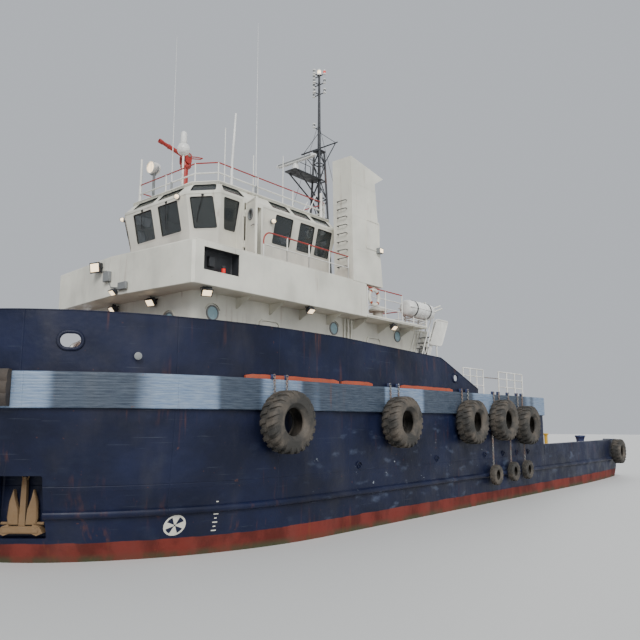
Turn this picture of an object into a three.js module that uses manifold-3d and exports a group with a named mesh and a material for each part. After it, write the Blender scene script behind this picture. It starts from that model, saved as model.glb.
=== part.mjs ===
// An anchor-handling tug, afloat, as an assembly of named solids.
// X runs forward, Y to port and Z up, in millimetres. The origin is on the centreline
// amidships, at the waterline.
import * as THREE from "three";
import { mergeVertices } from "three/addons/utils/BufferGeometryUtils.js";
import Module from "manifold-3d";

const wasm = await Module();
wasm.setup();

// Driving dimensions
const GAP = 0.3; // left between solids that touch
const CLEAR = 6; // running clearance of what moves
const SEAT = 0.5; // between a turning shoulder and the face that carries it
const STERN_X = -18700;
const STEM_X = 18800;
const HALF_BEAM = 4700;
const KEEL_Z = -3600;
const MAIN_DECK_Z = 1650;
const BELT_LOW_Z = 3490;
const FORECASTLE_Z = 4330;
const BELT_OUT = 100;
const BULWARK_TOP_Z = 5750;
const BULWARK_AFT_TOP_Z = 5560;
const BULWARK_THICK = 80;
const HIGH_SIDE_AFT_X = -6200;
const HIGH_SIDE_THICK = 350;
const BAY_FRONT_X = 800; // bulkhead between the forecastle and the winch bay
const LOW_BULWARK_Z = 2180;
const LOW_BULWARK_THICK = 220;
const HOUSE_TOP_Z = 6850;
const HOUSE_HALF = 2750;
const HOUSE_AFT_X = 800;
const HOUSE_FRONT_X = 13200;
const BRIDGE_TOP_Z = 8050;
const BRIDGE_HALF = 3550;
const BRIDGE_AFT_X = 5150;
const BRIDGE_FRONT_X = 14050;
const ROOF_Z = 10450;

const paint = (color, roughness = 0.5, metalness = 0.1) =>
  new THREE.MeshStandardMaterial({ color, roughness, metalness });
const FINISH = {
  navy: paint(0x1d2c55),
  red: paint(0x7a2a22),
  cream: paint(0xd9d6c4),
  deck: paint(0x5d3a33, 0.8),
  dark: paint(0x25272b),
  orange: paint(0xc4472a),
  steel: paint(0x6b6b68, 0.45, 0.8),
  bronze: paint(0xa58646, 0.35, 0.9),
  rubber: paint(0x1b1b1c, 0.9, 0),
  wood: paint(0x6f563c, 0.85, 0),
  glass: paint(0x20282c, 0.1, 0.2),
  yellow: paint(0xd2a72c),
};

const tug = new THREE.Group();

// Turns a closed geometry into a solid with its faces out.
function toSolid(geometry) {
  const bare = geometry.index ? geometry.toNonIndexed() : geometry.clone();
  bare.deleteAttribute("normal");
  bare.deleteAttribute("uv");
  const merged = mergeVertices(bare, 1e-3);
  const index = merged.index.array;
  const kept = [];
  for (let i = 0; i < index.length; i += 3) {
    const [a, b, c] = [index[i], index[i + 1], index[i + 2]];
    if (a !== b && b !== c && a !== c) kept.push(a, b, c);
  }
  const triVerts = new Uint32Array(kept);
  const vertProperties = merged.attributes.position.array;
  const made = new wasm.Manifold(new wasm.Mesh({ numProp: 3, vertProperties, triVerts }));
  if (made.volume() > 0) return made;
  for (let i = 0; i < triVerts.length; i += 3) {
    [triVerts[i + 1], triVerts[i + 2]] = [triVerts[i + 2], triVerts[i + 1]];
  }
  return new wasm.Manifold(new wasm.Mesh({ numProp: 3, vertProperties, triVerts }));
}

// Turns a solid back into a geometry.
function toGeometry(solid) {
  const mesh = solid.getMesh();
  const points = new Float32Array(mesh.numVert * 3);
  for (let i = 0; i < mesh.numVert; i++) {
    points.set(mesh.vertProperties.subarray(i * mesh.numProp, i * mesh.numProp + 3), i * 3);
  }
  const geometry = new THREE.BufferGeometry();
  geometry.setAttribute("position", new THREE.BufferAttribute(points, 3));
  geometry.setIndex(new THREE.BufferAttribute(mesh.triVerts, 1));
  geometry.computeVertexNormals();
  return geometry;
}

const join = (solids) => wasm.Manifold.union(solids);
const cut = (solid, ...tools) => tools.reduce((left, tool) => left.subtract(tool), solid);

// Adds a named piece to the tug, or to a group of it.
function piece(name, solid, material, parent = tug) {
  const mesh = new THREE.Mesh(toGeometry(solid), material);
  mesh.name = name;
  parent.add(mesh);
  return mesh;
}

// A group that stands at a point of the tug.
function station(x, y, z) {
  const group = new THREE.Group();
  group.position.set(x, y, z);
  tug.add(group);
  return group;
}

function box(x0, x1, y0, y1, z0, z1) {
  const shape = new THREE.BoxGeometry(x1 - x0, y1 - y0, z1 - z0);
  shape.translate((x0 + x1) / 2, (y0 + y1) / 2, (z0 + z1) / 2);
  return toSolid(shape);
}

// A round bar from one point to another, which may taper.
function rod(from, to, radius, sides = 8, endRadius = radius) {
  const a = new THREE.Vector3(...from);
  const b = new THREE.Vector3(...to);
  const along = b.clone().sub(a);
  const shape = new THREE.CylinderGeometry(endRadius, radius, along.length(), sides);
  const turn = new THREE.Quaternion();
  turn.setFromUnitVectors(new THREE.Vector3(0, 1, 0), along.clone().normalize());
  shape.applyQuaternion(turn);
  const middle = a.add(b).multiplyScalar(0.5);
  shape.translate(middle.x, middle.y, middle.z);
  return toSolid(shape);
}

// A profile of [radius, height] points turned about Z, or about Y when upright is false.
function turned(profile, segments = 24, upright = true) {
  const points = profile.map(([r, h]) => new THREE.Vector2(r, h));
  const shape = new THREE.LatheGeometry(points, segments);
  if (upright) shape.rotateX(Math.PI / 2);
  return toSolid(shape);
}

// An outline of [x, z] points, extruded across the ship from y0 to y1.
function acrossShip(outline, y0, y1) {
  const shape = new THREE.Shape(outline.map(([x, z]) => new THREE.Vector2(x, z)));
  const solid = new THREE.ExtrudeGeometry(shape, { depth: y1 - y0, bevelEnabled: false });
  solid.rotateX(Math.PI / 2);
  solid.translate(0, y1, 0);
  return toSolid(solid);
}

// An outline of [x, y] points, extruded upward from z0 to z1.
function upward(outline, z0, z1) {
  const shape = new THREE.Shape(outline.map(([x, y]) => new THREE.Vector2(x, y)));
  const solid = new THREE.ExtrudeGeometry(shape, { depth: z1 - z0, bevelEnabled: false });
  solid.translate(0, 0, z0);
  return toSolid(solid);
}

// Level rings of equal point count, lowest first, joined into one closed solid.
function loft(rings) {
  const count = rings[0].length;
  const points = rings.flat();
  const index = [];
  for (let r = 0; r + 1 < rings.length; r++) {
    for (let i = 0; i < count; i++) {
      const j = (i + 1) % count;
      const [a, b] = [r * count + i, r * count + j];
      const [c, d] = [a + count, b + count];
      index.push(a, b, d, a, d, c);
    }
  }
  const flat = (ring) => ring.map((p) => new THREE.Vector2(p.x, p.y));
  const top = (rings.length - 1) * count;
  for (const [a, b, c] of THREE.ShapeUtils.triangulateShape(flat(rings[0]), [])) {
    index.push(a, c, b);
  }
  for (const [a, b, c] of THREE.ShapeUtils.triangulateShape(flat(rings.at(-1)), [])) {
    index.push(top + a, top + b, top + c);
  }
  const geometry = new THREE.BufferGeometry().setFromPoints(points);
  geometry.setIndex(index);
  return toSolid(geometry);
}

const mirrored = (solid) => solid.mirror([0, 1, 0]);

// A hinged steel door. Its own frame has the hinge axis at the origin, the leaf along -X and the
// outside towards +Y; the leaf lies flush in its opening, HINGE.out inside the axis.
const HINGE = { out: 25, radius: 18, reach: 60, long: 110 };
const HINGE_HEIGHTS = [0.2, 0.75];
function makeDoor({ width, height, thick }) {
  const face = -HINGE.out;
  const solids = [box(-width, -CLEAR / 2, face - thick, face, 0, height)];
  for (const share of HINGE_HEIGHTS) {
    const z = share * height + HINGE.long + SEAT;
    solids.push(rod([0, 0, z], [0, 0, z + HINGE.long], HINGE.radius, 10));
    solids.push(box(-HINGE.reach, 0, face - 5, 10 - HINGE.radius, z, z + HINGE.long));
  }
  return join(solids);
}
// The fixed halves of the door's hinges, in the same frame
function makeKnuckles({ height }) {
  return HINGE_HEIGHTS.flatMap((share) => {
    const z = share * height;
    return [
      rod([0, 0, z], [0, 0, z + HINGE.long], HINGE.radius, 10),
      box(0, HINGE.reach, -HINGE.out - 5, 10 - HINGE.radius, z, z + HINGE.long),
    ];
  });
}

// One level of the hull as a ring of points: from the stem along the port side to the stern
// and back. fullness 0.5 makes the bow a half ellipse, 1 makes it sharp.
const BOW_STEPS = 10;
const RUN_STEPS = 5;
const CORNER_STEPS = 3;
function waterline(level, out = 0) {
  const half = level.half + out;
  const sternHalf = level.sternHalf + out;
  const stem = level.stemX + out;
  const stern = level.sternX - out;
  const corner = Math.max(10, level.corner + out);
  const port = [];
  for (let k = 0; k <= BOW_STEPS; k++) {
    const turn = (Math.PI / 2) * (1 - k / BOW_STEPS);
    const x = level.entryX + (stem - level.entryX) * Math.sin(turn);
    const y = k === 0 ? 0 : half * Math.cos(turn) ** (2 * level.fullness);
    port.push([x, y]);
  }
  for (let k = 0; k <= RUN_STEPS; k++) {
    const s = k / RUN_STEPS;
    const x = level.runX + (stern + corner - level.runX) * s;
    port.push([x, half - (half - sternHalf) * s * s]);
  }
  for (let k = 1; k <= CORNER_STEPS; k++) {
    const turn = ((Math.PI / 2) * k) / CORNER_STEPS;
    const x = stern + corner - corner * Math.sin(turn);
    port.push([x, sternHalf - corner + corner * Math.cos(turn)]);
  }
  port.push([stern, 0]);
  const ends = port.slice(1, -1).reverse();
  const ring = [...port, ...ends.map(([x, y]) => [x, -y])];
  return ring.map(([x, y]) => new THREE.Vector3(x, y, level.z));
}

// Levels of the lower hull. Columns: z, sternX, sternHalf, runX, half, entryX, stemX, fullness, corner
const LOWER_LEVELS = [
  [KEEL_Z, -7600, 700, 1500, 3300, 1800, 14900, 1.0, 300],
  [-3420, -8300, 1250, 1000, 3900, 2600, 15400, 0.95, 400],
  [-2950, -9300, 1800, 0, 4400, 4200, 15950, 0.88, 500],
  [-2200, -10800, 2500, -2000, 4640, 6200, 16600, 0.8, 600],
  [-1450, -12300, 3200, -4000, HALF_BEAM, 7600, 17100, 0.74, 700],
  [-1000, -13500, 3700, -6000, HALF_BEAM, 8400, 17350, 0.7, 800],
  [-760, -17200, 4050, -7500, HALF_BEAM, 8900, 17480, 0.68, 900],
  [-300, -18350, 4250, -9000, HALF_BEAM, 9500, 17700, 0.64, 900],
  [450, -18600, 4350, -9500, HALF_BEAM, 10200, 17950, 0.58, 900],
  [1000, STERN_X, 4400, -9500, HALF_BEAM, 10600, 18100, 0.54, 900],
  [1200, STERN_X, 4400, -9500, HALF_BEAM, 10700, 18150, 0.53, 900],
  [MAIN_DECK_Z, STERN_X, 4400, -9500, HALF_BEAM, 10900, 18280, 0.52, 900],
];
const COLUMNS = ["z", "sternX", "sternHalf", "runX", "half", "entryX", "stemX", "fullness", "corner"];
const asLevel = (row) => Object.fromEntries(COLUMNS.map((name, i) => [name, row[i]]));
const LOWER = LOWER_LEVELS.map(asLevel);
const RUB_LEVELS = 9; // the level under the rubbing bar
const RUB_OUT = 110;
const RUB_SLOPE = 60;

const THRUSTER = { x: 14400, z: -2000, radius: 520 };
const ANCHOR = { x: 17390, y: 2040, z: 1290, turn: 0.68, depth: 450 };
const ROLLER = { x: STERN_X + 420, z: 1380, radius: 380, half: 1500 };
const RUDDER = { x: -16900, y: 2150, chord: 1500, thick: 240, low: -3450, high: -960, pad: -900 };
const PROP = { x: -14650, y: 2150, z: -2290, radius: 1100 };

// A box in the shell where an anchor is stowed, on the port side.
function anchorPocket() {
  const pocket = new THREE.BoxGeometry(2 * ANCHOR.depth, 1150, 1420);
  pocket.rotateZ(ANCHOR.turn);
  pocket.translate(ANCHOR.x, ANCHOR.y, ANCHOR.z);
  return toSolid(pocket);
}

function makeHull() {
  const rings = [];
  LOWER.forEach((level, i) => {
    rings.push(waterline(level));
    if (i !== RUB_LEVELS) return;
    rings.push(waterline({ ...level, z: level.z + RUB_SLOPE }, RUB_OUT));
    const above = LOWER[i + 1];
    rings.push(waterline({ ...above, z: above.z - RUB_SLOPE }, RUB_OUT));
  });
  const skeg = acrossShip(
    [[-2000, KEEL_Z], [1500, KEEL_Z + 60], [-9000, -700], [-15600, -700], [-15200, KEEL_Z]],
    -110,
    110,
  );
  const tunnel = new THREE.CylinderGeometry(THRUSTER.radius, THRUSTER.radius, 12000, 28);
  tunnel.translate(THRUSTER.x, 0, THRUSTER.z);
  const rollerBay = box(
    STERN_X - 500, ROLLER.x + ROLLER.radius + 60, -ROLLER.half - 200, ROLLER.half + 200,
    ROLLER.z - ROLLER.radius - 60, MAIN_DECK_Z + 10,
  );
  const pads = [1, -1].map((sign) => {
    const y = RUDDER.y * sign;
    return rod([RUDDER.x, y, RUDDER.pad], [RUDDER.x, y, RUDDER.pad + 400], 260, 16);
  });
  const hull = join([loft(rings), skeg, ...pads]);
  const pocket = anchorPocket();
  return cut(hull, toSolid(tunnel), pocket, mirrored(pocket), rollerBay);
}

// Levels of the forecastle hull and the high sides, which share the columns above
const UPPER_LEVELS = [
  [MAIN_DECK_Z + GAP, HIGH_SIDE_AFT_X, HALF_BEAM, -5000, HALF_BEAM, 10900, 18280, 0.52, 30],
  [BELT_LOW_Z, HIGH_SIDE_AFT_X, HALF_BEAM, -5000, HALF_BEAM, 11000, STEM_X, 0.5, 30],
  [FORECASTLE_Z, HIGH_SIDE_AFT_X, HALF_BEAM, -5000, HALF_BEAM, 11000, STEM_X, 0.5, 30],
];
const UPPER = UPPER_LEVELS.map(asLevel);
const LOBBY = { x0: BAY_FRONT_X + 100, x1: 3300, y0: -400, y1: 2600, z0: 1780, z1: 4050 };
const BAY_DOOR = { x: BAY_FRONT_X - HINGE.out, y: 1900, z: 1900, width: 760, height: 1880, thick: 60 };

const HATCH = { x: 14250, y: -2600, half: 400, wall: 60, high: 500, lid: 60 };
const BITTS = { x: 8200, y: 3950, apart: 400, high: 640, radius: 130 };

// What is welded to the forecastle deck: two pairs of bitts and the coaming of a hatch
function foredeckFittings() {
  const solids = [];
  const z = FORECASTLE_Z;
  for (const sign of [1, -1]) {
    const y = BITTS.y * sign;
    solids.push(box(BITTS.x - 700, BITTS.x + 700, y - 220, y + 220, z - 20, z + 60));
    for (const x of [BITTS.x - BITTS.apart, BITTS.x + BITTS.apart]) {
      solids.push(rod([x, y, z], [x, y, z + BITTS.high], BITTS.radius, 14));
      solids.push(rod([x, y, z + BITTS.high - 50], [x, y, z + BITTS.high], BITTS.radius + 35, 14));
    }
  }
  const { x, y, half, wall, high } = HATCH;
  const inner = half - wall;
  const coaming = box(x - half, x + half, y - half, y + half, z - 20, z + high);
  solids.push(cut(coaming, box(x - inner, x + inner, y - inner, y + inner, z + 100, z + high + 50)));
  return solids;
}

function makeForecastle() {
  const [foot, belt, deck] = UPPER;
  const body = loft([
    waterline(foot),
    waterline(belt),
    waterline({ ...belt, z: belt.z + 30 }, BELT_OUT),
    waterline({ ...deck, z: deck.z }, BELT_OUT),
  ]);
  const inner = HALF_BEAM - HIGH_SIDE_THICK;
  const bay = box(HIGH_SIDE_AFT_X - 500, BAY_FRONT_X, -inner, inner, 1000, 6000);
  const lobby = box(LOBBY.x0, LOBBY.x1, LOBBY.y0, LOBBY.y1, LOBBY.z0, LOBBY.z1);
  const { y, z, width, height } = BAY_DOOR;
  const doorway = box(
    BAY_FRONT_X - 10, LOBBY.x0 + 10, y - width - CLEAR, y + CLEAR / 2, z - CLEAR, z + height + CLEAR,
  );
  const knuckles = makeKnuckles(BAY_DOOR).map((solid) =>
    solid.rotate([0, 0, 90]).translate([BAY_DOOR.x, y, z]),
  );
  const pocket = anchorPocket();
  const shell = cut(body, bay, lobby, doorway, pocket, mirrored(pocket));
  return join([shell, ...knuckles, ...foredeckFittings()]);
}

// Mooring ports through the bulwark. Columns: x, z, half length, half height
const PORTS = [[16860, 5050, 270, 200], [2010, 4860, 200, 150]];

// The half breadth of a level's bow at a place along it
function halfBreadth({ half, entryX, stemX, fullness }, x) {
  const s = Math.min(1, Math.max(0, (x - entryX) / (stemX - entryX)));
  return half * (1 - s * s) ** fullness;
}

// An oval bar across the bulwark, square to its side at the port
function portHole([x, z, halfLong, halfHigh]) {
  const shape = new THREE.Shape();
  shape.absellipse(0, 0, halfLong, halfHigh, 0, 2 * Math.PI);
  const depth = 600;
  const hole = new THREE.ExtrudeGeometry(shape, { depth, bevelEnabled: false, curveSegments: 8 });
  const step = 50;
  const level = UPPER[2];
  const drop = halfBreadth(level, x - step) - halfBreadth(level, x + step);
  hole.translate(0, 0, -depth / 2);
  hole.rotateX(Math.PI / 2);
  hole.rotateZ(-Math.atan2(drop, 2 * step));
  hole.translate(x, halfBreadth(level, x), z);
  return toSolid(hole);
}

const JACKSTAFF_TOP_Z = 8000;
function makeForecastleBulwark() {
  const foot = { ...UPPER[2], sternX: 0, runX: 4000, z: FORECASTLE_Z + GAP };
  const top = { ...foot, z: BULWARK_TOP_Z };
  const low = { ...foot, z: FORECASTLE_Z - 100, sternX: -600 };
  const high = { ...top, z: BULWARK_TOP_Z + 100, sternX: -600 };
  const outside = loft([waterline(foot), waterline(top)]);
  const inside = loft([waterline(low, -BULWARK_THICK), waterline(high, -BULWARK_THICK)]);
  const slope = acrossShip(
    [
      [-100, FORECASTLE_Z + 120], [100, FORECASTLE_Z + 120], [3100, BULWARK_AFT_TOP_Z],
      [9000, BULWARK_TOP_Z + 1], [9000, 7000], [-100, 7000],
    ],
    -6000,
    6000,
  );
  const staff = rod([STEM_X - 60, 0, 5400], [STEM_X - 60, 0, JACKSTAFF_TOP_Z], 45, 8, 25);
  const holes = PORTS.map(portHole);
  return join([cut(outside, inside, slope, ...holes, ...holes.map(mirrored)), staff]);
}

function makeLowBulwark() {
  const foot = { ...LOWER.at(-1), z: MAIN_DECK_Z + GAP };
  const top = { ...foot, z: LOW_BULWARK_Z };
  const low = { ...foot, z: MAIN_DECK_Z - 100 };
  const high = { ...foot, z: LOW_BULWARK_Z + 100 };
  const outside = loft([waterline(foot), waterline(top)]);
  const inside = loft([waterline(low, -LOW_BULWARK_THICK), waterline(high, -LOW_BULWARK_THICK)]);
  const front = box(HIGH_SIDE_AFT_X - GAP, 20000, -6000, 6000, 0, 4000);
  const gate = box(-20000, -17000, -ROLLER.half - 350, ROLLER.half + 350, 0, 4000);
  const starboard = box(-20000, 0, -6000, 0, 0, 4000);
  return cut(outside, inside, front, gate, starboard);
}

function makeBowFender() {
  const from = 17800;
  const foot = { ...UPPER[1], z: BELT_LOW_Z + 60 };
  const top = { ...UPPER[2], z: FORECASTLE_Z + 40 };
  const out = BELT_OUT + 260;
  const outside = loft([
    waterline(foot, out - 90),
    waterline({ ...foot, z: foot.z + 110 }, out),
    waterline({ ...top, z: top.z - 110 }, out),
    waterline(top, out - 90),
  ]);
  const inside = loft([
    waterline({ ...foot, z: 3000 }, BELT_OUT + GAP),
    waterline({ ...top, z: 5000 }, BELT_OUT + GAP),
  ]);
  return cut(outside, inside, box(-20000, from, -6000, 6000, 2000, 6000));
}

const hull = makeHull();
piece("hull", hull, FINISH.navy);
piece("forecastle_hull", makeForecastle(), FINISH.navy);
piece("forecastle_bulwark", makeForecastleBulwark(), FINISH.navy);
const lowBulwark = makeLowBulwark();
piece("aft_bulwark_port", lowBulwark, FINISH.navy);
piece("aft_bulwark_starboard", mirrored(lowBulwark), FINISH.navy);
piece("bow_fender", makeBowFender(), FINISH.rubber);

const SHEATHING = { x0: -14900, x1: HIGH_SIDE_AFT_X - 200, half: 3900, thick: 70 };
const sheathing = box(
  SHEATHING.x0, SHEATHING.x1, -SHEATHING.half, SHEATHING.half,
  MAIN_DECK_Z + GAP, MAIN_DECK_Z + SHEATHING.thick,
);
piece("deck_sheathing", sheathing, FINISH.wood);

// The bulkhead door, hung on the side towards the centreline
{
  const hung = station(BAY_DOOR.x, BAY_DOOR.y, BAY_DOOR.z);
  hung.rotation.z = Math.PI / 2;
  piece("bay_door", makeDoor(BAY_DOOR), FINISH.cream, hung);
}

// Propellers, shafts, nozzles and rudders
const NOZZLE = { inner: PROP.radius + 25, outer: PROP.radius + 190, length: 1150 };

function makePropeller() {
  const hub = turned([[0, -330], [150, -260], [210, 0], [190, 240], [0, 260]], 16, false);
  const blades = [];
  for (let k = 0; k < 4; k++) {
    const blade = new THREE.BoxGeometry(1, 1, 1, 1, 1, 4);
    const at = blade.attributes.position;
    for (let i = 0; i < at.count; i++) {
      const s = at.getZ(i) + 0.5;
      const radius = 120 + (PROP.radius - 120) * s;
      const chord = 620 * Math.sin(Math.PI * (0.22 + 0.6 * s));
      const thick = 90 * (1 - 0.75 * s);
      const pitch = Math.atan2(520, radius);
      const c = at.getX(i) * chord;
      const t = at.getY(i) * thick;
      const around = c * Math.cos(pitch) - t * Math.sin(pitch);
      const fore = c * Math.sin(pitch) + t * Math.cos(pitch);
      const reach = Math.sqrt(Math.max(0, radius ** 2 - around ** 2));
      at.setXYZ(i, around, fore, reach);
    }
    blade.rotateY((Math.PI / 2) * k);
    blades.push(toSolid(blade));
  }
  return join([hub, ...blades]).rotate([0, 0, -90]);
}

// A shaft tube, and the nozzle on its head box, both fitted to the hull
function makeShaftTube(y) {
  const tube = rod([-9000, y, PROP.z + 60], [PROP.x + 260 + SEAT, y, PROP.z], 230, 14, 190);
  return cut(tube, hull.translate([-GAP, 0, -GAP]));
}

function makeNozzle(y) {
  const { inner, outer, length } = NOZZLE;
  const ring = turned(
    [
      [inner + 60, length / 2], [outer, length / 2 - 60], [outer - 60, -length / 2],
      [inner + 45, -length / 2], [inner, -length / 4], [inner, length / 4], [inner + 60, length / 2],
    ],
    28,
    false,
  );
  const placed = ring.rotate([0, 0, -90]).translate([PROP.x, y, PROP.z]);
  const foot = PROP.z + outer - 50;
  const headBox = box(PROP.x - 420, PROP.x + 420, y - 170, y + 170, foot, PROP.z + outer + 500);
  return join([placed, cut(headBox, hull.translate([0, 0, -GAP]))]);
}

function makeRudder() {
  const { chord, thick, low, high, pad } = RUDDER;
  const nose = 0.35 * chord;
  const outline = [
    [nose, 0], [nose - 90, thick * 0.32], [nose - 300, thick / 2], [-chord * 0.2, thick * 0.42],
    [nose - chord, 8],
  ];
  const lower = outline.slice(1).reverse().map(([x, y]) => [x, -y]);
  const blade = upward([...outline, ...lower], low, high);
  return join([blade, rod([0, 0, high - 200], [0, 0, pad - SEAT], 110, 16)]);
}

const SIDES = [["port", 1], ["starboard", -1]];
for (const [side, sign] of SIDES) {
  const y = PROP.y * sign;
  const screw = station(PROP.x, y, PROP.z);
  const wheel = makePropeller();
  piece("propeller_" + side, sign > 0 ? wheel : mirrored(wheel), FINISH.bronze, screw);
  piece("shaft_tube_" + side, makeShaftTube(y), FINISH.red);
  piece("nozzle_" + side, makeNozzle(y), FINISH.red);
  piece("rudder_" + side, makeRudder(), FINISH.red, station(RUDDER.x, RUDDER.y * sign, 0));
}

// Bow thruster: a gear pod on a leg in the tunnel, and its rotor
{
  const { x, z, radius } = THRUSTER;
  const leg = rod([x, 0, z], [x, 0, z + radius + 300], 90, 12);
  const caseBody = rod([x, -260, z], [x, 260, z], 130, 14);
  const pod = cut(join([leg, caseBody]), hull.translate([0, 0, -GAP]));
  piece("thruster_pod", pod, FINISH.steel);
  const blades = [turned([[0, 0], [120, 0], [120, 160], [60, 230], [0, 240]], 14, false)];
  for (let k = 0; k < 4; k++) {
    const blade = new THREE.BoxGeometry(170, 30, radius - 130);
    blade.rotateZ(0.6);
    blade.translate(0, 90, (radius + 60) / 2);
    blade.rotateY((Math.PI / 2) * k + Math.PI / 4);
    blades.push(toSolid(blade));
  }
  piece("thruster_rotor", join(blades), FINISH.bronze, station(x, 260 + SEAT, z));
}

// A stockless anchor in its pocket: crown below, flukes up on either side of the shank
function makeAnchor() {
  const crown = box(0, 260, -430, 430, -560, -300);
  const shank = box(60, 200, -80, 80, -400, 640);
  const flukes = [1, -1].map((sign) => {
    const outline = [[-330, 0], [-70, 0], [-130, 560], [-300, 760]];
    const fluke = new THREE.Shape(outline.map(([y, z]) => new THREE.Vector2(y * sign, z)));
    const solid = new THREE.ExtrudeGeometry(fluke, { depth: 120, bevelEnabled: false });
    solid.applyMatrix4(new THREE.Matrix4().set(0, 0, 1, 70, 1, 0, 0, 0, 0, 1, 0, -330, 0, 0, 0, 1));
    return toSolid(solid);
  });
  return join([crown, shank, ...flukes]);
}
for (const [side, sign] of SIDES) {
  const inset = ANCHOR.depth - GAP;
  const x = ANCHOR.x - inset * Math.cos(ANCHOR.turn);
  const y = ANCHOR.y - inset * Math.sin(ANCHOR.turn);
  const stowed = station(x, y * sign, ANCHOR.z);
  stowed.rotation.z = ANCHOR.turn * sign;
  piece("anchor_" + side, makeAnchor(), FINISH.steel, stowed);
}

// Fenders: tyres flat against the belt, on chains from a rail along its top.
// Columns: x and z of the centre, outer radius, hole radius, width, top of its chains
const BELT_FACE = HALF_BEAM + BELT_OUT;
const CHAIN_RAIL = { x0: -4600, x1: 12350, y0: BELT_FACE - 80, y1: BELT_FACE - 8, high: 110 };
const RAIL_Z = FORECASTLE_Z + CHAIN_RAIL.high;
const TYRES = [
  [11800, 3200, 830, 370, 650, RAIL_Z],
  [6400, 3200, 830, 370, 650, RAIL_Z],
  [1600, 3200, 830, 370, 650, RAIL_Z],
  [-1100, 3280, 830, 370, 650, RAIL_Z],
  [-3400, 3070, 830, 370, 650, RAIL_Z],
  [-600, 1100, 400, 190, 260, 2850],
  [-2240, 1150, 400, 190, 260, RAIL_Z],
  [-3650, 1150, 400, 190, 260, 2520],
];
const CHAIN = 44;
const LUG = { high: 50, segments: 26 };

// A tyre about the Y axis. Its tread drops by lug at every other segment, by turns on either side.
function makeTyre(radius, hole, width, segments, lug) {
  const w = width / 2;
  const d = radius - hole;
  const profile = [
    [hole, -0.62 * w], [hole + 0.45 * d, -w], [radius, -0.74 * w], [radius, 0.74 * w],
    [hole + 0.45 * d, w], [hole, 0.62 * w], [hole, -0.62 * w],
  ].map(([r, y]) => new THREE.Vector2(r, y));
  const shape = new THREE.LatheGeometry(profile, segments);
  const at = shape.attributes.position;
  const share = 1 - lug / radius;
  for (let i = 0; i < at.count; i++) {
    const [x, y, z] = [at.getX(i), at.getY(i), at.getZ(i)];
    const step = Math.floor(i / profile.length) + (y > 0 ? 1 : 0);
    const onTread = Math.hypot(x, z) > radius - 1;
    if (onTread && step % 2 === 1) at.setXYZ(i, x * share, y, z * share);
  }
  return toSolid(shape);
}

function makeFenders() {
  const rail = CHAIN_RAIL;
  const solids = [box(rail.x0, rail.x1, rail.y0, rail.y1, FORECASTLE_Z + GAP, RAIL_Z)];
  for (const [x, z, radius, hole, width, chainTop] of TYRES) {
    const face = z < 2000 ? HALF_BEAM + RUB_OUT : BELT_FACE;
    const tyre = radius > 500
      ? makeTyre(radius, hole, width, LUG.segments, LUG.high)
      : makeTyre(radius, hole, width, 10, 0);
    solids.push(tyre.translate([x, face + GAP + width / 2, z]));
    const spread = radius > 500 ? [-0.3 * radius, 0.3 * radius] : [0];
    for (const aside of spread) {
      const y0 = BELT_FACE + 10;
      const low = z + 0.7 * radius;
      solids.push(box(x + aside - CHAIN / 2, x + aside + CHAIN / 2, y0, y0 + CHAIN, low, chainTop));
      if (chainTop !== RAIL_Z) continue;
      const lug = box(
        x + aside - CHAIN, x + aside + CHAIN, rail.y0 + 20, y0 + CHAIN, RAIL_Z - 50, RAIL_Z + 20,
      );
      solids.push(lug);
    }
  }
  return join(solids);
}
const fenders = makeFenders();
piece("fenders_port", fenders, FINISH.rubber);
piece("fenders_starboard", mirrored(fenders), FINISH.rubber);

const QUARTER_TYRE = { x: -16900, y: 4595, z: 1500, radius: 700, hole: 320, width: 520 };
function makeQuarterTyre() {
  const { x, y, z, radius, hole, width } = QUARTER_TYRE;
  const tyre = makeTyre(radius, hole, width, LUG.segments, LUG.high).translate([x, y + width / 2, z]);
  const hanger = box(x - 30, x + 30, 4430, y + 120, LOW_BULWARK_Z + GAP, LOW_BULWARK_Z + 50);
  const drop = box(x - 30, x + 30, y + 60, y + 120, z + 0.8 * radius, LOW_BULWARK_Z + 50);
  return join([tyre, hanger, drop]);
}
piece("quarter_tyre_port", makeQuarterTyre(), FINISH.rubber);
piece("quarter_tyre_starboard", mirrored(makeQuarterTyre()), FINISH.rubber);

// Superstructure
const HOUSE_CHAMFER = 260;
const deckhouse = upward(
  [
    [HOUSE_AFT_X, -HOUSE_HALF], [HOUSE_FRONT_X - HOUSE_CHAMFER, -HOUSE_HALF],
    [HOUSE_FRONT_X, HOUSE_CHAMFER - HOUSE_HALF], [HOUSE_FRONT_X, HOUSE_HALF - HOUSE_CHAMFER],
    [HOUSE_FRONT_X - HOUSE_CHAMFER, HOUSE_HALF], [HOUSE_AFT_X, HOUSE_HALF],
  ],
  FORECASTLE_Z + GAP,
  HOUSE_TOP_Z,
);
// Stairs on each side lead from the boat deck down to the forecastle deck.
const STAIR = { topX: 900, footX: 2200, tread: 800, width: 640 };
const stair = acrossShip(
  [
    [STAIR.topX, HOUSE_TOP_Z], [STAIR.footX, FORECASTLE_Z + GAP],
    [STAIR.footX + STAIR.tread, FORECASTLE_Z + GAP], [STAIR.topX + STAIR.tread, HOUSE_TOP_Z],
  ],
  HOUSE_HALF - 10,
  HOUSE_HALF + STAIR.width,
);
piece("deckhouse", join([deckhouse, stair, mirrored(stair)]), FINISH.cream);

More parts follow.
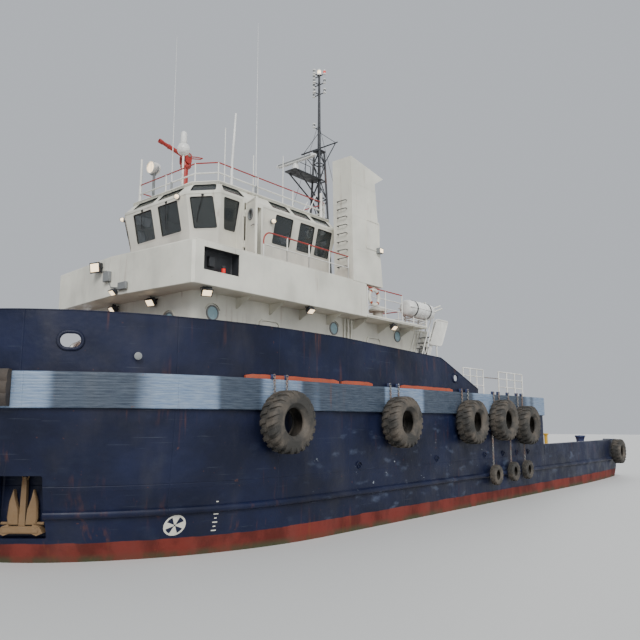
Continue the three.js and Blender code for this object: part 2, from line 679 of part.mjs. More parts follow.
// The boat deck runs on beside the aft end of the bridge block, under the stacks.
const BOAT_DECK = { half: 3600, stepX: 2200, thick: 100 };
const BOAT_DECK_Z = HOUSE_TOP_Z + BOAT_DECK.thick;
const RECESS = { x: 6150, half: HOUSE_HALF };
const boatDeckSide = [
  [HOUSE_AFT_X, HOUSE_HALF], [BOAT_DECK.stepX, HOUSE_HALF], [BOAT_DECK.stepX, BOAT_DECK.half],
  [RECESS.x - GAP, BOAT_DECK.half], [RECESS.x - GAP, RECESS.half + GAP],
  [BRIDGE_AFT_X - GAP, RECESS.half + GAP],
];
const boatDeck = upward(
  [...boatDeckSide.map(([x, y]) => [x, -y]), ...boatDeckSide.slice().reverse()],
  HOUSE_TOP_Z + GAP,
  BOAT_DECK_Z,
);

// The bridge block has a slightly pointed front and a recess for the sidelight on each side.
const SIDELIGHT = { x0: 12200, x1: 13500, z0: 7260, z1: 7910, deep: 350 };
// Floodlights under the bridge block: x and y of each on the port side, and half their width
const FLOODLIGHTS = [[13220, 3380], [9030, 3410], [13360, 1000]];
const LAMP = 110;
{
  const corner = BRIDGE_FRONT_X - 200;
  const side = [
    [BRIDGE_AFT_X, RECESS.half], [RECESS.x, RECESS.half], [RECESS.x, BRIDGE_HALF],
    [corner, BRIDGE_HALF],
  ];
  const body = upward(
    [
      ...side.map(([x, y]) => [x, -y]), [BRIDGE_FRONT_X + 100, 0], ...side.slice().reverse(),
    ],
    HOUSE_TOP_Z + GAP,
    BRIDGE_TOP_Z,
  );
  const { x0, x1, z0, z1, deep } = SIDELIGHT;
  const recess = box(x0, x1, BRIDGE_HALF - deep, BRIDGE_HALF + 100, z0, z1);
  const lampAt = [x0 + 420, BRIDGE_HALF - deep / 2];
  const lamp = rod([...lampAt, z0 - 10], [...lampAt, z0 + 280], 70, 10);
  const floods = FLOODLIGHTS.flatMap(([x, y]) => {
    const flood = box(x - LAMP, x + LAMP, y - LAMP, y + LAMP, HOUSE_TOP_Z - 270, HOUSE_TOP_Z + 50);
    return [flood, mirrored(flood)];
  });
  const block = cut(body, recess, mirrored(recess));
  piece("bridge_block", join([block, lamp, mirrored(lamp), ...floods]), FINISH.cream);
}

// Wheelhouse plan at the sill: the corners of one half, from the front to the aft wall
const PLAN = [[12450, 1550], [11950, 2300], [6700, 2300], [6500, 2100]];
const plan = [...PLAN, ...PLAN.slice().reverse().map(([x, y]) => [x, -y])];

// The plan moved outward by a distance, with mitred corners.
function planRing(out, z) {
  const count = plan.length;
  return plan.map(([x, y], i) => {
    const [px, py] = plan[(i + count - 1) % count];
    const [nx, ny] = plan[(i + 1) % count];
    const before = new THREE.Vector2(x - px, y - py).normalize();
    const after = new THREE.Vector2(nx - x, ny - y).normalize();
    const a = new THREE.Vector2(before.y, -before.x);
    const b = new THREE.Vector2(after.y, -after.x);
    const mitre = a.clone().add(b).divideScalar(1 + a.dot(b));
    return new THREE.Vector3(x + mitre.x * out, y + mitre.y * out, z);
  });
}

// Wall profile: how far the wall stands out from the plan at each height
const WALL = [[BRIDGE_TOP_Z, 0], [8950, 0], [10030, 240], [10110, 240], [ROOF_Z, -60]];
const WALL_THICK = 90;
const DOOR = { x: 11140, out: 2560, z: 8150, width: 720, height: 1800, thick: 55, frame: 80 };
DOOR.x0 = DOOR.x - DOOR.width;
const LOWER_WINDOW = [9000, 9950];
const UPPER_WINDOW = [10165, 10385];
// Windows: the middle of each on the plan, its width and the turn of its wall from the fore-and-aft line
const SIDE_WINDOWS = [
  [11590, 620, LOWER_WINDOW], [9275, 850, LOWER_WINDOW], [8135, 770, LOWER_WINDOW],
  [7210, 800, LOWER_WINDOW], [11480, 760, UPPER_WINDOW], [9425, 900, UPPER_WINDOW],
  [8375, 900, UPPER_WINDOW], [7325, 900, UPPER_WINDOW],
];

function opening(x, y, width, turn, [z0, z1]) {
  const hole = new THREE.BoxGeometry(width, 1000, z1 - z0);
  hole.rotateZ(turn);
  hole.translate(x, y, (z0 + z1) / 2);
  return toSolid(hole);
}

function wheelhouseOpenings() {
  const cuts = [];
  const half = Math.PI / 2;
  const slant = Math.atan2(2300 - 1550, 11950 - 12450);
  for (const height of [LOWER_WINDOW, UPPER_WINDOW]) {
    for (const sign of [1, -1]) {
      cuts.push(opening(12500, 640 * sign, 1080, half, height));
      cuts.push(opening(12200, 1925 * sign, 640, slant * sign, height));
    }
    for (const y of [-1400, 0, 1400]) cuts.push(opening(6500, y, 1000, half, height));
  }
  for (const [x, width, height] of SIDE_WINDOWS) {
    for (const sign of [1, -1]) cuts.push(opening(x, 2400 * sign, width, 0, height));
  }
  for (const sign of [1, -1]) {
    const [y0, y1] = [1900 * sign, 2800 * sign].sort((a, b) => a - b);
    const top = DOOR.z + DOOR.height + CLEAR;
    cuts.push(box(DOOR.x0 - CLEAR, DOOR.x + CLEAR / 2, y0, y1, DOOR.z - CLEAR, top));
  }
  return cuts;
}

function makeWalls() {
  const outside = loft(WALL.map(([z, out], i) => planRing(out, i === 0 ? z + GAP : z)));
  const inside = loft(
    WALL.map(([z, out], i) => planRing(out - WALL_THICK, z + (i === 0 ? -50 : i === 4 ? 50 : 0))),
  );
  const frames = [1, -1].map((sign) => {
    const [y0, y1] = [2215 * sign, DOOR.out * sign].sort((a, b) => a - b);
    return box(DOOR.x0 - DOOR.frame, DOOR.x + DOOR.frame, y0, y1, BRIDGE_TOP_Z + GAP, 10030);
  });
  const pierced = cut(join([cut(outside, inside), ...frames]), ...wheelhouseOpenings());
  const knuckles = makeKnuckles(DOOR).map((solid) =>
    solid.translate([DOOR.x, DOOR.out + HINGE.out, DOOR.z]),
  );
  return join([pierced, ...knuckles, ...knuckles.map(mirrored)]);
}
piece("wheelhouse_walls", makeWalls(), FINISH.cream);

// One glass band lines the walls behind the windows, open at the doors.
{
  const seat = WALL_THICK + GAP + 0.2;
  const levels = [[8970, 4], [10030, 240], [10110, 240], [10400, -16]];
  const outside = loft(levels.map(([z, out]) => planRing(out - seat, z)));
  const inside = loft(
    levels.map(([z, out], i) => planRing(out - seat - 25, z + (i === 0 ? -1 : i === 3 ? 1 : 0))),
  );
  const doors = [1, -1].map((sign) => {
    const [y0, y1] = [1900 * sign, 2800 * sign].sort((a, b) => a - b);
    return box(DOOR.x0 - 120, DOOR.x + 120, y0, y1, 8000, 10060);
  });
  piece("wheelhouse_glass", cut(outside, inside, ...doors), FINISH.glass);
}

const ROOF_THICK = 80;
const ROOF_TOP_Z = ROOF_Z + GAP + ROOF_THICK;
piece("wheelhouse_roof", loft([planRing(-30, ROOF_Z + GAP), planRing(-30, ROOF_TOP_Z)]), FINISH.cream);

const desk = acrossShip(
  [[11250, 8050 + GAP], [11950, 8050 + GAP], [11950, 8850], [11700, 8950], [11250, 8800]],
  -1250,
  1250,
);
piece("helm_console", desk, FINISH.dark);
piece(
  "helm_chair",
  join([
    rod([0, 0, GAP], [0, 0, 60], 260, 14),
    rod([0, 0, 20], [0, 0, 620], 50, 10),
    box(-260, 260, -270, 270, 560, 680),
    box(-330, -240, -250, 250, 600, 1280),
  ]),
  FINISH.dark,
  station(10500, 0, BRIDGE_TOP_Z),
);

const PORT_DOOR_OPEN = 1.885; // the port door stands open by this many radians
for (const [side, sign] of SIDES) {
  const middle = -DOOR.width / 2;
  const light = rod([middle, -200, 1330], [middle, 200, 1330], 140, 16);
  const hung = station(DOOR.x, (DOOR.out + HINGE.out) * sign, DOOR.z);
  hung.rotation.z = side === "port" ? -PORT_DOOR_OPEN : 0;
  const door = cut(makeDoor(DOOR), light);
  piece("wheelhouse_door_" + side, sign > 0 ? door : mirrored(door), FINISH.cream, hung);
}

// Stacks, with rungs up the front
function makeStack() {
  const [y0, y1] = [2700, BRIDGE_HALF];
  const body = acrossShip(
    [
      [BRIDGE_AFT_X, BRIDGE_TOP_Z + GAP], [6900, BRIDGE_TOP_Z + GAP], [7000, 12560],
      [5040, 12240], [5580, 11900],
    ],
    y0,
    y1,
  );
  const rungs = [];
  for (let k = 0; k < 9; k++) {
    const z = 8550 + 300 * k;
    rungs.push(box(6850, 7060, y0 + 220, y1 - 220, z, z + 35));
  }
  return join([body, ...rungs]);
}
piece("stack_port", makeStack(), FINISH.cream);
piece("stack_starboard", mirrored(makeStack()), FINISH.cream);

// A straight square bar between two points
function bar(from, to, width) {
  return rod(from, to, width / Math.SQRT2, 4);
}

// A railing along a path of [x, y] points on a level deck: posts, and bars at the given heights.
function railing(path, z, heights, pitch, width = 50) {
  const solids = [];
  const top = heights.at(-1);
  for (let i = 0; i + 1 < path.length; i++) {
    const a = new THREE.Vector2(...path[i]);
    const b = new THREE.Vector2(...path[i + 1]);
    const along = b.clone().sub(a);
    const count = Math.max(1, Math.round(along.length() / pitch));
    for (let k = i === 0 ? 0 : 1; k <= count; k++) {
      const p = a.clone().addScaledVector(along, k / count);
      solids.push(bar([p.x, p.y, z + GAP], [p.x, p.y, z + top], width));
    }
    for (const height of heights) {
      solids.push(bar([a.x, a.y, z + height], [b.x, b.y, z + height], width * 0.9));
    }
  }
  return join(solids);
}

const ROOF_RAIL = [310, 640];
const roofPath = planRing(-190, 0).map((p) => [p.x, p.y]);
const roofRail = railing([...roofPath, roofPath[0]], ROOF_TOP_Z, ROOF_RAIL, 1900);
// Whip antennas, clamped to the railing at the front and on its port side
const WHIPS = [
  { at: [roofPath[0][0], 300], high: 5500 },
  { at: [10250, roofPath[1][1]], high: 6200 },
];
const whips = WHIPS.map(({ at: [x, y], high }) =>
  rod([x, y, ROOF_TOP_Z + GAP], [x, y, ROOF_TOP_Z + high], 30, 6, 10),
);
// A domed aerial on a post inside the front rail, and the taller posts of the railing's corners
const AERIAL = { x: 12100, y: 650, foot: 11750, dome: 205 };
const dome = turned(
  [[0, 0], [100, 0], [AERIAL.dome, 140], [AERIAL.dome, 240], [100, 390], [100, 740], [0, 800]],
  14,
).translate([AERIAL.x, AERIAL.y, AERIAL.foot]);
const aerialPost = rod([AERIAL.x, AERIAL.y, ROOF_TOP_Z + GAP], [AERIAL.x, AERIAL.y, AERIAL.foot + 50], 40);
const armZ = ROOF_TOP_Z + ROOF_RAIL[0];
const aerialArm = bar([roofPath[0][0], AERIAL.y, armZ], [AERIAL.x, AERIAL.y, armZ], 50);
const aerial = [dome, aerialPost, aerialArm];
// Columns: x, y, top, radius
const ROOF_POSTS = [[12250, -1450, 12100, 45], [6950, roofPath[1][1], 11500, 60], [11290, 2110, 13050, 40]];
const roofPosts = ROOF_POSTS.map(([x, y, top, radius]) =>
  rod([x, y, ROOF_TOP_Z + GAP], [x, y, top], radius),
);
piece("roof_rail", join([roofRail, ...whips, ...aerial, ...roofPosts]), FINISH.cream);
const bridgeRail = railing([[11200, 3490], [7120, 3490]], BRIDGE_TOP_Z, [380, 800], 1000);
piece("bridge_rail_port", bridgeRail, FINISH.cream);
piece("bridge_rail_starboard", mirrored(bridgeRail), FINISH.cream);
const DECK_RAIL = [350, 680, 1000];
const boatRail = railing([[RECESS.x - 60, 3540], [3900, 3540]], BOAT_DECK_Z - 10, DECK_RAIL, 1050);
const LIFEBUOY = { x: 5760, y: 3590, z: 7600, radius: 270, thick: 60 };
const ring = new THREE.TorusGeometry(LIFEBUOY.radius, LIFEBUOY.thick, 6, 16);
ring.rotateX(Math.PI / 2);
ring.translate(LIFEBUOY.x, LIFEBUOY.y, LIFEBUOY.z);
const lifebuoy = toSolid(ring);
const aftRail = railing([[860, -2690], [860, 2690]], BOAT_DECK_Z - 10, DECK_RAIL, 1350);
const sideOfDeck = join([boatRail, lifebuoy]);
piece("boat_deck", join([boatDeck, sideOfDeck, mirrored(sideOfDeck), aftRail]), FINISH.deck);
const GUARD_RAIL = [350, 700, 1000];
const handrail = [[1150, 4540], [-550, 4540]];
const guardFrame = [[-1850, 4600], [-4250, 4600]];
const between = [handrail[1], guardFrame[0]].map(([x, y]) => [x, y, FORECASTLE_Z + GUARD_RAIL[1]]);
const guard = join([
  railing(handrail, FORECASTLE_Z, GUARD_RAIL, 550, 60),
  railing(guardFrame, FORECASTLE_Z, GUARD_RAIL, 800, 60),
  bar(...between, 45),
]);
piece("guard_frame_port", guard, FINISH.cream);
piece("guard_frame_starboard", mirrored(guard), FINISH.cream);

// Lattice mast on the boat deck, tapering to a pole
const MAST = { x: 4600, base: 420, head: 150, low: BOAT_DECK_Z + GAP, high: 14500, top: 18300 };
const RADAR = { x: MAST.x + 1450, z: 13450, half: 1050 };
const YARD = { z: 14600, half: 1000 };
// Three lamps stand at each of these heights, on arms ahead of the pole and to either side,
// and a single one ahead of it lower down.
const MAST_LAMPS = [17050, 17500, 17900];
const SINGLE_LAMP_Z = 15450;
const MAST_LAMP = { ahead: 330, aside: 300, radius: 65, below: 30, above: 210 };
function makeMast() {
  const corner = (sx, sy, z) => {
    const s = (z - MAST.low) / (MAST.high - MAST.low);
    const half = MAST.base + (MAST.head - MAST.base) * s;
    return [MAST.x + sx * half, sy * half, z];
  };
  const quarters = [[1, 1], [-1, 1], [-1, -1], [1, -1]];
  const levels = [MAST.low + 60, 8900, 10900, 12800, MAST.high];
  const solids = [];
  for (const [sx, sy] of quarters) {
    const foot = MAST.low + 10;
    const [x, y] = corner(sx, sy, foot);
    solids.push(bar(corner(sx, sy, foot), corner(sx, sy, MAST.high), 90));
    solids.push(box(x - 90, x + 90, y - 90, y + 90, MAST.low, MAST.low + 25));
  }
  levels.forEach((z, i) => {
    quarters.forEach(([sx, sy], k) => {
      const [tx, ty] = quarters[(k + 1) % 4];
      solids.push(bar(corner(sx, sy, z), corner(tx, ty, z), 55));
      if (i + 1 < levels.length && (i + k) % 2 === 0) {
        solids.push(bar(corner(sx, sy, z), corner(tx, ty, levels[i + 1]), 50));
      }
    });
  });
  solids.push(rod([MAST.x, 0, MAST.high - 200], [MAST.x, 0, MAST.top], 75, 10, 45));
  solids.push(box(MAST.x - 150, MAST.x + 150, -150, 150, MAST.high - 60, MAST.high));
  solids.push(bar([MAST.x, -YARD.half, YARD.z], [MAST.x, YARD.half, YARD.z], 70));
  const { ahead, aside, radius, below, above } = MAST_LAMP;
  const arms = [[ahead, 0], [0, aside], [0, -aside]];
  const lamps = MAST_LAMPS.flatMap((lampZ) => arms.map((arm) => [...arm, lampZ]));
  for (const [dx, y, lampZ] of [...lamps, [ahead, 0, SINGLE_LAMP_Z]]) {
    const end = MAST.x + dx;
    solids.push(bar([MAST.x, 0, lampZ], [end, y, lampZ], 45));
    solids.push(rod([end, y, lampZ - below], [end, y, lampZ + above], radius, 8));
  }
  const { x, z } = RADAR;
  solids.push(box(MAST.x + 100, x + 300, -260, 260, z - 350, z - 290));
  solids.push(bar([MAST.x + 150, 0, z - 1250], [x, 0, z - 340], 70));
  solids.push(rod([x, 0, z - 300], [x, 0, z], 150, 12));
  return join(solids);
}
piece("lattice_mast", makeMast(), FINISH.dark);
piece(
  "radar_scanner",
  join([box(-110, 110, -RADAR.half, RADAR.half, 90, 240), rod([0, 0, SEAT], [0, 0, 120], 90, 12)]),
  FINISH.cream,
  station(RADAR.x, 0, RADAR.z),
);

// Fire monitor on its stand, searchlight and antennas on the wheelhouse roof
const MONITOR = { x: 10900, y: -800, z: 12100, heading: -0.05, rise: 0.24 };
piece(
  "monitor_stand",
  join([
    rod([0, 0, ROOF_TOP_Z + GAP], [0, 0, ROOF_TOP_Z + 60], 240, 14),
    rod([0, 0, ROOF_TOP_Z + 20], [0, 0, MONITOR.z], 100, 12),
    rod([0, 0, MONITOR.z - 60], [0, 0, MONITOR.z], 180, 14),
  ]),
  FINISH.orange,
  station(MONITOR.x, MONITOR.y, 0),
);
{
  const head = station(MONITOR.x, MONITOR.y, MONITOR.z);
  head.rotation.z = MONITOR.heading;
  const fork = join([
    rod([0, 0, SEAT], [0, 0, 140], 150, 14),
    box(-90, 90, -210, -150, 80, 420),
    box(-90, 90, 150, 210, 80, 420),
    box(-90, 90, -200, 200, 80, 140),
  ]);
  piece("monitor_head", fork, FINISH.orange, head);
  const cradle = new THREE.Group();
  cradle.position.set(0, 0, 340);
  cradle.rotation.y = -MONITOR.rise;
  head.add(cradle);
  const barrel = join([
    rod([0, -150 + SEAT, 0], [0, 150 - SEAT, 0], 70, 12),
    rod([-150, 0, 0], [1050, 0, 0], 75, 12, 50),
    rod([1000, 0, 0], [1130, 0, 0], 70, 12),
  ]);
  piece("monitor_barrel", barrel, FINISH.orange, cradle);
}
piece(
  "searchlight",
  join([
    rod([0, 0, GAP], [0, 0, 40], 130, 12),
    rod([0, 0, 20], [0, 0, 950], 45, 10),
    rod([-170, 0, 1130], [170, 0, 1130], 210, 16),
    box(-60, 60, -60, 60, 900, 1000),
  ]),
  FINISH.dark,
  station(12150, -850, ROOF_TOP_Z),
);
// Liferafts in their canisters, on cradles at the edge of the boat deck
function makeRaft() {
  const canister = rod([-900, 0, 600], [900, 0, 600], 330, 14);
  const legs = [-480, 480].map((x) => box(x - 50, x + 50, -300, 100, GAP, 450));
  return join([canister, ...legs]);
}
for (const [side, sign] of SIDES) {
  const raft = sign > 0 ? makeRaft() : mirrored(makeRaft());
  piece("liferaft_" + side, raft, FINISH.cream, station(2650, 3450 * sign, BOAT_DECK_Z));
}

// Windlass on the foredeck: bed and cheeks, and the shaft with its drums
const WINDLASS = { x: 15300, z: 700, cheekY: 1050, cheek: 120 };
{
  const { x, z, cheekY, cheek } = WINDLASS;
  const at = station(x, 0, FORECASTLE_Z);
  const cheeks = [1, -1].map((sign) => {
    const [y0, y1] = [cheekY * sign, (cheekY + cheek) * sign].sort((a, b) => a - b);
    return box(-330, 330, y0, y1, 100, z + 260);
  });
  const hole = rod([0, -2000, z], [0, 2000, z], 110 + CLEAR, 16);
  const bed = cut(join([box(-450, 450, -1250, 1250, GAP, 160), ...cheeks]), hole);
  const gearCase = box(-260, 260, -250, 250, 100, 400);
  piece("windlass_bed", join([bed, gearCase]), FINISH.navy, at);
  const inner = cheekY - SEAT;
  const half = [
    [110, 500], [200, 500], [200, 560], [330, 560], [330, 640], [200, 700], [200, 820], [330, 880],
    [330, 960], [200, 960], [200, inner], [110, inner], [110, 1380], [210, 1420], [180, 1560],
    [230, 1700], [0, 1700],
  ];
  const other = half.map(([r, y]) => [r, -y]).reverse();
  piece("windlass_drums", turned([...other, ...half], 12, false).translate([0, 0, z]), FINISH.steel, at);
}

// Towing winch in the bay: frame with two cheeks, and the drum
const WINCH = { x: -2600, z: 1250, cheekY: 1250, cheek: 140 };
{
  const { x, z, cheekY, cheek } = WINCH;
  const at = station(x, 0, MAIN_DECK_Z);
  const cheeks = [1, -1].map((sign) => {
    const [y0, y1] = [cheekY * sign, (cheekY + cheek) * sign].sort((a, b) => a - b);
    return acrossShip([[-950, 100], [950, 100], [420, z + 420], [-420, z + 420]], y0, y1);
  });
  const base = box(-1100, 1100, -1450, 1450, GAP, 180);
  const gearCase = box(-600, 600, cheekY + cheek - 5, 2500, 100, 1500);
  const tie = box(820, 900, -1300, 1300, 150, 330);
  piece("winch_frame", join([base, ...cheeks, gearCase, tie]), FINISH.navy, at);
  const inner = cheekY - SEAT;
  const half = [[420, 0], [420, 1080], [950, 1080], [950, 1160], [220, 1160], [220, inner], [0, inner]];
  const other = half.slice(1).map(([r, y]) => [r, -y]).reverse();
  piece("winch_drum", turned([...other, ...half], 22, false).translate([0, 0, z]), FINISH.steel, at);
}

// Stern roller, tow pins and capstans
{
  const { x, z, radius, half } = ROLLER;
  const end = half + 200 - SEAT;
  const roller = join([
    rod([0, -half, 0], [0, half, 0], radius, 28),
    rod([0, -end, 0], [0, end, 0], 150, 16),
  ]);
  piece("stern_roller", roller, FINISH.steel, station(x, 0, z));
}
const pins = [box(-250, 250, -620, 620, GAP, 110)];
for (const y of [-330, 330]) {
  pins.push(rod([0, y, 60], [0, y, 800], 105, 14));
  pins.push(rod([0, y, 740], [0, y, 830], 165, 14));
}
piece("tow_pins", join(pins), FINISH.yellow, station(-17350, 0, MAIN_DECK_Z));
for (const [side, sign] of SIDES) {
  const at = station(-15600, 3100 * sign, MAIN_DECK_Z);
  const capstan = turned(
    [[0, GAP], [360, GAP], [360, 80], [230, 180], [200, 520], [290, 680], [290, 760], [0, 780]],
    20,
  );
  piece("capstan_" + side, capstan, FINISH.navy, at);
}
piece(
  "hatch_lid",
  box(-HATCH.half, HATCH.half + 20, -HATCH.half, HATCH.half, SEAT, HATCH.lid),
  FINISH.navy,
  station(HATCH.x, HATCH.y, FORECASTLE_Z + HATCH.high),
);

export default tug;
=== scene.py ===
"""The looks of a tug afloat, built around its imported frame.

Metres throughout. X runs forward, Y to port and Z up, and the waterline is at Z 0.
"""

import random
from math import atan2, copysign, cos, exp, pi, radians, sin, sqrt

import bmesh
import bpy
import numpy as np
from mathutils import Matrix, Vector


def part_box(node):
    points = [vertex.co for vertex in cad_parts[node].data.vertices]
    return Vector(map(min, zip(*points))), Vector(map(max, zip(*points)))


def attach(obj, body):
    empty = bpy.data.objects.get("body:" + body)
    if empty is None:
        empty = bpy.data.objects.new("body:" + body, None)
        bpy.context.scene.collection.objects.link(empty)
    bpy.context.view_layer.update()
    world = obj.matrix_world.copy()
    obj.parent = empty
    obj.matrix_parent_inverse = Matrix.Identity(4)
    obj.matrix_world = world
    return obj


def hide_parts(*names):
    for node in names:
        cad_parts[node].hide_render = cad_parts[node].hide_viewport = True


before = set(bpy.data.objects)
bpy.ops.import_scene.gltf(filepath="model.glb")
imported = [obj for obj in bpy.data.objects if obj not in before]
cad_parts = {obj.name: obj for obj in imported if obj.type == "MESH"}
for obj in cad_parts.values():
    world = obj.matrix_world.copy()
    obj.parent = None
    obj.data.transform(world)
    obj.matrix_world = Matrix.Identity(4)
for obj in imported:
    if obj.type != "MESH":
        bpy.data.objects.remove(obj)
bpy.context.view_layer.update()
TUG = "tug"
SIDES = (("port", 1), ("starboard", -1))

# Driving sizes
STERN_X = -18.7
STEM_X = 18.8
HALF_BEAM = 4.7
MAIN_DECK_Z = 1.65
BELT_LOW_Z = 3.49
FORECASTLE_Z = 4.33
BELT_OUT = 0.1
BELT_FACE = HALF_BEAM + BELT_OUT
BOOT_TOP_Z = 0.45
KEEL_Z = -3.6
BULWARK_TOP_Z = 5.75
HOUSE_TOP_Z = 6.85
BOAT_DECK_Z = 6.95
BRIDGE_TOP_Z = 8.05
ROOF_TOP_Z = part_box("wheelhouse_roof")[1][2]
# The gaps that a piece and a machine's foot keep from what they rest on
SEAT = 0.0005
FOOT = 0.0006
ROOF_FOOT = ROOF_TOP_Z + SEAT


def add_object(name, data):
    made = bpy.data.objects.new(name, data)
    bpy.context.scene.collection.objects.link(made)
    return made


# Camera: at the height of an eye on the quay, ahead of the tug on its port side
CAMERA_AT = Vector((24.5, 17.1, 3.2))
CAMERA_LEVEL = Vector((-0.7593, -0.6507, 0))
CAMERA_PITCH = 0.1545
CAMERA_LENS = 36.84


def make_camera():
    data = bpy.data.cameras.new("camera")
    data.lens = CAMERA_LENS
    data.sensor_width = 36
    data.clip_end = 500
    camera = add_object("camera", data)
    aim = CAMERA_LEVEL.normalized() * cos(CAMERA_PITCH)
    aim.z = sin(CAMERA_PITCH)
    camera.matrix_world = Matrix.Translation(CAMERA_AT) @ aim.to_track_quat("-Z", "Y").to_matrix().to_4x4()
    bpy.context.scene.camera = camera


def make_light():
    world = bpy.data.worlds.new("studio")
    bpy.context.scene.world = world
    world.use_nodes = True
    shade = world.node_tree.nodes["Background"]
    shade.inputs["Color"].default_value = (0.74, 0.78, 0.84, 1)
    shade.inputs["Strength"].default_value = 0.75
    for name, toward, strength, angle in (
        ("key", (-0.62, -0.52, -0.62), 2.6, 0.5),
        ("fill", (-0.1, -0.9, -0.35), 0.7, 0.9),
        ("back", (0.7, 0.5, -0.5), 0.6, 0.9),
    ):
        sun = bpy.data.lights.new(name, "SUN")
        sun.energy = strength
        sun.angle = angle
        lamp = add_object(name, sun)
        lamp.rotation_euler = Vector(toward).to_track_quat("-Z", "Y").to_euler()


# Finishes
class Finish:
    """A material being made. Each call adds a node and hands back its output."""

    def __init__(self, name, **values):
        self.made = bpy.data.materials.new(name)
        self.made.use_nodes = True
        self.tree = self.made.node_tree
        self.shader = self.tree.nodes["Principled BSDF"]
        self.at = self.node("TexCoord").outputs["Object"]
        self.heights = []
        for socket, value in values.items():
            self.set(socket.replace("_", " "), value)

    def node(self, kind, **settings):
        made = self.tree.nodes.new("ShaderNode" + kind)
        for key, value in settings.items():
            setattr(made, key, value)
        return made

    def feed(self, socket, value):
        if isinstance(value, bpy.types.NodeSocket):
            self.tree.links.new(value, socket)
        else:
            socket.default_value = value

    def set(self, name, value):
        if name == "Base Color" and not isinstance(value, bpy.types.NodeSocket):
            value = (*value, 1)
        self.feed(self.shader.inputs[name], value)

    def axis(self, letter):
        split = self.node("SeparateXYZ")
        self.feed(split.inputs[0], self.at)
        return split.outputs[letter]

    def noise(self, scale, detail=4, stretch=(1, 1, 1), rough=0.55):
        mapping = self.node("Mapping")
        mapping.inputs["Scale"].default_value = stretch
        self.feed(mapping.inputs["Vector"], self.at)
        made = self.node("TexNoise")
        made.inputs["Scale"].default_value = scale
        made.inputs["Detail"].default_value = detail
        made.inputs["Roughness"].default_value = rough
        self.feed(made.inputs["Vector"], mapping.outputs[0])
        return made.outputs["Fac"]

    def span(self, value, low, high, to_low=0.0, to_high=1.0):
        """value from low to high becomes to_low to to_high, and is held there outside."""
        made = self.node("MapRange", interpolation_type="SMOOTHSTEP")
        for socket, given in zip(made.inputs, (value, low, high, to_low, to_high)):
            self.feed(socket, given)
        return made.outputs[0]

    def math(self, operation, a, b=0.0):
        made = self.node("Math", operation=operation)
        self.feed(made.inputs[0], a)
        self.feed(made.inputs[1], b)
        return made.outputs[0]

    def times(self, *values):
        made = values[0]
        for value in values[1:]:
            made = self.math("MULTIPLY", made, value)
        return made

    def mix(self, share, a, b):
        made = self.node("Mix", data_type="RGBA")
        self.feed(made.inputs[0], share)
        for socket, colour in ((made.inputs[6], a), (made.inputs[7], b)):
            self.feed(socket, colour if isinstance(colour, bpy.types.NodeSocket) else (*colour, 1))
        return made.outputs[2]

    def rise(self, height, distance, strength=1.0):
        """Adds a height to the surface's bump, in metres at its full value."""
        made = self.node("Bump")
        made.inputs["Strength"].default_value = strength
        made.inputs["Distance"].default_value = distance
        self.feed(made.inputs["Height"], height)
        if self.heights:
            self.feed(made.inputs["Normal"], self.heights[-1])
        self.heights.append(made.outputs[0])
        self.feed(self.shader.inputs["Normal"], made.outputs[0])


RUST = (0.19, 0.065, 0.022)
GRIME = (0.11, 0.1, 0.08)


def scaled(colour, by):
    return tuple(min(1, c * by) for c in colour)


def add_wear(finish, base, dirt, rust, scale):
    """Soot and rust over a paint: broad grime, streaks that run down, and spots."""
    grime = finish.noise(1.1 * scale, 6, (1, 1, 0.35))
    base = finish.mix(finish.times(finish.span(grime, 0.48, 0.78), dirt), base, GRIME)
    streaks = finish.span(finish.noise(7 * scale, 4, (1, 1, 0.06)), 0.56, 0.72)
    patches = finish.span(finish.noise(0.7 * scale, 3), 0.5, 0.66)
    base = finish.mix(finish.times(streaks, patches, rust), base, RUST)
    spots = finish.span(finish.noise(9 * scale, 5), 0.69, 0.74)
    return finish.mix(finish.times(spots, rust), base, RUST)


def painted(name, colour, roughness=0.42, dirt=0.3, rust=0.3, scale=1.0, metallic=0.0):
    finish = Finish(name, Metallic=metallic)
    tone = finish.span(finish.noise(0.8 * scale, 5), 0.3, 0.7)
    base = finish.mix(tone, scaled(colour, 0.88), scaled(colour, 1.08))
    finish.set("Base Color", add_wear(finish, base, dirt, rust, scale))
    finish.set("Roughness",
               finish.span(finish.noise(3 * scale, 4), 0.3, 0.7, roughness - 0.1, roughness + 0.14))
    finish.rise(finish.noise(2.2 * scale, 2), 0.012)
    finish.rise(finish.noise(55 * scale, 3), 0.0015)
    return finish.made


def bare_steel(name, colour, rust=0.55, roughness=0.45):
    finish = Finish(name)
    share = finish.span(finish.noise(3.5, 7), 0.42, 0.6, 0, rust)
    fine = finish.span(finish.noise(24, 4), 0.35, 0.65)
    base = finish.mix(fine, scaled(colour, 0.8), scaled(colour, 1.15))
    finish.set("Base Color", finish.mix(share, base, RUST))
    finish.set("Metallic", finish.span(share, 0, 0.5, 0.85, 0.1))
    finish.set("Roughness", finish.span(share, 0, 0.5, roughness, 0.85))
    finish.rise(finish.noise(30, 6), 0.003)
    return finish.made


def rubbery(name, colour, dust=(0.16, 0.13, 0.1), share=0.55, roughness=0.8):
    finish = Finish(name)
    cover = finish.times(finish.span(finish.noise(2.3, 7), 0.38, 0.68), share)
    fine = finish.span(finish.noise(30, 4), 0.3, 0.7)
    base = finish.mix(fine, scaled(colour, 0.7), scaled(colour, 1.4))
    finish.set("Base Color", finish.mix(cover, base, dust))
    finish.set("Roughness", finish.span(fine, 0, 1, roughness - 0.12, roughness + 0.1))
    finish.rise(finish.noise(18, 5), 0.006)
    return finish.made


NAVY = (0.006, 0.009, 0.028)
BELT_BLUE = (0.1, 0.15, 0.235)
ANTIFOULING = (0.17, 0.03, 0.022)
CREAM = (0.71, 0.695, 0.6)


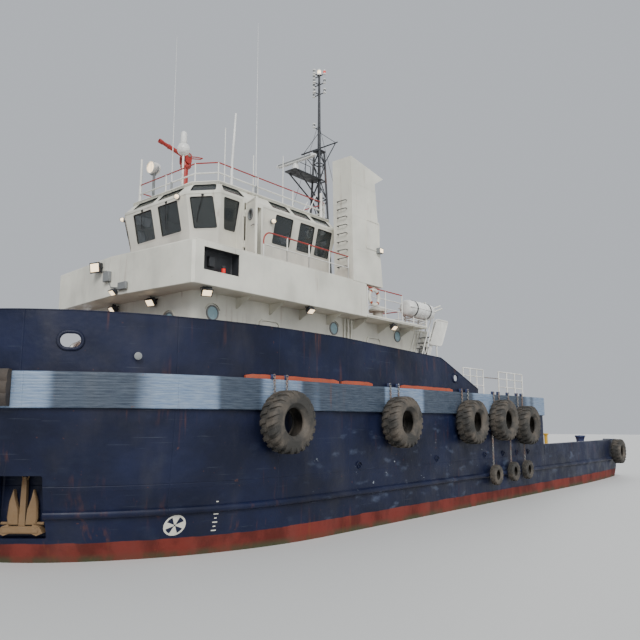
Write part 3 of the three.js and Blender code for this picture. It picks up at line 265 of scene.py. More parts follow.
def hull_paint():
    """Navy topsides with a paler blue-grey belt streaked with painted glancing sheen, and antifouling from
    the boot top down.
    """
    finish = Finish("hull_paint")
    x = finish.axis("X")
    z = finish.axis("Z")
    tone = finish.span(finish.noise(0.55, 6, (1, 1, 1.6)), 0.3, 0.72)
    navy = finish.mix(tone, scaled(NAVY, 0.75), scaled(NAVY, 1.5))
    chalk = finish.times(
        finish.span(finish.noise(1.3, 7, (1, 1, 2.2)), 0.57, 0.74),
        finish.span(x, 13.5, 8, 0.04, 0.4),
        finish.span(z, 3.6, 2.9, 0.25, 1),
    )
    navy = finish.mix(chalk, navy, (0.11, 0.14, 0.21))
    marks = finish.times(
        finish.span(finish.noise(2.6, 8, (1, 1, 1.3), 0.7), 0.66, 0.7),
        finish.span(z, 3.4, 2.4),
        finish.span(z, 0.6, 1.2),
        finish.span(x, 12.5, 9),
    )
    navy = finish.mix(marks, navy, (0.34, 0.38, 0.41))
    scratches = finish.span(finish.noise(1.2, 6, (0.5, 0.5, 26)), 0.67, 0.71, 0, 0.16)
    navy = finish.mix(scratches, navy, (0.2, 0.23, 0.27))
    bands = finish.span(finish.noise(0.36, 2, (1, 1, 0.05)), 0.47, 0.53)
    # The belt's blue-grey is its paint; the pale streaks mixed over it along its grooves are painted glancing
    # sheen.
    wood_grain_and_belt_sheen = finish.span(finish.noise(3, 6, (1, 1, 22)), 0.3, 0.7)
    belt = finish.mix(bands, scaled(BELT_BLUE, 0.3), scaled(BELT_BLUE, 1.35))
    belt = finish.mix(finish.times(wood_grain_and_belt_sheen, finish.span(bands, 0, 1, 0.14, 0.5)), belt, (0.38, 0.44, 0.5))
    on_belt = finish.times(
        finish.span(z, BELT_LOW_Z + 0.005, BELT_LOW_Z + 0.035),
        finish.span(z, FORECASTLE_Z + 0.02, FORECASTLE_Z + 0.001),
    )
    topside = finish.mix(on_belt, navy, belt)
    wet = finish.noise(1.4, 6, (1, 1, 0.5))
    red = finish.mix(finish.span(wet, 0.4, 0.65), ANTIFOULING, scaled(ANTIFOULING, 0.55))
    weed = finish.times(finish.span(z, 0.22, 0.02), finish.span(wet, 0.35, 0.6, 0.3, 0.9))
    red = finish.mix(weed, red, (0.05, 0.06, 0.03))
    edge = finish.math("ADD", z, finish.span(wet, 0, 1, -0.03, 0.03))
    base = finish.mix(finish.span(edge, BOOT_TOP_Z - 0.01, BOOT_TOP_Z + 0.01), red, topside)
    finish.set("Base Color", add_wear(finish, base, 0.15, 0.3, 0.8))
    finish.set("Specular IOR Level", 0.25)
    rough = finish.span(finish.noise(1.1, 6), 0.3, 0.7, 0.36, 0.56)
    finish.set("Roughness", finish.math("ADD", rough, finish.span(z, 0.5, 0.4, 0, 0.35)))
    seams = [
        finish.span(finish.math("PINGPONG", finish.math("ADD", axis, shift), pitch), 0, 0.016)
        for axis, shift, pitch in ((x, 30.3, 1.5), (z, 9.75, 1.15))
    ]
    finish.rise(finish.times(*seams), 0.006)
    finish.rise(finish.noise(1.5, 3), 0.035)
    finish.rise(finish.noise(40, 4), 0.0015)
    return finish.made


def deck_paint():
    finish = Finish("deck_paint", Roughness=0.8)
    tone = finish.span(finish.noise(1.3, 7), 0.35, 0.65)
    base = finish.mix(tone, (0.15, 0.045, 0.03), (0.24, 0.085, 0.055))
    worn = finish.span(finish.noise(0.8, 8), 0.52, 0.62, 0, 0.7)
    base = finish.mix(worn, base, (0.2, 0.17, 0.14))
    finish.set("Base Color", base)
    finish.rise(finish.noise(70, 3), 0.003)
    return finish.made


def plank_wood():
    finish = Finish("deck_wood", Roughness=0.82)
    wood_grain_and_belt_sheen = finish.span(finish.noise(3.5, 7, (0.5, 14, 8)), 0.35, 0.65)
    base = finish.mix(wood_grain_and_belt_sheen, (0.1, 0.066, 0.042), (0.26, 0.19, 0.13))
    boards = finish.span(finish.noise(0.9, 2, (0.1, 5, 1)), 0.35, 0.65)
    base = finish.mix(boards, base, (0.17, 0.15, 0.13))
    stains = finish.span(finish.noise(1.2, 6), 0.55, 0.68, 0, 0.6)
    finish.set("Base Color", finish.mix(stains, base, (0.05, 0.035, 0.025)))
    finish.rise(wood_grain_and_belt_sheen, 0.004)
    return finish.made


def glass():
    finish = Finish("glass", Base_Color=(0.035, 0.045, 0.048), Roughness=0.06, IOR=1.5, Alpha=0.5)
    finish.set("Coat Weight", 0.6)
    dust = finish.span(finish.noise(5, 5), 0.3, 0.8, 0.04, 0.14)
    finish.set("Roughness", dust)
    return finish.made


def lens(name, colour, glow):
    finish = Finish(name, Roughness=0.15)
    facets = finish.span(finish.noise(60, 2), 0.3, 0.7)
    finish.set("Base Color", finish.mix(facets, scaled(colour, 0.9), colour))
    finish.set("Emission Color", (*colour, 1))
    finish.set("Emission Strength", glow)
    return finish.made


HULL = hull_paint()
DECK = deck_paint()
WOOD = plank_wood()
GLASS = glass()
WHITE = painted("white_paint", CREAM, 0.4, 0.22, 0.35)
CREAM_RAIL = painted("rail_white", (0.74, 0.73, 0.67), 0.4, 0.25, 0.6, 2)
RED_RAIL = painted("rail_red", (0.36, 0.03, 0.022), 0.4, 0.25, 0.3, 2)
RED_LEAD = painted("red_lead", (0.36, 0.028, 0.02), 0.38, 0.2, 0.2, 2)
ORANGE = painted("orange_paint", (0.34, 0.06, 0.022), 0.55, 0.4, 0.6, 2)
DARK = painted("dark_paint", (0.028, 0.03, 0.034), 0.5, 0.2, 0.35, 1.5)
NAVY_GEAR = painted("gear_navy", (0.025, 0.04, 0.11), 0.45, 0.3, 0.5, 1.5)
YELLOW = painted("yellow_paint", (0.58, 0.36, 0.03), 0.5, 0.35, 0.6, 1.5)
RED_BOTTOM = painted("red_paint", ANTIFOULING, 0.7, 0.5, 0.2)
GREY = painted("grey_paint", (0.2, 0.21, 0.21), 0.5, 0.3, 0.4, 2)
PLASTIC = painted("white_plastic", (0.76, 0.755, 0.72), 0.3, 0.25, 0.03, 2)
STEEL = bare_steel("worn_steel", (0.33, 0.32, 0.3))
BRONZE = bare_steel("bronze", (0.46, 0.3, 0.12), 0.15, 0.35)
ANCHOR_IRON = painted("anchor_paint", (0.17, 0.105, 0.05), 0.75, 0.6, 0.9, 2.2)
RUBBER = rubbery("rubber", (0.035, 0.028, 0.024), (0.085, 0.066, 0.05))
TYRE = rubbery("tyre", (0.034, 0.032, 0.028))
BLACK = rubbery("black_gasket", (0.012, 0.012, 0.013), (0.06, 0.06, 0.055), 0.3)
LEATHER = rubbery("leather", (0.018, 0.017, 0.016), (0.05, 0.045, 0.04), 0.3, 0.5)
LAMP_GLASS = lens("lamp_glass", (1.0, 0.78, 0.5), 2.2)
PORT_RED = lens("port_red", (0.75, 0.03, 0.02), 0.3)
STARBOARD_GREEN = lens("starboard_green", (0.02, 0.5, 0.14), 0.3)
PORTLIGHT_BLUE = painted("portlight_blind", (0.3, 0.45, 0.5), 0.25, 0.15, 0.05, 2)


# Shapes
def aligned(at, along, up=(0, 0, 1)):
    """The frame at a point whose Z runs along one direction and whose Y leans to another."""
    z = Vector(along).normalized()
    x = Vector(up).cross(z)
    if x.length < 1e-4:
        x = Vector((1, 0, 0)).cross(z)
    if x.length < 1e-4:
        x = Vector((0, 1, 0))
    x.normalize()
    y = z.cross(x)
    turn = Matrix((x, y, z)).transposed().to_4x4()
    return Matrix.Translation(Vector(at)) @ turn


def shifted(x, y, z):
    return Matrix.Translation((x, y, z))


def turned(angle, axis):
    return Matrix.Rotation(angle, 4, axis)


MIRROR = Matrix.Diagonal((1, -1, 1, 1))
# X forward, Y up and Z to port, for outlines that stand along the tug
ON_Y = Matrix(((1, 0, 0, 0), (0, 0, 1, 0), (0, 1, 0, 0), (0, 0, 0, 1)))


def crosswise(x, y, z, way=1):
    """A frame with X to one side, Y up and Z forward, for outlines that stand across the tug."""
    return Matrix(((0, 0, 1, x), (way, 0, 0, y), (0, 1, 0, z), (0, 0, 0, 1)))


def around(count):
    """Angles in equal steps round a full turn."""
    return np.linspace(0, 2 * pi, count, endpoint=False)


def polar(radius, turn):
    return radius * cos(turn), radius * sin(turn)


def hoop(radius, wire, sides=8, height=0.0):
    """A round section to turn about Z into a hoop of wire."""
    return [(radius + wire * cos(t), height + wire * sin(t)) for t in around(sides)]


def face_out(mesh, weld=0.0):
    """Turns a mesh's faces outward, after it has joined points closer than weld."""
    work = bmesh.new()
    work.from_mesh(mesh)
    if weld:
        bmesh.ops.remove_doubles(work, verts=work.verts, dist=weld)
    bmesh.ops.recalc_face_normals(work, faces=work.faces)
    work.to_mesh(mesh)
    work.free()


def smooth_over(piece, degrees):
    """Shades a piece smooth, but leaves edges sharp that turn by more than the angle."""
    piece.data.shade_smooth()
    piece.data.set_sharp_from_angle(angle=radians(degrees))


CARVED_SMOOTH = 32


class Shape:
    """The faces of one piece. Each call adds a closed form, in the given finish's number."""

    def __init__(self):
        self.points = []
        self.faces = []
        self.finish = []
        self.count = 0

    def add(self, points, faces, finish=0, matrix=None):
        points = np.asarray([tuple(p) for p in points], float)
        if matrix is not None:
            m = np.array(matrix)
            points = points @ m[:3, :3].T + m[:3, 3]
        self.points.append(points)
        self.faces += [[i + self.count for i in face] for face in faces]
        self.finish += [finish] * len(faces)
        self.count += len(points)

    def place(self, other, matrix, finish=None):
        """Adds a copy of another shape."""
        before = len(self.finish)
        self.add(np.concatenate(other.points), other.faces, 0, matrix)
        if finish is None:
            self.finish[before:] = other.finish
        else:
            self.finish[before:] = [finish] * len(other.finish)

    def block(self, low, high, bevel=0.01, finish=0, matrix=None):
        """A box with chamfered edges."""
        low, high = np.minimum(low, high), np.maximum(low, high)
        half = (high - low) / 2
        middle = (high + low) / 2
        c = min(bevel, 0.45 * half.min())
        points = []
        index = {}
        signs = [(sx, sy, sz) for sx in (-1, 1) for sy in (-1, 1) for sz in (-1, 1)]
        for s in signs:
            for axis in range(3):
                inset = np.full(3, c)
                inset[axis] = 0
                index[s, axis] = len(points)
                points.append(middle + np.array(s) * (half - inset))
        faces = []
        for axis in range(3):
            a, b = [k for k in range(3) if k != axis]
            for side in (-1, 1):
                loop = []
                for u, v in ((-1, -1), (1, -1), (1, 1), (-1, 1)):
                    s = [0, 0, 0]
                    s[axis], s[a], s[b] = side, u, v
                    loop.append(index[tuple(s), axis])
                faces.append(loop)
            for u, v in ((-1, -1), (1, -1), (1, 1), (-1, 1)):
                ends = []
                for side in (-1, 1):
                    s = [0, 0, 0]
                    s[axis], s[a], s[b] = side, u, v
                    ends.append(tuple(s))
                faces.append([index[ends[0], a], index[ends[1], a], index[ends[1], b], index[ends[0], b]])
        faces += [[index[s, 0], index[s, 1], index[s, 2]] for s in signs]
        self.add(points, faces, finish, matrix)

    def grid(self, rows, finish=0, matrix=None, closed=True, ring=False, caps=True):
        """A skin over rows of points. closed joins each row's ends, ring the last row to the first."""
        count = len(rows[0])
        faces = []
        for r in range(len(rows) if ring else len(rows) - 1):
            base, above = r * count, ((r + 1) % len(rows)) * count
            for i in range(count if closed else count - 1):
                j = (i + 1) % count
                faces.append([base + i, base + j, above + j, above + i])
        if caps and not ring:
            faces.append(list(range(count))[::-1])
            faces.append([(len(rows) - 1) * count + i for i in range(count)])
        self.add([p for row in rows for p in row], faces, finish, matrix)

    def tube(self, path, radius, sides=10, finish=0, closed=False, matrix=None):
        """A round bar along a path, mitred at its corners. radius may be a list."""
        path = [Vector(p) for p in path]
        count = len(path)
        radii = radius if isinstance(radius, (list, tuple)) else [radius] * count
        rows = []
        up = None
        for i, point in enumerate(path):
            into = path[(i + 1) % count] - point if i == 0 and not closed else point - path[i - 1]
            onward = into if i == count - 1 and not closed else path[(i + 1) % count] - point
            into, onward = into.normalized(), onward.normalized()
            plane = (into + onward).normalized()
            up = into.orthogonal() if up is None else up - into * up.dot(into)
            up.normalize()
            side = into.cross(up)
            slide = max(0.3, into.dot(plane))
            row = []
            for k in range(sides):
                turn = 2 * pi * k / sides
                out = (up * cos(turn) + side * sin(turn)) * radii[i]
                row.append(point + out - into * (out.dot(plane) / slide))
            rows.append(row)
        self.grid(rows, finish, matrix, ring=closed)

    def rod(self, start, end, radius, sides=12, finish=0, end_radius=None, matrix=None):
        radii = [radius, radius if end_radius is None else end_radius]
        self.tube([start, end], radii, sides, finish, matrix=matrix)

    def lathe(self, profile, matrix, segments=32, finish=0, ring=False):
        """A profile of (radius, height) turned about the matrix's Z. ring closes it on itself."""
        rows = []
        for radius, height in profile:
            r = max(radius, 1e-4)
            rows.append([(*polar(r, 2 * pi * k / segments), height) for k in range(segments)])
        self.grid(rows, finish, matrix, ring=ring)

    def prism(self, outline, low, high, finish=0, matrix=None):
        """An outline of (x, y) points, raised from low to high."""
        rows = [[(x, y, z) for x, y in outline] for z in (low, high)]
        self.grid(rows, finish, matrix)

    def made(self, name, finishes=()):
        """The shape as an object, its faces turned outward."""
        mesh = bpy.data.meshes.new(name)
        mesh.from_pydata(np.concatenate(self.points).tolist(), [], self.faces)
        for finish in finishes:
            mesh.materials.append(finish)
        mesh.polygons.foreach_set("material_index", self.finish)
        face_out(mesh)
        return add_object(name, mesh)

    def build(self, name, finishes, slot, body=TUG, replaces=(), smooth=38):
        """The shape as a piece that rides on a body, in place of the nodes that it replaces."""
        piece = self.made(name, finishes)
        smooth_over(piece, smooth)
        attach(piece, body)
        if replaces:
            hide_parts(*replaces)
        return piece


def mirrored(shape, sign=-1):
    """A copy of a shape: the shape itself on the port side, its mirror image on the other."""
    copy = Shape()
    copy.place(shape, Matrix() if sign > 0 else MIRROR)
    return copy


def place_twice(shape, other, matrix, finish=None):
    """Adds a copy of another shape on the port side and its mirror image to starboard."""
    shape.place(other, matrix, finish)
    shape.place(other, MIRROR @ matrix, finish)


def carve(piece, cutters, operation="DIFFERENCE"):
    """Cuts shapes out of a piece, or joins them to it."""
    tools = []
    for shape in cutters:
        tool = shape.made("cutter")
        modifier = piece.modifiers.new("cut", "BOOLEAN")
        modifier.operation = operation
        modifier.solver = "EXACT"
        modifier.object = tool
        tools.append(tool)
    seen = piece.evaluated_get(bpy.context.evaluated_depsgraph_get())
    old = piece.data
    piece.data = bpy.data.meshes.new_from_object(seen)
    piece.data.name = piece.name
    piece.modifiers.clear()
    bpy.data.meshes.remove(old)
    for tool in tools:
        bpy.data.meshes.remove(tool.data)


# Hull surfaces. Each level gives a waterline: z, sternX, sternHalf, runX, half, entryX, stemX,
# fullness and corner, as the frame's own solids have them
LOWER = np.array(
    [
        [-3.6, -7.6, 0.7, 1.5, 3.3, 1.8, 14.9, 1.0, 0.3],
        [-3.42, -8.3, 1.25, 1.0, 3.9, 2.6, 15.4, 0.95, 0.4],
        [-2.95, -9.3, 1.8, 0, 4.4, 4.2, 15.95, 0.88, 0.5],
        [-2.2, -10.8, 2.5, -2.0, 4.64, 6.2, 16.6, 0.8, 0.6],
        [-1.45, -12.3, 3.2, -4.0, HALF_BEAM, 7.6, 17.1, 0.74, 0.7],
        [-1.0, -13.5, 3.7, -6.0, HALF_BEAM, 8.4, 17.35, 0.7, 0.8],
        [-0.76, -17.2, 4.05, -7.5, HALF_BEAM, 8.9, 17.48, 0.68, 0.9],
        [-0.3, -18.35, 4.25, -9.0, HALF_BEAM, 9.5, 17.7, 0.64, 0.9],
        [0.45, -18.6, 4.35, -9.5, HALF_BEAM, 10.2, 17.95, 0.58, 0.9],
        [1.0, STERN_X, 4.4, -9.5, HALF_BEAM, 10.6, 18.1, 0.54, 0.9],
        [1.2, STERN_X, 4.4, -9.5, HALF_BEAM, 10.7, 18.15, 0.53, 0.9],
        [1.65, STERN_X, 4.4, -9.5, HALF_BEAM, 10.9, 18.28, 0.52, 0.9],
    ]
)
HIGH_SIDE_AFT_X = -6.2
UPPER = np.array(
    [
        [1.65, HIGH_SIDE_AFT_X, HALF_BEAM, -5, HALF_BEAM, 10.9, 18.28, 0.52, 0.03],
        [3.49, HIGH_SIDE_AFT_X, HALF_BEAM, -5, HALF_BEAM, 11, STEM_X, 0.5, 0.03],
        [4.33, HIGH_SIDE_AFT_X, HALF_BEAM, -5, HALF_BEAM, 11, STEM_X, 0.5, 0.03],
    ]
)
FRAME_PITCH = 0.6
STRAKE_PITCH = 0.75
DISH = 0.007
BOW_COLUMNS = 64
CORNER_COLUMNS = 8


def level_at(table, z):
    return [np.interp(z, table[:, 0], table[:, k]) for k in range(1, 9)]


def half_ring(table, z, out=0.0, run_columns=160):
    """The port half of a waterline as (x, y) points, from the stem to the middle of the stern."""
    stern, stern_half, run, half, entry, stem, fullness, corner = level_at(table, z)
    half, stern_half, stem, stern = half + out, stern_half + out, stem + out, stern - out
    corner = max(0.01, corner + out)
    bow = [
        (entry + (stem - entry) * sin(t), half * max(0, cos(t)) ** (2 * fullness))
        for t in np.linspace(pi / 2, 0, BOW_COLUMNS + 1)
    ]
    bow[0] = (stem, 0.0)
    middle = np.linspace(entry, run, max(2, int(run_columns * 0.7)))[1:-1] if entry > run else []
    side = [(x, half) for x in middle]
    for u in np.linspace(0, 1, run_columns + 1):
        side.append((run + (stern + corner - run) * u, half - (half - stern_half) * u * u))
    quarter = []
    for k in range(1, CORNER_COLUMNS + 1):
        t = pi / 2 * k / CORNER_COLUMNS
        quarter.append((stern + corner - corner * sin(t), stern_half - corner + corner * cos(t)))
    return bow + side + quarter + [(stern, 0.0)]


def full_ring(table, z, out=0.0, dish=0.0, run_columns=160):
    """A whole waterline of points. dish sinks the plating between the frames."""
    port = half_ring(table, z, out, run_columns)
    if dish:
        inner = half_ring(table, z, out - 1, run_columns)
        sunk = []
        for (x, y), (u, v) in zip(port, inner):
            fall = dish * sin(pi * x / FRAME_PITCH) ** 2
            sunk.append((x + (u - x) * fall, y + (v - y) * fall if y else 0.0))
        port = sunk
    ends = port[1:-1][::-1]
    return [Vector((x, y, z)) for x, y in port] + [Vector((x, -y, z)) for x, y in ends]


def heights(low, high, step, extra=()):
    count = max(1, round((high - low) / step))
    return sorted(set(np.round(np.linspace(low, high, count + 1), 4)) | set(extra))


TUNNEL = dict(x=14.4, z=-2.0, radius=0.52)
ANCHOR_AT = Vector((17.39, 2.04, 1.29))
ANCHOR_TURN = 0.68
ANCHOR_DEPTH = 0.45
ROLLER = Vector((-18.28, 0, 1.38))
RUB_LOW = 1.0
RUB_HIGH = 1.2
RUB_OUT = 0.11


def anchor_frame(sign):
    """The frame of an anchor pocket: X out of the shell, Z up."""
    turn = turned(ANCHOR_TURN * sign, "Z")
    return shifted(ANCHOR_AT.x, ANCHOR_AT.y * sign, ANCHOR_AT.z) @ turn


def dish_at(z):
    """How deep the plating sinks between its frames at a height."""
    return DISH * sin(pi * (z - KEEL_Z) / STRAKE_PITCH) ** 2


def pocket_cutter(sign):
    cutter = Shape()
    cutter.block((-ANCHOR_DEPTH, -0.575, -0.71), (ANCHOR_DEPTH, 0.575, 0.71), 0.03, matrix=anchor_frame(sign))
    return cutter


def make_hull():
    rub = [round(RUB_LOW + (RUB_HIGH - RUB_LOW) * k / 8, 4) for k in range(9)]
    levels = heights(KEEL_Z, -1.0, 0.2, (-3.42, -2.95, -1.45))
    levels += heights(-0.76, RUB_LOW, 0.11, (-0.3, BOOT_TOP_Z))
    levels = sorted(set(levels) | set(rub) | set(heights(RUB_HIGH, MAIN_DECK_Z, 0.11)))
    rows = []
    for z in levels:
        across = (z - (RUB_LOW + RUB_HIGH) / 2) / ((RUB_HIGH - RUB_LOW) / 2)
        out = RUB_OUT * sqrt(max(0, 1 - across * across))
        dish = dish_at(z) if z > -2 and not out else 0
        rows.append(full_ring(LOWER, z, out, dish))
    shape = Shape()
    shape.grid(rows)
    hull = shape.build("hull_shell", [HULL, DECK], "hull_paint", replaces=("hull",))
    tunnel = Shape()
    tunnel.rod((TUNNEL["x"], -6, TUNNEL["z"]), (TUNNEL["x"], 6, TUNNEL["z"]), TUNNEL["radius"], 48)
    bay = Shape()
    bay.block((STERN_X - 0.5, -1.7, ROLLER.z - 0.44), (ROLLER.x + 0.44, 1.7, 2.0), 0.03)
    carve(hull, [tunnel, pocket_cutter(1), pocket_cutter(-1), bay])
    for face in hull.data.polygons:
        face.material_index = 1 if face.normal.z > 0.9 and face.center.z > MAIN_DECK_Z - 0.05 else 0
    smooth_over(hull, CARVED_SMOOTH)


BAY_FRONT_X = 0.8
BAY_HALF = 4.35
LOBBY_LOW = (0.9, -0.4, 1.78)
LOBBY_HIGH = (3.3, 2.6, 4.05)
DOORWAY_Y = (1.134, 1.903)
DOORWAY_Z = (1.894, 3.786)
GROOVE_PITCH = 0.07
GROOVE = 0.006


def make_forecastle():
    levels = heights(1.6503, BELT_LOW_Z, 0.12)
    rows = [full_ring(UPPER, z, 0, dish_at(z)) for z in levels]
    for z in heights(BELT_LOW_Z + 0.03, FORECASTLE_Z, GROOVE_PITCH / 4):
        groove = GROOVE * sin(pi * (z - BELT_LOW_Z) / GROOVE_PITCH) ** 8
        rows.append(full_ring(UPPER, z, BELT_OUT - (groove if z < FORECASTLE_Z - 0.02 else 0.012)))
    shape = Shape()
    shape.grid(rows)
    hull = shape.build("forecastle_shell", [HULL, DECK, WHITE], "hull_paint", replaces=("forecastle_hull",))
    bay = Shape()
    bay.block((HIGH_SIDE_AFT_X - 0.5, -BAY_HALF, 1.0), (BAY_FRONT_X, BAY_HALF, 6.0), 0.001)
    lobby = Shape()
    lobby.block(LOBBY_LOW, LOBBY_HIGH, 0.02)
    door = Shape()
    door.block((BAY_FRONT_X - 0.01, DOORWAY_Y[0], DOORWAY_Z[0]), (0.95, DOORWAY_Y[1], DOORWAY_Z[1]), 0.04)
    carve(hull, [bay, lobby, door, pocket_cutter(1), pocket_cutter(-1)])
    for face in hull.data.polygons:
        inside = abs(face.center.y) < BAY_HALF + 0.01 and face.center.x < 3.4 and 1.66 < face.center.z < 4.3
        face.material_index = 1 if face.normal.z > 0.9 and face.center.z > 4.3 else 2 if inside else 0
    smooth_over(hull, CARVED_SMOOTH)


def bulwark_top(x):
    """How high the forecastle bulwark stands at x: it slopes down at its aft end."""
    return float(np.interp(x, (0, 0.1, 3.1, 9.0),
                           (FORECASTLE_Z + 0.12, FORECASTLE_Z + 0.12, 5.56, BULWARK_TOP_Z)))


PLATE = 0.014
CAP_WIDTH = 0.1
CHOCKS = ((16.86, 5.05, 0.27, 0.2), (2.01, 4.86, 0.2, 0.15))


def outward(path, i):
    """The outward normal of a plan path that runs from the stem aft along the port side."""
    before, after = path[max(0, i - 1)], path[min(len(path) - 1, i + 1)]
    along = Vector((after[0] - before[0], after[1] - before[1], 0)).normalized()
    return Vector((along.y, -along.x, 0))


def side_path():
    """The forecastle's plan along the port side, from the stem to the end of the bulwark."""
    return [p for p in half_ring(UPPER, FORECASTLE_Z, 0, 90) if p[0] > 0]


def spot_on_side(x, out=0.0):
    """The point of the forecastle's side at x, and its outward normal."""
    path = side_path()
    i = min(range(len(path)), key=lambda k: abs(path[k][0] - x))
    normal = outward(path, i)
    return Vector((*path[i], 0)) + normal * out, normal


def round_the_stem(rows):
    """Rows of points from the stem aft along the port side, with their mirror images before them."""
    return [[(x, -y, z) for x, y, z in row] for row in rows[1:]][::-1] + rows


def make_bulwark():
    path = side_path()
    plates = Shape()
    rows = []
    foot = FORECASTLE_Z + SEAT
    for i, (x, y) in enumerate(path):
        outer = Vector((x, y, 0))
        inner = outer - outward(path, i) * PLATE
        if i == 0:
            inner = Vector((x - PLATE, 0, 0))
            outer.y = 0
        top = bulwark_top(x)
        rows.append([(*outer.xy, foot), (*outer.xy, top), (*inner.xy, top), (*inner.xy, foot)])
    plates.grid(round_the_stem(rows))
    plate = plates.build("bulwark_plate", [HULL], "hull_paint", replaces=("forecastle_bulwark",))
    holes = []
    for x, z, half_long, half_high in CHOCKS:
        at, normal = spot_on_side(x)
        hole = Shape()
        hole.prism(oval(half_long, half_high), -0.4, 0.4, matrix=aligned((at.x, at.y, z), normal))
        holes += [hole, mirrored(hole)]
    carve(plate, holes)
    smooth_over(plate, CARVED_SMOOTH)

    trim = Shape()
    cap = []
    for i, (x, y) in enumerate(path):
        normal = outward(path, i)
        top = bulwark_top(x)
        a = Vector((x, y, top)) + normal * 0.012
        b = a - normal * CAP_WIDTH
        if i == 0:
            a, b = Vector((x + 0.012, 0, top)), Vector((x - CAP_WIDTH, 0, top))
        lift = Vector((0, 0, 0.022))
        cap.append([p - Vector((0, 0, 0.01)) for p in (a, a + lift, b + lift, b)])
    trim.grid(round_the_stem(cap))
    first, last, count = 3.0, 17.6, 12
    for k in range(count):
        x = first + (last - first) * k / (count - 1)
        at, normal = spot_on_side(x)
        high = bulwark_top(x) - FORECASTLE_Z - 0.03
        stay = Shape()
        stay.prism([(-0.02, 0), (-0.42, 0), (-0.36, 0.06), (-0.1, high), (-0.02, high)], -0.006, 0.006)
        turn = Matrix((normal, (0, 0, 1), normal.cross(Vector((0, 0, 1))))).transposed().to_4x4()
        place_twice(trim, stay, shifted(at.x, at.y, FORECASTLE_Z) @ turn, 1)
    for x, z, half_long, half_high in CHOCKS:
        at, normal = spot_on_side(x)
        rim = Shape()
        rim.tube([(*p, 0.0) for p in oval(half_long, half_high)], 0.045, 10, closed=True)
        place_twice(trim, rim, aligned((at.x, at.y, z), normal), 0)
    staff_x = STEM_X - 0.06
    trim.rod((staff_x, 0, 5.4), (staff_x, 0, 7.97), 0.045, 10, 1, 0.025)
    trim.lathe([(0.0, 0), (0.05, 0.01), (0.05, 0.04), (0, 0.05)], shifted(staff_x, 0, 7.94), 12, 1)
    trim.build("bulwark_trim", [HULL, WHITE], "hull_paint")


def oval(half_long, half_high, steps=8):
    """A rounded oval outline: two straight runs and two round ends."""
    flat = half_long - half_high
    points = []
    for end, start in ((flat, -pi / 2), (-flat, pi / 2)):
        for k in range(2 * steps + 1):
            turn = start + pi * k / (2 * steps)
            points.append((end + half_high * cos(turn), half_high * sin(turn)))
    return points


# Fenders
RAIL_Z = FORECASTLE_Z + 0.11
LARGE = (0.83, 0.37, 0.65)
SMALL = (0.4, 0.19, 0.26)
QUARTER = (0.7, 0.32, 0.52)
# The height of a tread's bars as a share of the tyre's radius
LUG_SHARE = 0.055
# Columns: x and z of the centre, size, top of its chains
TYRES = (
    (11.8, 3.2, LARGE, RAIL_Z),
    (6.4, 3.2, LARGE, RAIL_Z),
    (1.6, 3.2, LARGE, RAIL_Z),
    (-1.1, 3.28, LARGE, RAIL_Z),
    (-3.4, 3.07, LARGE, RAIL_Z),
    (-0.6, 1.1, SMALL, 2.85),
    (-2.24, 1.15, SMALL, RAIL_Z),
    (-3.65, 1.15, SMALL, 2.52),
)
ORANGE_RUNS = ((12.9, 9.25), (9.1, 7.55), (5.95, 2.45))


def tyre_profile(radius, hole, half):
    """Half a tyre's section as (radius, offset) points: crown, shoulder, sidewall, bead and inside."""
    deep = radius - hole
    lug = LUG_SHARE * radius
    outside = [
        (radius - lug, 0),
        (radius - lug, 0.55 * half),
        (radius - 1.3 * lug, 0.74 * half),
        (radius - 2.1 * lug, 0.86 * half),
        (hole + 0.64 * deep, 0.94 * half),
        (hole + 0.5 * deep, 0.98 * half),
        (hole + 0.34 * deep, 0.965 * half),
        (hole + 0.31 * deep, 0.985 * half),
        (hole + 0.25 * deep, 0.965 * half),
        (hole + 0.22 * deep, 0.9 * half),
        (hole + 0.1 * deep, 0.78 * half),
        (hole + 0.03 * deep, 0.7 * half),
        (hole, 0.62 * half),
    ]
    inside = [
        (hole, 0.5 * half),
        (hole + 0.07 * deep, 0.52 * half),
        (hole + 0.2 * deep, 0.7 * half),
        (hole + 0.45 * deep, 0.82 * half),
        (hole + 0.68 * deep, 0.74 * half),
        (radius - 2.6 * lug, 0.5 * half),
        (radius - 2.5 * lug, 0),
    ]
    return outside, inside


def make_tyre(radius, hole, width, lugs):
    """A worn tractor tyre about the Y axis, with bars of tread over each shoulder."""
    shape = Shape()
    outside, inside = tyre_profile(radius, hole, width / 2)
    half = outside + inside
    other = [(r, -y) for r, y in half[1:-1]][::-1]
    on_y = turned(-pi / 2, "X")
    shape.lathe(half + other, on_y, 64 if radius > 0.5 else 40, ring=True)
    tread = [(outside[0][0], 0.05 * width)] + outside[1:5]
    lift = [1, 1, 0.95, 0.7, 0.1]
    deep = LUG_SHARE * radius
    pitch = 2 * pi / lugs
    for k in range(lugs):
        for side in (1, -1):
            rows = []
            for j, (r, y) in enumerate(tread):
                before, after = tread[max(0, j - 1)], tread[min(len(tread) - 1, j + 1)]
                normal = Vector((after[1] - before[1], before[0] - after[0])).normalized()
                middle = pitch * (k + (0.5 if side > 0 else 0)) + pitch * 0.16 * j * side
                row = []
                for share, rise in ((-1, -0.3), (-0.82, lift[j]), (0.82, lift[j]), (1, -0.3)):
                    turn = middle + share * pitch * (0.31 if k % 2 else 0.27)
                    out = r + normal.x * deep * rise
                    row.append((out * cos(turn), side * (y + normal.y * deep * rise), out * sin(turn)))
                rows.append(row)
            shape.grid(rows)
    return shape


def chain_link(length):
    """One link, its length along Z and its flat in the XZ plane."""
    link = Shape()
    wire = 0.095 * length
    half = 0.5 * length - wire
    side = 0.22 * length
    path = []
    for k in range(10):
        turn = 2 * pi * (k + 0.5) / 10
        push = half - side if sin(turn) > 0 else side - half
        path.append((side * cos(turn), 0, side * sin(turn) + push))
    link.tube(path, wire, 6, closed=True)
    return link


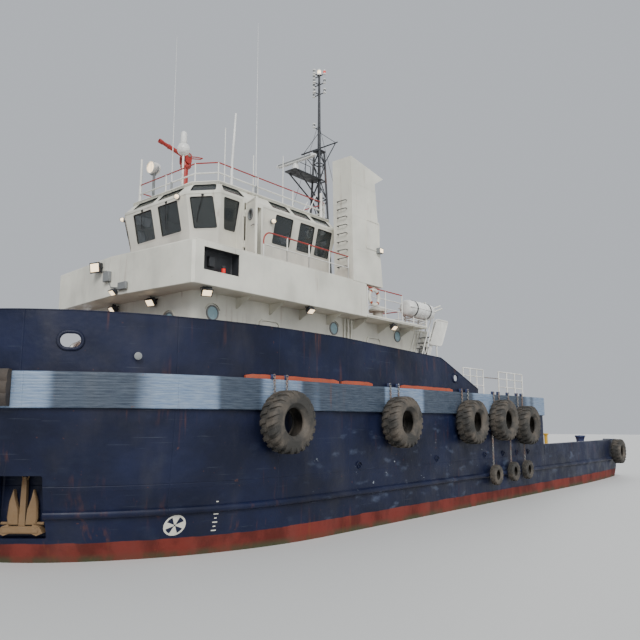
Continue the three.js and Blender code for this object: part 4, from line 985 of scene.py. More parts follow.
def add_chain(shape, start, end, length=0.11, finish=0):
    link = chain_link(length)
    start, end = Vector(start), Vector(end)
    run = end - start
    count = max(1, round(run.length / (0.64 * length)))
    for k in range(count):
        at = start + run * ((k + 0.5) / count)
        turn = turned(pi / 2 * (k % 2) + 0.3, "Z")
        shape.place(link, aligned(at, run, (0, 1, 0)) @ turn, finish)


def side_y(x, out=0.0):
    """How far the forecastle's side lies from the centreline at x."""
    path = half_ring(UPPER, FORECASTLE_Z, out, 60)[::-1]
    return float(np.interp(x, [p[0] for p in path], [p[1] for p in path]))


def add_orange_rail(shape, finish, seed):
    """A worn orange channel on the belt's top ledge, in runs with ragged ends."""
    dice = random.Random(seed)
    for start, end in ORANGE_RUNS:
        count = round((start - end) / 0.22)
        rows = []
        for k in range(count + 1):
            x = start + (end - start) * k / count
            y = side_y(x, BELT_OUT)
            ragged = 0.035 if k in (0, count) else 0
            top = RAIL_Z - ragged - 0.012 * dice.random()
            foot = FORECASTLE_Z + 0.001
            back, face = y - 0.085, y - 0.012 - 0.006 * dice.random()
            rows.append([(x, back, foot), (x, back, top), (x, face - 0.02, top + 0.006),
                         (x, face, top - 0.02), (x, face, foot)])
        shape.grid(rows, finish)


def make_fenders(side, sign):
    dice = random.Random(7)
    shape = Shape()
    kinds = {LARGE: make_tyre(*LARGE, 22), SMALL: make_tyre(*SMALL, 15)}
    spots = []
    for x, z, size, chain_top in TYRES:
        radius, _, width = size
        face = HALF_BEAM + RUB_OUT if z < 2 else BELT_FACE
        lean = turned(dice.uniform(0, 6), "Y")
        shape.place(kinds[size], shifted(x, face + FOOT + width / 2, z) @ lean)
        y = BELT_FACE + 0.035
        for aside in (-0.3 * radius, 0.3 * radius) if radius > 0.5 else (0,):
            spots.append(((x + aside, y, chain_top), (x + aside * 0.9, y, z + 0.8 * radius)))
    for top, foot in spots:
        add_chain(shape, top, foot, 0.12, 1)
        if top[2] == RAIL_Z:
            shape.block((top[0] - 0.05, BELT_FACE - 0.08, FORECASTLE_Z + 0.001),
                        (top[0] + 0.05, BELT_FACE - 0.005, RAIL_Z + 0.015), 0.012, 2)
            eye = [
                (top[0] + 0.04 * cos(t), BELT_FACE + 0.02 + 0.035 * sin(t), RAIL_Z - 0.02)
                for t in around(10)
            ]
            shape.tube(eye, 0.011, 6, 2, closed=True)
        else:
            eye = Shape()
            eye.tube([(*polar(0.035, t), 0) for t in around(10)], 0.012, 6, closed=True)
            shape.place(eye, aligned((top[0], HALF_BEAM + 0.03, top[2] + 0.02), (1, 0, 0)), 2)
    add_orange_rail(shape, 3, 5)
    finishes = [TYRE, STEEL, NAVY_GEAR, ORANGE]
    mirrored(shape, sign).build("tyres_" + side, finishes, "tyre", replaces=("fenders_" + side,))


def make_quarter_tyre(side, sign):
    radius, _, width = QUARTER
    shape = Shape()
    x, y, z = -16.9, 4.59, 1.5
    shape.place(make_tyre(*QUARTER, 20), shifted(x, y + width / 2, z))
    for aside in (-0.2, 0.2):
        add_chain(shape, (x + aside, y + 0.03, 2.2), (x + aside * 0.9, y + 0.03, z + 0.8 * radius), 0.11, 1)
        shape.block((x + aside - 0.03, 4.4, 2.1805), (x + aside + 0.03, y + 0.06, 2.215), 0.008, 2)
    finishes = [TYRE, STEEL, NAVY_GEAR]
    name = "quarter_tyre_fine_" + side
    mirrored(shape, sign).build(name, finishes, "tyre", replaces=("quarter_tyre_" + side,))


def make_bow_fender():
    """Rubber fender along the belt round the stem, crowned and grooved."""
    port = half_ring(UPPER, FORECASTLE_Z, BELT_OUT, 20)
    path = [p for p in port if p[0] > 17.8]
    low, high = BELT_LOW_Z + 0.06, FORECASTLE_Z + 0.04
    section = []
    for k in range(13):
        s = k / 12
        groove = 0.035 if k in (4, 8) else 0
        bulge = 0.17 + 0.09 * sin(pi * s) ** 0.5
        section.append((bulge - groove, low + (high - low) * s))
    section = [(FOOT, low)] + section + [(FOOT, high)]
    half = []
    for i, (x, y) in enumerate(path):
        normal = Vector((1, 0, 0)) if i == 0 else outward(port, i)
        half.append([(x + normal.x * out, y + normal.y * out, z) for out, z in section])
    shape = Shape()
    shape.grid(round_the_stem(half))
    for sign in (1, -1):
        for i in range(6, len(path) - 4, 9):
            normal = outward(port, i)
            spot = Vector((*path[i], 0)) + normal * 0.255
            for z in (low + 0.13, high - 0.13):
                bolt = aligned((spot.x, spot.y * sign, z), (normal.x, normal.y * sign, 0))
                shape.lathe([(0.0, -0.06), (0.045, -0.06), (0.045, 0.0), (0.03, 0.012), (0.0, 0.012)], bolt,
                            8, 1)
    shape.build("bow_fender_fine", [RUBBER, STEEL], "rubber", replaces=("bow_fender",))


# Anchors in their pockets
def make_anchor(side, sign):
    """A stockless anchor: crown below with its pads, flukes up beside the shank, shackle above."""
    shape = Shape()
    shape.block((0.0, -0.44, -0.6), (0.27, 0.44, -0.43), 0.035)
    for way in (1, -1):
        pad = [(0.0, 0.0), (0.16, -0.06), (0.24, -0.2), (0.1, -0.26), (-0.05, -0.2)]
        shape.prism(pad, 0.02, 0.25, 0, crosswise(0, 0.28 * way, -0.38, way))
        fluke = [(0.07, -0.16), (0.33, -0.16), (0.36, 0.0), (0.33, 0.34), (0.24, 0.62), (0.19, 0.42),
                 (0.1, 0.18)]
        rows = []
        for x, squeeze in ((0.06, 0.8), (0.1, 1.0), (0.17, 1.0), (0.2, 0.82)):
            rows.append([(x, way * (0.2 + (y - 0.2) * squeeze), -0.34 + (z + 0.1) * (0.94 + 0.06 * squeeze))
                         for y, z in fluke])
        shape.grid(rows)
    shank = [(-0.075, -0.5), (0.075, -0.5), (0.055, 0.55), (0.035, 0.66), (-0.035, 0.66), (-0.055, 0.55)]
    shape.prism(shank, 0.07, 0.19, 0, crosswise(0, 0, 0))
    ring = [(0.13, 0.07 * cos(t), 0.66 + 0.075 * sin(t)) for t in around(14)]
    shape.tube(ring, 0.02, 8, closed=True)
    shape.rod((0.13, -0.5, -0.38), (0.13, 0.5, -0.38), 0.035, 12)
    placed = Shape()
    placed.place(shape, anchor_frame(sign) @ shifted(SEAT - ANCHOR_DEPTH, 0, 0))
    placed.build("anchor_fine_" + side, [ANCHOR_IRON], "worn_steel", replaces=("anchor_" + side,))


# Aft bulwarks and planks
def make_aft_bulwark(side, sign):
    """The low bulwark of the working deck, hollow-topped, with stays inside."""
    port = half_ring(LOWER, 1.65, 0, 120)
    path = [p for p in port if p[0] < HIGH_SIDE_AFT_X - SEAT]
    edge = [p for p in path if p[0] > -18.0 or p[1] > 1.86]
    (x0, y0), (x1, y1) = path[:2]
    edge = [(HIGH_SIDE_AFT_X - SEAT, float(np.interp(HIGH_SIDE_AFT_X, [x1, x0], [y1, y0])))] + edge
    rows = []
    low, top = MAIN_DECK_Z + SEAT, 2.18
    for i, (x, y) in enumerate(edge):
        normal = outward(edge, i)
        section = [(0, low), (0, top - 0.06), (-0.02, top - 0.015), (-0.06, top), (-0.16, top),
                   (-0.205, top - 0.02), (-0.22, top - 0.07), (-0.14, low + 0.25), (-0.12, low)]
        rows.append([(x + normal.x * out, (y + normal.y * out) * sign, z) for out, z in section])
    shape = Shape()
    shape.grid(rows)
    for x in np.arange(-7.2, -16.6, -1.15):
        y = float(np.interp(x, [p[0] for p in edge[::-1]], [p[1] for p in edge[::-1]]))
        web = [(-0.13, low), (-0.4, low), (-0.36, low + 0.05), (-0.2, top - 0.06), (-0.13, top - 0.06)]
        shape.prism(web, -0.008, 0.008, 0, crosswise(x, y * sign, 0, sign))
    shape.build("low_bulwark_" + side, [HULL], "hull_paint", replaces=("aft_bulwark_" + side,))


def make_planks():
    dice = random.Random(11)
    shape = Shape()
    x0, x1, half = -14.9, HIGH_SIDE_AFT_X - 0.2, 3.9
    low, top = MAIN_DECK_Z + SEAT, MAIN_DECK_Z + 0.07
    count = 36
    wide = (2 * half - 0.1) / count
    shape.block((x0, -half, low), (x0 + 0.08, half, top), 0.008, 1)
    shape.block((x1 - 0.08, -half, low), (x1, half, top), 0.008, 1)
    for sign in (1, -1):
        shape.block((x0 + 0.08, half * sign, low), (x1 - 0.08, (half - 0.05) * sign, top), 0.008, 1)
    for k in range(count):
        y = -half + 0.05 + wide * k
        ends = [x0 + 0.085, dice.uniform(-13.5, -12), dice.uniform(-10.5, -9), x1 - 0.085]
        for a, b in zip(ends, ends[1:]):
            drop = dice.uniform(0.001, 0.007)
            shape.block((a + 0.003, y + 0.006, low), (b - 0.003, y + wide - 0.006, top - drop), 0.007)
    shape.build("deck_planks", [WOOD, STEEL], "deck_wood", replaces=("deck_sheathing",))


# Superstructure
HOUSE_HALF = 2.75
HOUSE_AFT_X = 0.8
HOUSE_FRONT_X = 13.2
BRIDGE_HALF = 3.55
BRIDGE_AFT_X = 5.15
BRIDGE_FRONT_X = 14.15
RECESS_X = 6.15
PLAN = ((12.45, 1.55), (11.95, 2.3), (6.7, 2.3), (6.5, 2.1))
# How far the wheelhouse wall stands out from its plan at each height
WALL = ((BRIDGE_TOP_Z, 0), (8.95, 0), (10.03, 0.24), (10.11, 0.24), (10.45, -0.06))
WALL_THICK = 0.09
DOOR = dict(x=11.14, out=2.56, z=8.15, width=0.72, height=1.8, thick=0.055)
DOOR_FRAME = 0.08
HINGE_OUT = 0.025
HINGE_HIGH = 0.11
HINGE_SHARES = (0.2, 0.75)
BAY_DOOR = dict(x=0.775, y=1.9, z=1.9, width=0.76, height=1.88, thick=0.06)
DRIP_Z = 10.03
PORT_DOOR_OPEN = 1.885
LOWER_WINDOW = (9.0, 9.95)
UPPER_WINDOW = (10.13, 10.42)


def plan_ring(out, z=0.0):
    """The wheelhouse plan, port side first, moved outward with mitred corners."""
    plan = [Vector(p) for p in PLAN] + [Vector((x, -y)) for x, y in PLAN[::-1]]
    ring = []
    for i, point in enumerate(plan):
        before = (point - plan[i - 1]).normalized()
        after = (plan[(i + 1) % len(plan)] - point).normalized()
        a, b = Vector((before.y, -before.x)), Vector((after.y, -after.x))
        mitre = (a + b) / (1 + a.dot(b))
        ring.append(Vector((*(point + mitre * out), z)))
    return ring


def wall_out(z):
    return float(np.interp(z, [w[0] for w in WALL], [w[1] for w in WALL]))


PANE_CORNER = 0.06


class Wall:
    """One wall of the wheelhouse: a plan point on it, and its outward direction in the plan."""

    def __init__(self, x, y, out_x, out_y):
        self.foot = Vector((x, y, 0))
        self.out = Vector((out_x, out_y, 0)).normalized()
        self.along = Vector((-self.out.y, self.out.x, 0))

    def at(self, u, z, out=0.0):
        return self.foot + self.along * u + self.out * (wall_out(z) + out) + Vector((0, 0, z))


FRONT_WALL = Wall(12.45, 0, 1, 0)
AFT_WALL = Wall(6.5, 0, -1, 0)
CHAMFER_WALL = {sign: Wall(12.2, 1.925 * sign, 0.832, 0.555 * sign) for sign in (1, -1)}


def wheelhouse_windows():
    """Each window as (wall, middle along the wall, middle height, outline maker)."""
    made = []

    def add(wall, u, width, span, fore=0.0, aft=0.0, sign=1):
        """fore and aft: how far the edges lean forward over half the window's height."""
        half_wide, half_high = width / 2, (span[1] - span[0]) / 2

        def outline(grow, corner):
            points = []
            for du, dv in rounded(half_wide + grow, half_high + grow, corner):
                share = 0.5 - 0.5 * sign * du / half_wide
                points.append((du - sign * dv / half_high * (aft + (fore - aft) * share), dv))
            return points

        made.append((wall, u, sum(span) / 2, outline))

    for sign in (1, -1):
        chamfer = CHAMFER_WALL[sign]
        side = Wall(0, 2.3 * sign, 0, sign)
        add(FRONT_WALL, 0.67 * sign, 1.02, LOWER_WINDOW)
        add(FRONT_WALL, 0.67 * sign, 1.14, UPPER_WINDOW)
        add(chamfer, 0, 0.74, LOWER_WINDOW, 0.05, 0.05, sign)
        add(chamfer, -0.01 * sign, 0.78, UPPER_WINDOW, -0.02, 0.03, sign)
        add(side, -11.58 * sign, 0.56, LOWER_WINDOW, 0.1, 0.0, sign)
        for x, width in ((9.275, 0.85), (8.135, 0.77), (7.21, 0.8)):
            add(side, -x * sign, width, LOWER_WINDOW)
        add(side, -11.52 * sign, 0.8, UPPER_WINDOW, -0.07, 0.04, sign)
        for x in (9.425, 8.375, 7.325):
            add(side, -x * sign, 0.9, UPPER_WINDOW)
    for y in (-1.4, 0, 1.4):
        for span in (LOWER_WINDOW, UPPER_WINDOW):
            add(AFT_WALL, y, 1.0, span)
    return made


def rounded(half_wide, half_high, corner, steps=5):
    """A rounded rectangle about the origin as (u, v) points."""
    points = []
    for k, (su, sv) in enumerate(((1, 1), (-1, 1), (-1, -1), (1, -1))):
        for j in range(steps + 1):
            turn = pi / 2 * (k + j / steps)
            points.append((su * (half_wide - corner) + corner * cos(turn),
                           sv * (half_high - corner) + corner * sin(turn)))
    return points


def band(shape, place, outline, wide, low, high, finish=0):
    """A flat ring round an outline: place(u, v, out) puts a point on its surface."""
    rows = []
    count = len(outline)
    for i, (u, v) in enumerate(outline):
        a, b = outline[i - 1], outline[(i + 1) % count]
        normal = Vector((b[1] - a[1], a[0] - b[0])).normalized()
        far = (u + normal.x * wide, v + normal.y * wide)
        rows.append([place(u, v, low), place(u, v, high), place(*far, high), place(*far, low)])
    shape.grid(rows, finish, ring=True)


def pane(shape, place, outline, low, high, finish=0):
    shape.grid([[place(u, v, out) for u, v in outline] for out in (low, high)], finish)


def make_wheelhouse():
    rows = [plan_ring(out, z) for z, out in ((BRIDGE_TOP_Z + SEAT, 0),) + WALL[1:]]
    inner = [plan_ring(out - WALL_THICK, z) for z, out in WALL]
    inner[0] = plan_ring(-WALL_THICK, BRIDGE_TOP_Z - 0.1)
    above = 10.5
    inner[-1] = plan_ring(WALL[-1][1] - WALL_THICK - 0.03, above)
    outside = Shape()
    outside.grid(rows)
    walls = outside.build("wheelhouse_shell", [WHITE], "white_paint", replaces=("wheelhouse_walls",))
    hollow = Shape()
    hollow.grid(inner)
    frames = []
    for sign in (1, -1):
        frame_box = Shape()
        x0, x1 = DOOR["x"] - DOOR["width"] - DOOR_FRAME, DOOR["x"] + DOOR_FRAME
        low = (x0, 2.215 * sign, BRIDGE_TOP_Z + SEAT)
        frame_box.block(low, (x1, DOOR["out"] * sign, DRIP_Z), 0.004)
        frames.append(frame_box)
    carve(walls, [hollow])
    carve(walls, frames, "UNION")
    cutters = Shape()
    for wall, u, middle, outline in wheelhouse_windows():
        rows = []
        for out in (-0.24, 0.36):
            rows.append([
                wall.foot + wall.along * (u + du) + Vector((0, 0, middle + dz)) + wall.out * out
                for du, dz in outline(0, PANE_CORNER)
            ])
        cutters.grid(rows)
    for sign in (1, -1):
        x0, x1 = DOOR["x"] - DOOR["width"] - 0.006, DOOR["x"] + 0.003
        low, top = DOOR["z"] - 0.006, DOOR["z"] + DOOR["height"] + 0.006
        cutters.block((x0, 1.9 * sign, low), (x1, 2.8 * sign, top), 0.004)
    carve(walls, [cutters])
    smooth_over(walls, CARVED_SMOOTH)

    glass = Shape()
    trim = Shape()
    for wall, u, middle, outline in wheelhouse_windows():

        def place(du, dz, out, wall=wall, u=u, middle=middle):
            return wall.at(u + du, middle + dz, out)

        pane(glass, place, outline(0.008, PANE_CORNER), -0.045, -0.033)
        band(trim, place, outline(-0.022, PANE_CORNER - 0.02), 0.022, -0.04, -0.008, 1)
        band(trim, place, outline(-0.002, PANE_CORNER), 0.03, -0.01, 0.009, 0)
    glass.build("window_panes", [GLASS], "glass", replaces=("wheelhouse_glass",))
    for sign in (1, -1):
        x, y, out = DOOR["x"], (DOOR["out"] + HINGE_OUT) * sign, DOOR["out"]
        for share in HINGE_SHARES:
            z = DOOR["z"] + share * DOOR["height"]
            trim.rod((x, y, z), (x, y, z + HINGE_HIGH), 0.018, 12, 0)
            trim.block((x, (out - 0.004) * sign, z), (x + 0.06, (out + 0.017) * sign, z + HINGE_HIGH), 0.003,
                       0)
    # Drip moulding between the windows' two rows
    z, high = DRIP_Z, Vector((0, 0, 0.08))
    rings = zip(plan_ring(wall_out(z) + 0.012, z), plan_ring(wall_out(z) - 0.03, z))
    trim.grid([[b, a, a + high, b + high] for a, b in rings], 0, ring=True)
    # Wipers on the front windows
    for wall, u in ((FRONT_WALL, -0.64), (FRONT_WALL, 0.64), (CHAMFER_WALL[-1], 0), (CHAMFER_WALL[1], 0)):
        trim.block((-0.04, -0.03, -0.02), (0.04, 0.03, 0.03), 0.01, 1,
                   aligned(wall.at(u, 9.985, 0.01), wall.out))
        trim.rod(wall.at(u, 9.98, 0.03), wall.at(u - 0.17, 9.45, 0.015), 0.008, 8, 1)
        trim.rod(wall.at(u - 0.12, 9.68, 0.0), wall.at(u - 0.22, 9.2, 0.0), 0.009, 8, 1)
    trim.build("wheelhouse_trim", [WHITE, BLACK], "white_paint")


def door_leaf(door, light):
    """Dress of a hinged steel door in its own frame: leaf along -X, outside towards +Y."""
    shape = Shape()
    width, height, thick = door["width"], door["height"], door["thick"]
    face = -HINGE_OUT

    def place(u, v, out):
        return (u - width / 2 - 0.0015, face + out, v + height / 2)

    band(shape, place, rounded(width / 2 - 0.055, height / 2 - 0.055, 0.07), 0.03, -0.004, 0.012, 0)
    x, z, radius = light
    ring = [(radius * 0.98, -thick - 0.012), (radius * 0.98, 0.018), (radius * 1.1, 0.026),
            (radius * 1.32, 0.018), (radius * 1.36, -0.004), (radius * 1.36, -thick - 0.004),
            (radius * 1.2, -thick - 0.012)]
    on_y = shifted(x, face, z) @ turned(-pi / 2, "X")
    shape.lathe(ring, on_y, 32, 1, ring=True)
    shape.lathe([(0, -0.034), (radius, -0.034), (radius, -0.022), (0, -0.022)], on_y, 32, 2)
    for k in range(8):
        turn = pi / 4 * (k + 0.5)
        bolt = shifted(x + radius * 1.2 * cos(turn), face + 0.018, z + radius * 1.2 * sin(turn))
        head = [(0, -0.004), (0.013, -0.004), (0.013, 0.008), (0, 0.011)]
        shape.lathe(head, bolt @ turned(-pi / 2, "X"), 6, 1)
    # Lever handles, inside and out, on one spindle
    z = 0.52 * height
    x = -width + 0.09
    for out, way in ((face, 1), (face - thick, -1)):
        shape.lathe([(0, -0.004), (0.035, -0.004), (0.03, 0.016), (0.014, 0.02), (0.014, 0.052), (0, 0.056)],
                    shifted(x, out, z) @ turned(-pi / 2 * way, "X"), 16, 3)
        y = out + 0.045 * way
        shape.tube([(x, y, z), (x + 0.04, y, z), (x + 0.15, y, z - 0.012)], [0.012, 0.013, 0.01], 8, 3)
    return shape


def make_doors():
    """What is fixed to each door's leaf. The port door stands open."""
    finishes = [WHITE, GREY, GLASS, STEEL]
    leaf = door_leaf(DOOR, (-DOOR["width"] / 2, 1.33, 0.14))
    for side, sign in SIDES:
        at = shifted(DOOR["x"], (DOOR["out"] + HINGE_OUT) * sign, DOOR["z"])
        placed = Shape()
        placed.place(leaf, at @ (turned(-PORT_DOOR_OPEN, "Z") if sign > 0 else MIRROR))
        placed.build("door_dress_" + side, finishes, "white_paint", "wheelhouse_door_" + side)
    placed = Shape()
    at = shifted(BAY_DOOR["x"], BAY_DOOR["y"], BAY_DOOR["z"])
    placed.place(door_leaf(BAY_DOOR, (-BAY_DOOR["width"] / 2, 1.4, 0.13)), at @ turned(pi / 2, "Z"))
    placed.build("bay_door_dress", finishes, "white_paint", "bay_door")


def add_portlight(shape, at, out, radius=0.185):
    """A round light in a wall: a bolted ring, a pale blind behind its glass, and a rain eyebrow."""
    matrix = aligned(at, out)
    shape.lathe([(radius, -0.01), (radius, 0.03), (radius * 1.08, 0.038), (radius * 1.22, 0.03),
                 (radius * 1.24, -0.01)],
                matrix, 32, 1, ring=True)
    shape.lathe([(0, 0.004), (radius * 1.02, 0.004), (radius * 1.02, 0.014), (0, 0.02)], matrix, 32, 2)
    for turn in around(6):
        spot = matrix @ shifted(*polar(radius * 1.15, turn), 0.034)
        shape.lathe([(0, -0.005), (0.012, -0.005), (0.01, 0.009), (0, 0.01)], spot, 6, 1)
    brow = []
    for k in range(13):
        x, y = polar(radius * 1.45, radians(20 + 140 * k / 12))
        section = ((1, -0.005), (1, 0.05), (1.05, 0.05), (1.05, -0.005))
        brow.append([matrix @ Vector((x * s, y * s, d)) for s, d in section])
    shape.grid(brow, 0)


def add_floodlight(shape, at, out, scale=1.0, down=0.35, body=3, lens_finish=4):
    """A square floodlight on a bracket: housing, fins, lens and stirrup."""
    aim = Vector(out).normalized() + Vector((0, 0, -down))
    m = aligned(at, aim) @ Matrix.Scale(scale, 4)
    shape.block((-0.14, -0.11, -0.1), (0.14, 0.11, 0.04), 0.02, body, m)
    for k in range(5):
        x = -0.1 + 0.05 * k
        shape.block((x - 0.006, -0.09, -0.13), (x + 0.006, 0.09, -0.09), 0.002, body, m)
    shape.block((-0.155, -0.125, 0.03), (0.155, 0.125, 0.05), 0.008, body, m)
    shape.block((-0.125, -0.095, 0.045), (0.125, 0.095, 0.058), 0.004, lens_finish, m)
    for s in (1, -1):
        shape.block((0.158 * s, -0.015, -0.16), (0.166 * s, 0.015, 0.01), 0.002, body, m)
    shape.block((-0.166, -0.015, -0.17), (0.166, 0.015, -0.158), 0.002, body, m)


def make_deckhouse():
    corner = 0.26
    outline = [(HOUSE_AFT_X, -HOUSE_HALF)]
    for sign in (-1, 1):
        x, y = HOUSE_FRONT_X - corner, HOUSE_HALF - corner
        arc = [(x + corner * sin(t), sign * (y + corner * cos(t))) for t in np.linspace(0, pi / 2, 7)]
        outline += arc if sign < 0 else arc[::-1]
    outline.append((HOUSE_AFT_X, HOUSE_HALF))
    shape = Shape()
    foot = FORECASTLE_Z + SEAT
    shape.prism(outline, foot, HOUSE_TOP_Z)
    for sign in (1, -1):
        y = HOUSE_HALF * sign
        for x, z in ((12.49, 6.28), (7.03, 6.42), (3.09, 6.53)):
            add_portlight(shape, (x, y, z), (0, sign, 0))
        # Bracket plates under the bridge's overhang, doors, pipes and a louvre
        for x in (11.58, 10.19, 8.8, 7.39, 5.9, 4.4, 2.9):
            web = [(0, 0), (0.68, 0), (0.6, -0.05), (0.05, -0.34), (0, -0.34)]
            shape.prism(web, -0.007, 0.007, 0, crosswise(x, y, HOUSE_TOP_Z - 0.001, sign))
        for x in (6.1, 6.28, 6.48):
            at_y = y + 0.05 * sign
            shape.rod((x, at_y, foot), (x, at_y, HOUSE_TOP_Z - 0.01), 0.045 if x == 6.28 else 0.03, 12, 0)
            for z in (5.0, 5.9, 6.6):
                shape.block((x - 0.06, y, z), (x + 0.06, y + 0.03 * sign, z + 0.04), 0.004, 0)
        middle = 5.35
        for x in (10.2, 4.7):

            def place(u, v, out, x=x, y=y, sign=sign):
                return (x - u * sign, y + out * sign, middle + v)

            pane(shape, place, rounded(0.38, 0.92, 0.12), -0.01, 0.03, 0)
            band(shape, place, rounded(0.4, 0.94, 0.14), 0.05, -0.01, 0.055, 0)
            for v in (-0.6, 0.0, 0.6):
                z = middle + v
                shape.block((x - 0.47, y, z - 0.03), (x - 0.36, y + 0.075 * sign, z + 0.03), 0.008, 3)
            for v in (-0.65, 0.1, 0.65):
                dog = shifted(x + 0.36, y + 0.04 * sign, middle + v)
                shape.block((-0.1, -0.012, -0.015), (0.06, 0.012, 0.015), 0.004, 3, dog)
            add_portlight(shape, (x, (HOUSE_HALF + 0.03) * sign, 5.8), (0, sign, 0), 0.13)

        def on_wall(u, v, out, y=y, sign=sign):
            return (1.25 - u * sign, y + out * sign, 5.95 + v)

        band(shape, on_wall, rounded(0.24, 0.3, 0.02), 0.04, -0.005, 0.03, 3)
        for k in range(9):
            z = 5.69 + 0.062 * k
            shape.block((1.01, y, z), (1.49, y + 0.022 * sign, z + 0.03), 0.004, 3)
        # Grab rail along the wall
        z, at_y = 5.45, y + 0.09 * sign
        shape.rod((11.9, at_y, z), (8.0, at_y, z), 0.018, 10, 1)
        for x in np.linspace(11.8, 8.1, 5):
            shape.rod((x, y, z), (x, at_y, z), 0.012, 8, 1)
        # Floodlights, and the stems they hang from
        lamps = (
            (13.22, 3.38, 6.7, (0.5, sign, 0), 1.0, 1.2),
            (9.03, 3.45, 6.72, (0, sign, 0), 0.9, 1.2),
            (4.4, 3.5, 6.68, (0, sign, 0), 0.9, 1.2),
            (13.36, 1.0, 6.68, (1, 0.2 * sign, 0), 1.0, 0.8),
        )
        for x, half, z, out, scale, down in lamps:
            add_floodlight(shape, (x, half * sign, z), out, scale, down)
        for x, half, *_ in lamps:
            shape.rod((x, half * sign, 6.72), (x, half * sign, HOUSE_TOP_Z), 0.02, 8, 3)
    for y in (-1.7, 0, 1.7):
        add_portlight(shape, (HOUSE_FRONT_X, y, 6.1), (1, 0, 0), 0.19)
    for y in (-1.2, 1.2):
        add_portlight(shape, (HOUSE_AFT_X, y, 6.0), (-1, 0, 0), 0.17)
    finishes = [WHITE, GREY, PORTLIGHT_BLUE, DARK, LAMP_GLASS]
    shape.build("house_walls", finishes, "white_paint", replaces=("deckhouse",))


def make_stairs():
    """Stairs between the forecastle deck and the boat deck, one on each side, with pipe handrails."""
    for side, sign in SIDES:
        shape = Shape()
        low, top = Vector((2.6, 0, FORECASTLE_Z + 0.001)), Vector((1.3, 0, HOUSE_TOP_Z))

        def along(s):
            """The place and the height of the stair at a share of its run."""
            return low.x + (top.x - low.x) * s, low.z + (top.z - low.z) * s

        y0, y1 = (HOUSE_HALF + 0.03) * sign, (HOUSE_HALF + 0.64) * sign
        half_wide, half_thick = 0.11, 0.012
        stringer = [
            (low.x - half_wide, low.z),
            (low.x + half_wide, low.z),
            (top.x + half_wide, top.z),
            (top.x - half_wide, top.z),
        ]
        for y in (y0, y1):
            sides = (y - half_thick * sign, y + half_thick * sign)
            shape.grid([[(x, side_y, z) for x, z in stringer] for side_y in sides])
        steps = 11
        for k in range(1, steps):
            x, z = along(k / steps)
            shape.block((x - half_wide, y0, z - 0.012), (x + half_wide, y1, z + 0.012), 0.006, 2)
        for y in (y0, y1):
            rail = []
            for s, rise in ((0.02, 0.9), (0.35, 0.95), (0.7, 0.95), (0.97, 0.95)):
                x, z = along(s)
                rail.append((x, y, z + rise))
            shape.tube([(low.x, y, low.z + 0.1)] + rail, 0.02, 10, 0)
            for s in (0.35, 0.7, 0.97):
                x, z = along(s)
                shape.rod((x, y, z), (x, y, z + 0.95), 0.017, 8, 0)
            shape.tube([(x, y, z - 0.45) for x, y, z in rail], 0.015, 8, 0)
        # A leaning screen at the head of the stair, on its own leg
        y = (HOUSE_HALF + 0.68) * sign

        def place(u, v, out, y=y, sign=sign):
            return (1.05 + u - 0.55 * v, y + out * sign, 6.83 + v)

        pane(shape, place, rounded(0.47, 0.56, 0.09), -0.03, 0.03, 0)
        band(shape, place, rounded(0.42, 0.51, 0.07), 0.05, -0.04, 0.045, 0)
        shape.rod((1.2, y, FORECASTLE_Z + 0.001), (1.25, y, 6.4), 0.035, 12, 0)
        shape.build("stairs_" + side, [CREAM_RAIL, RED_RAIL, GREY], "white_paint")


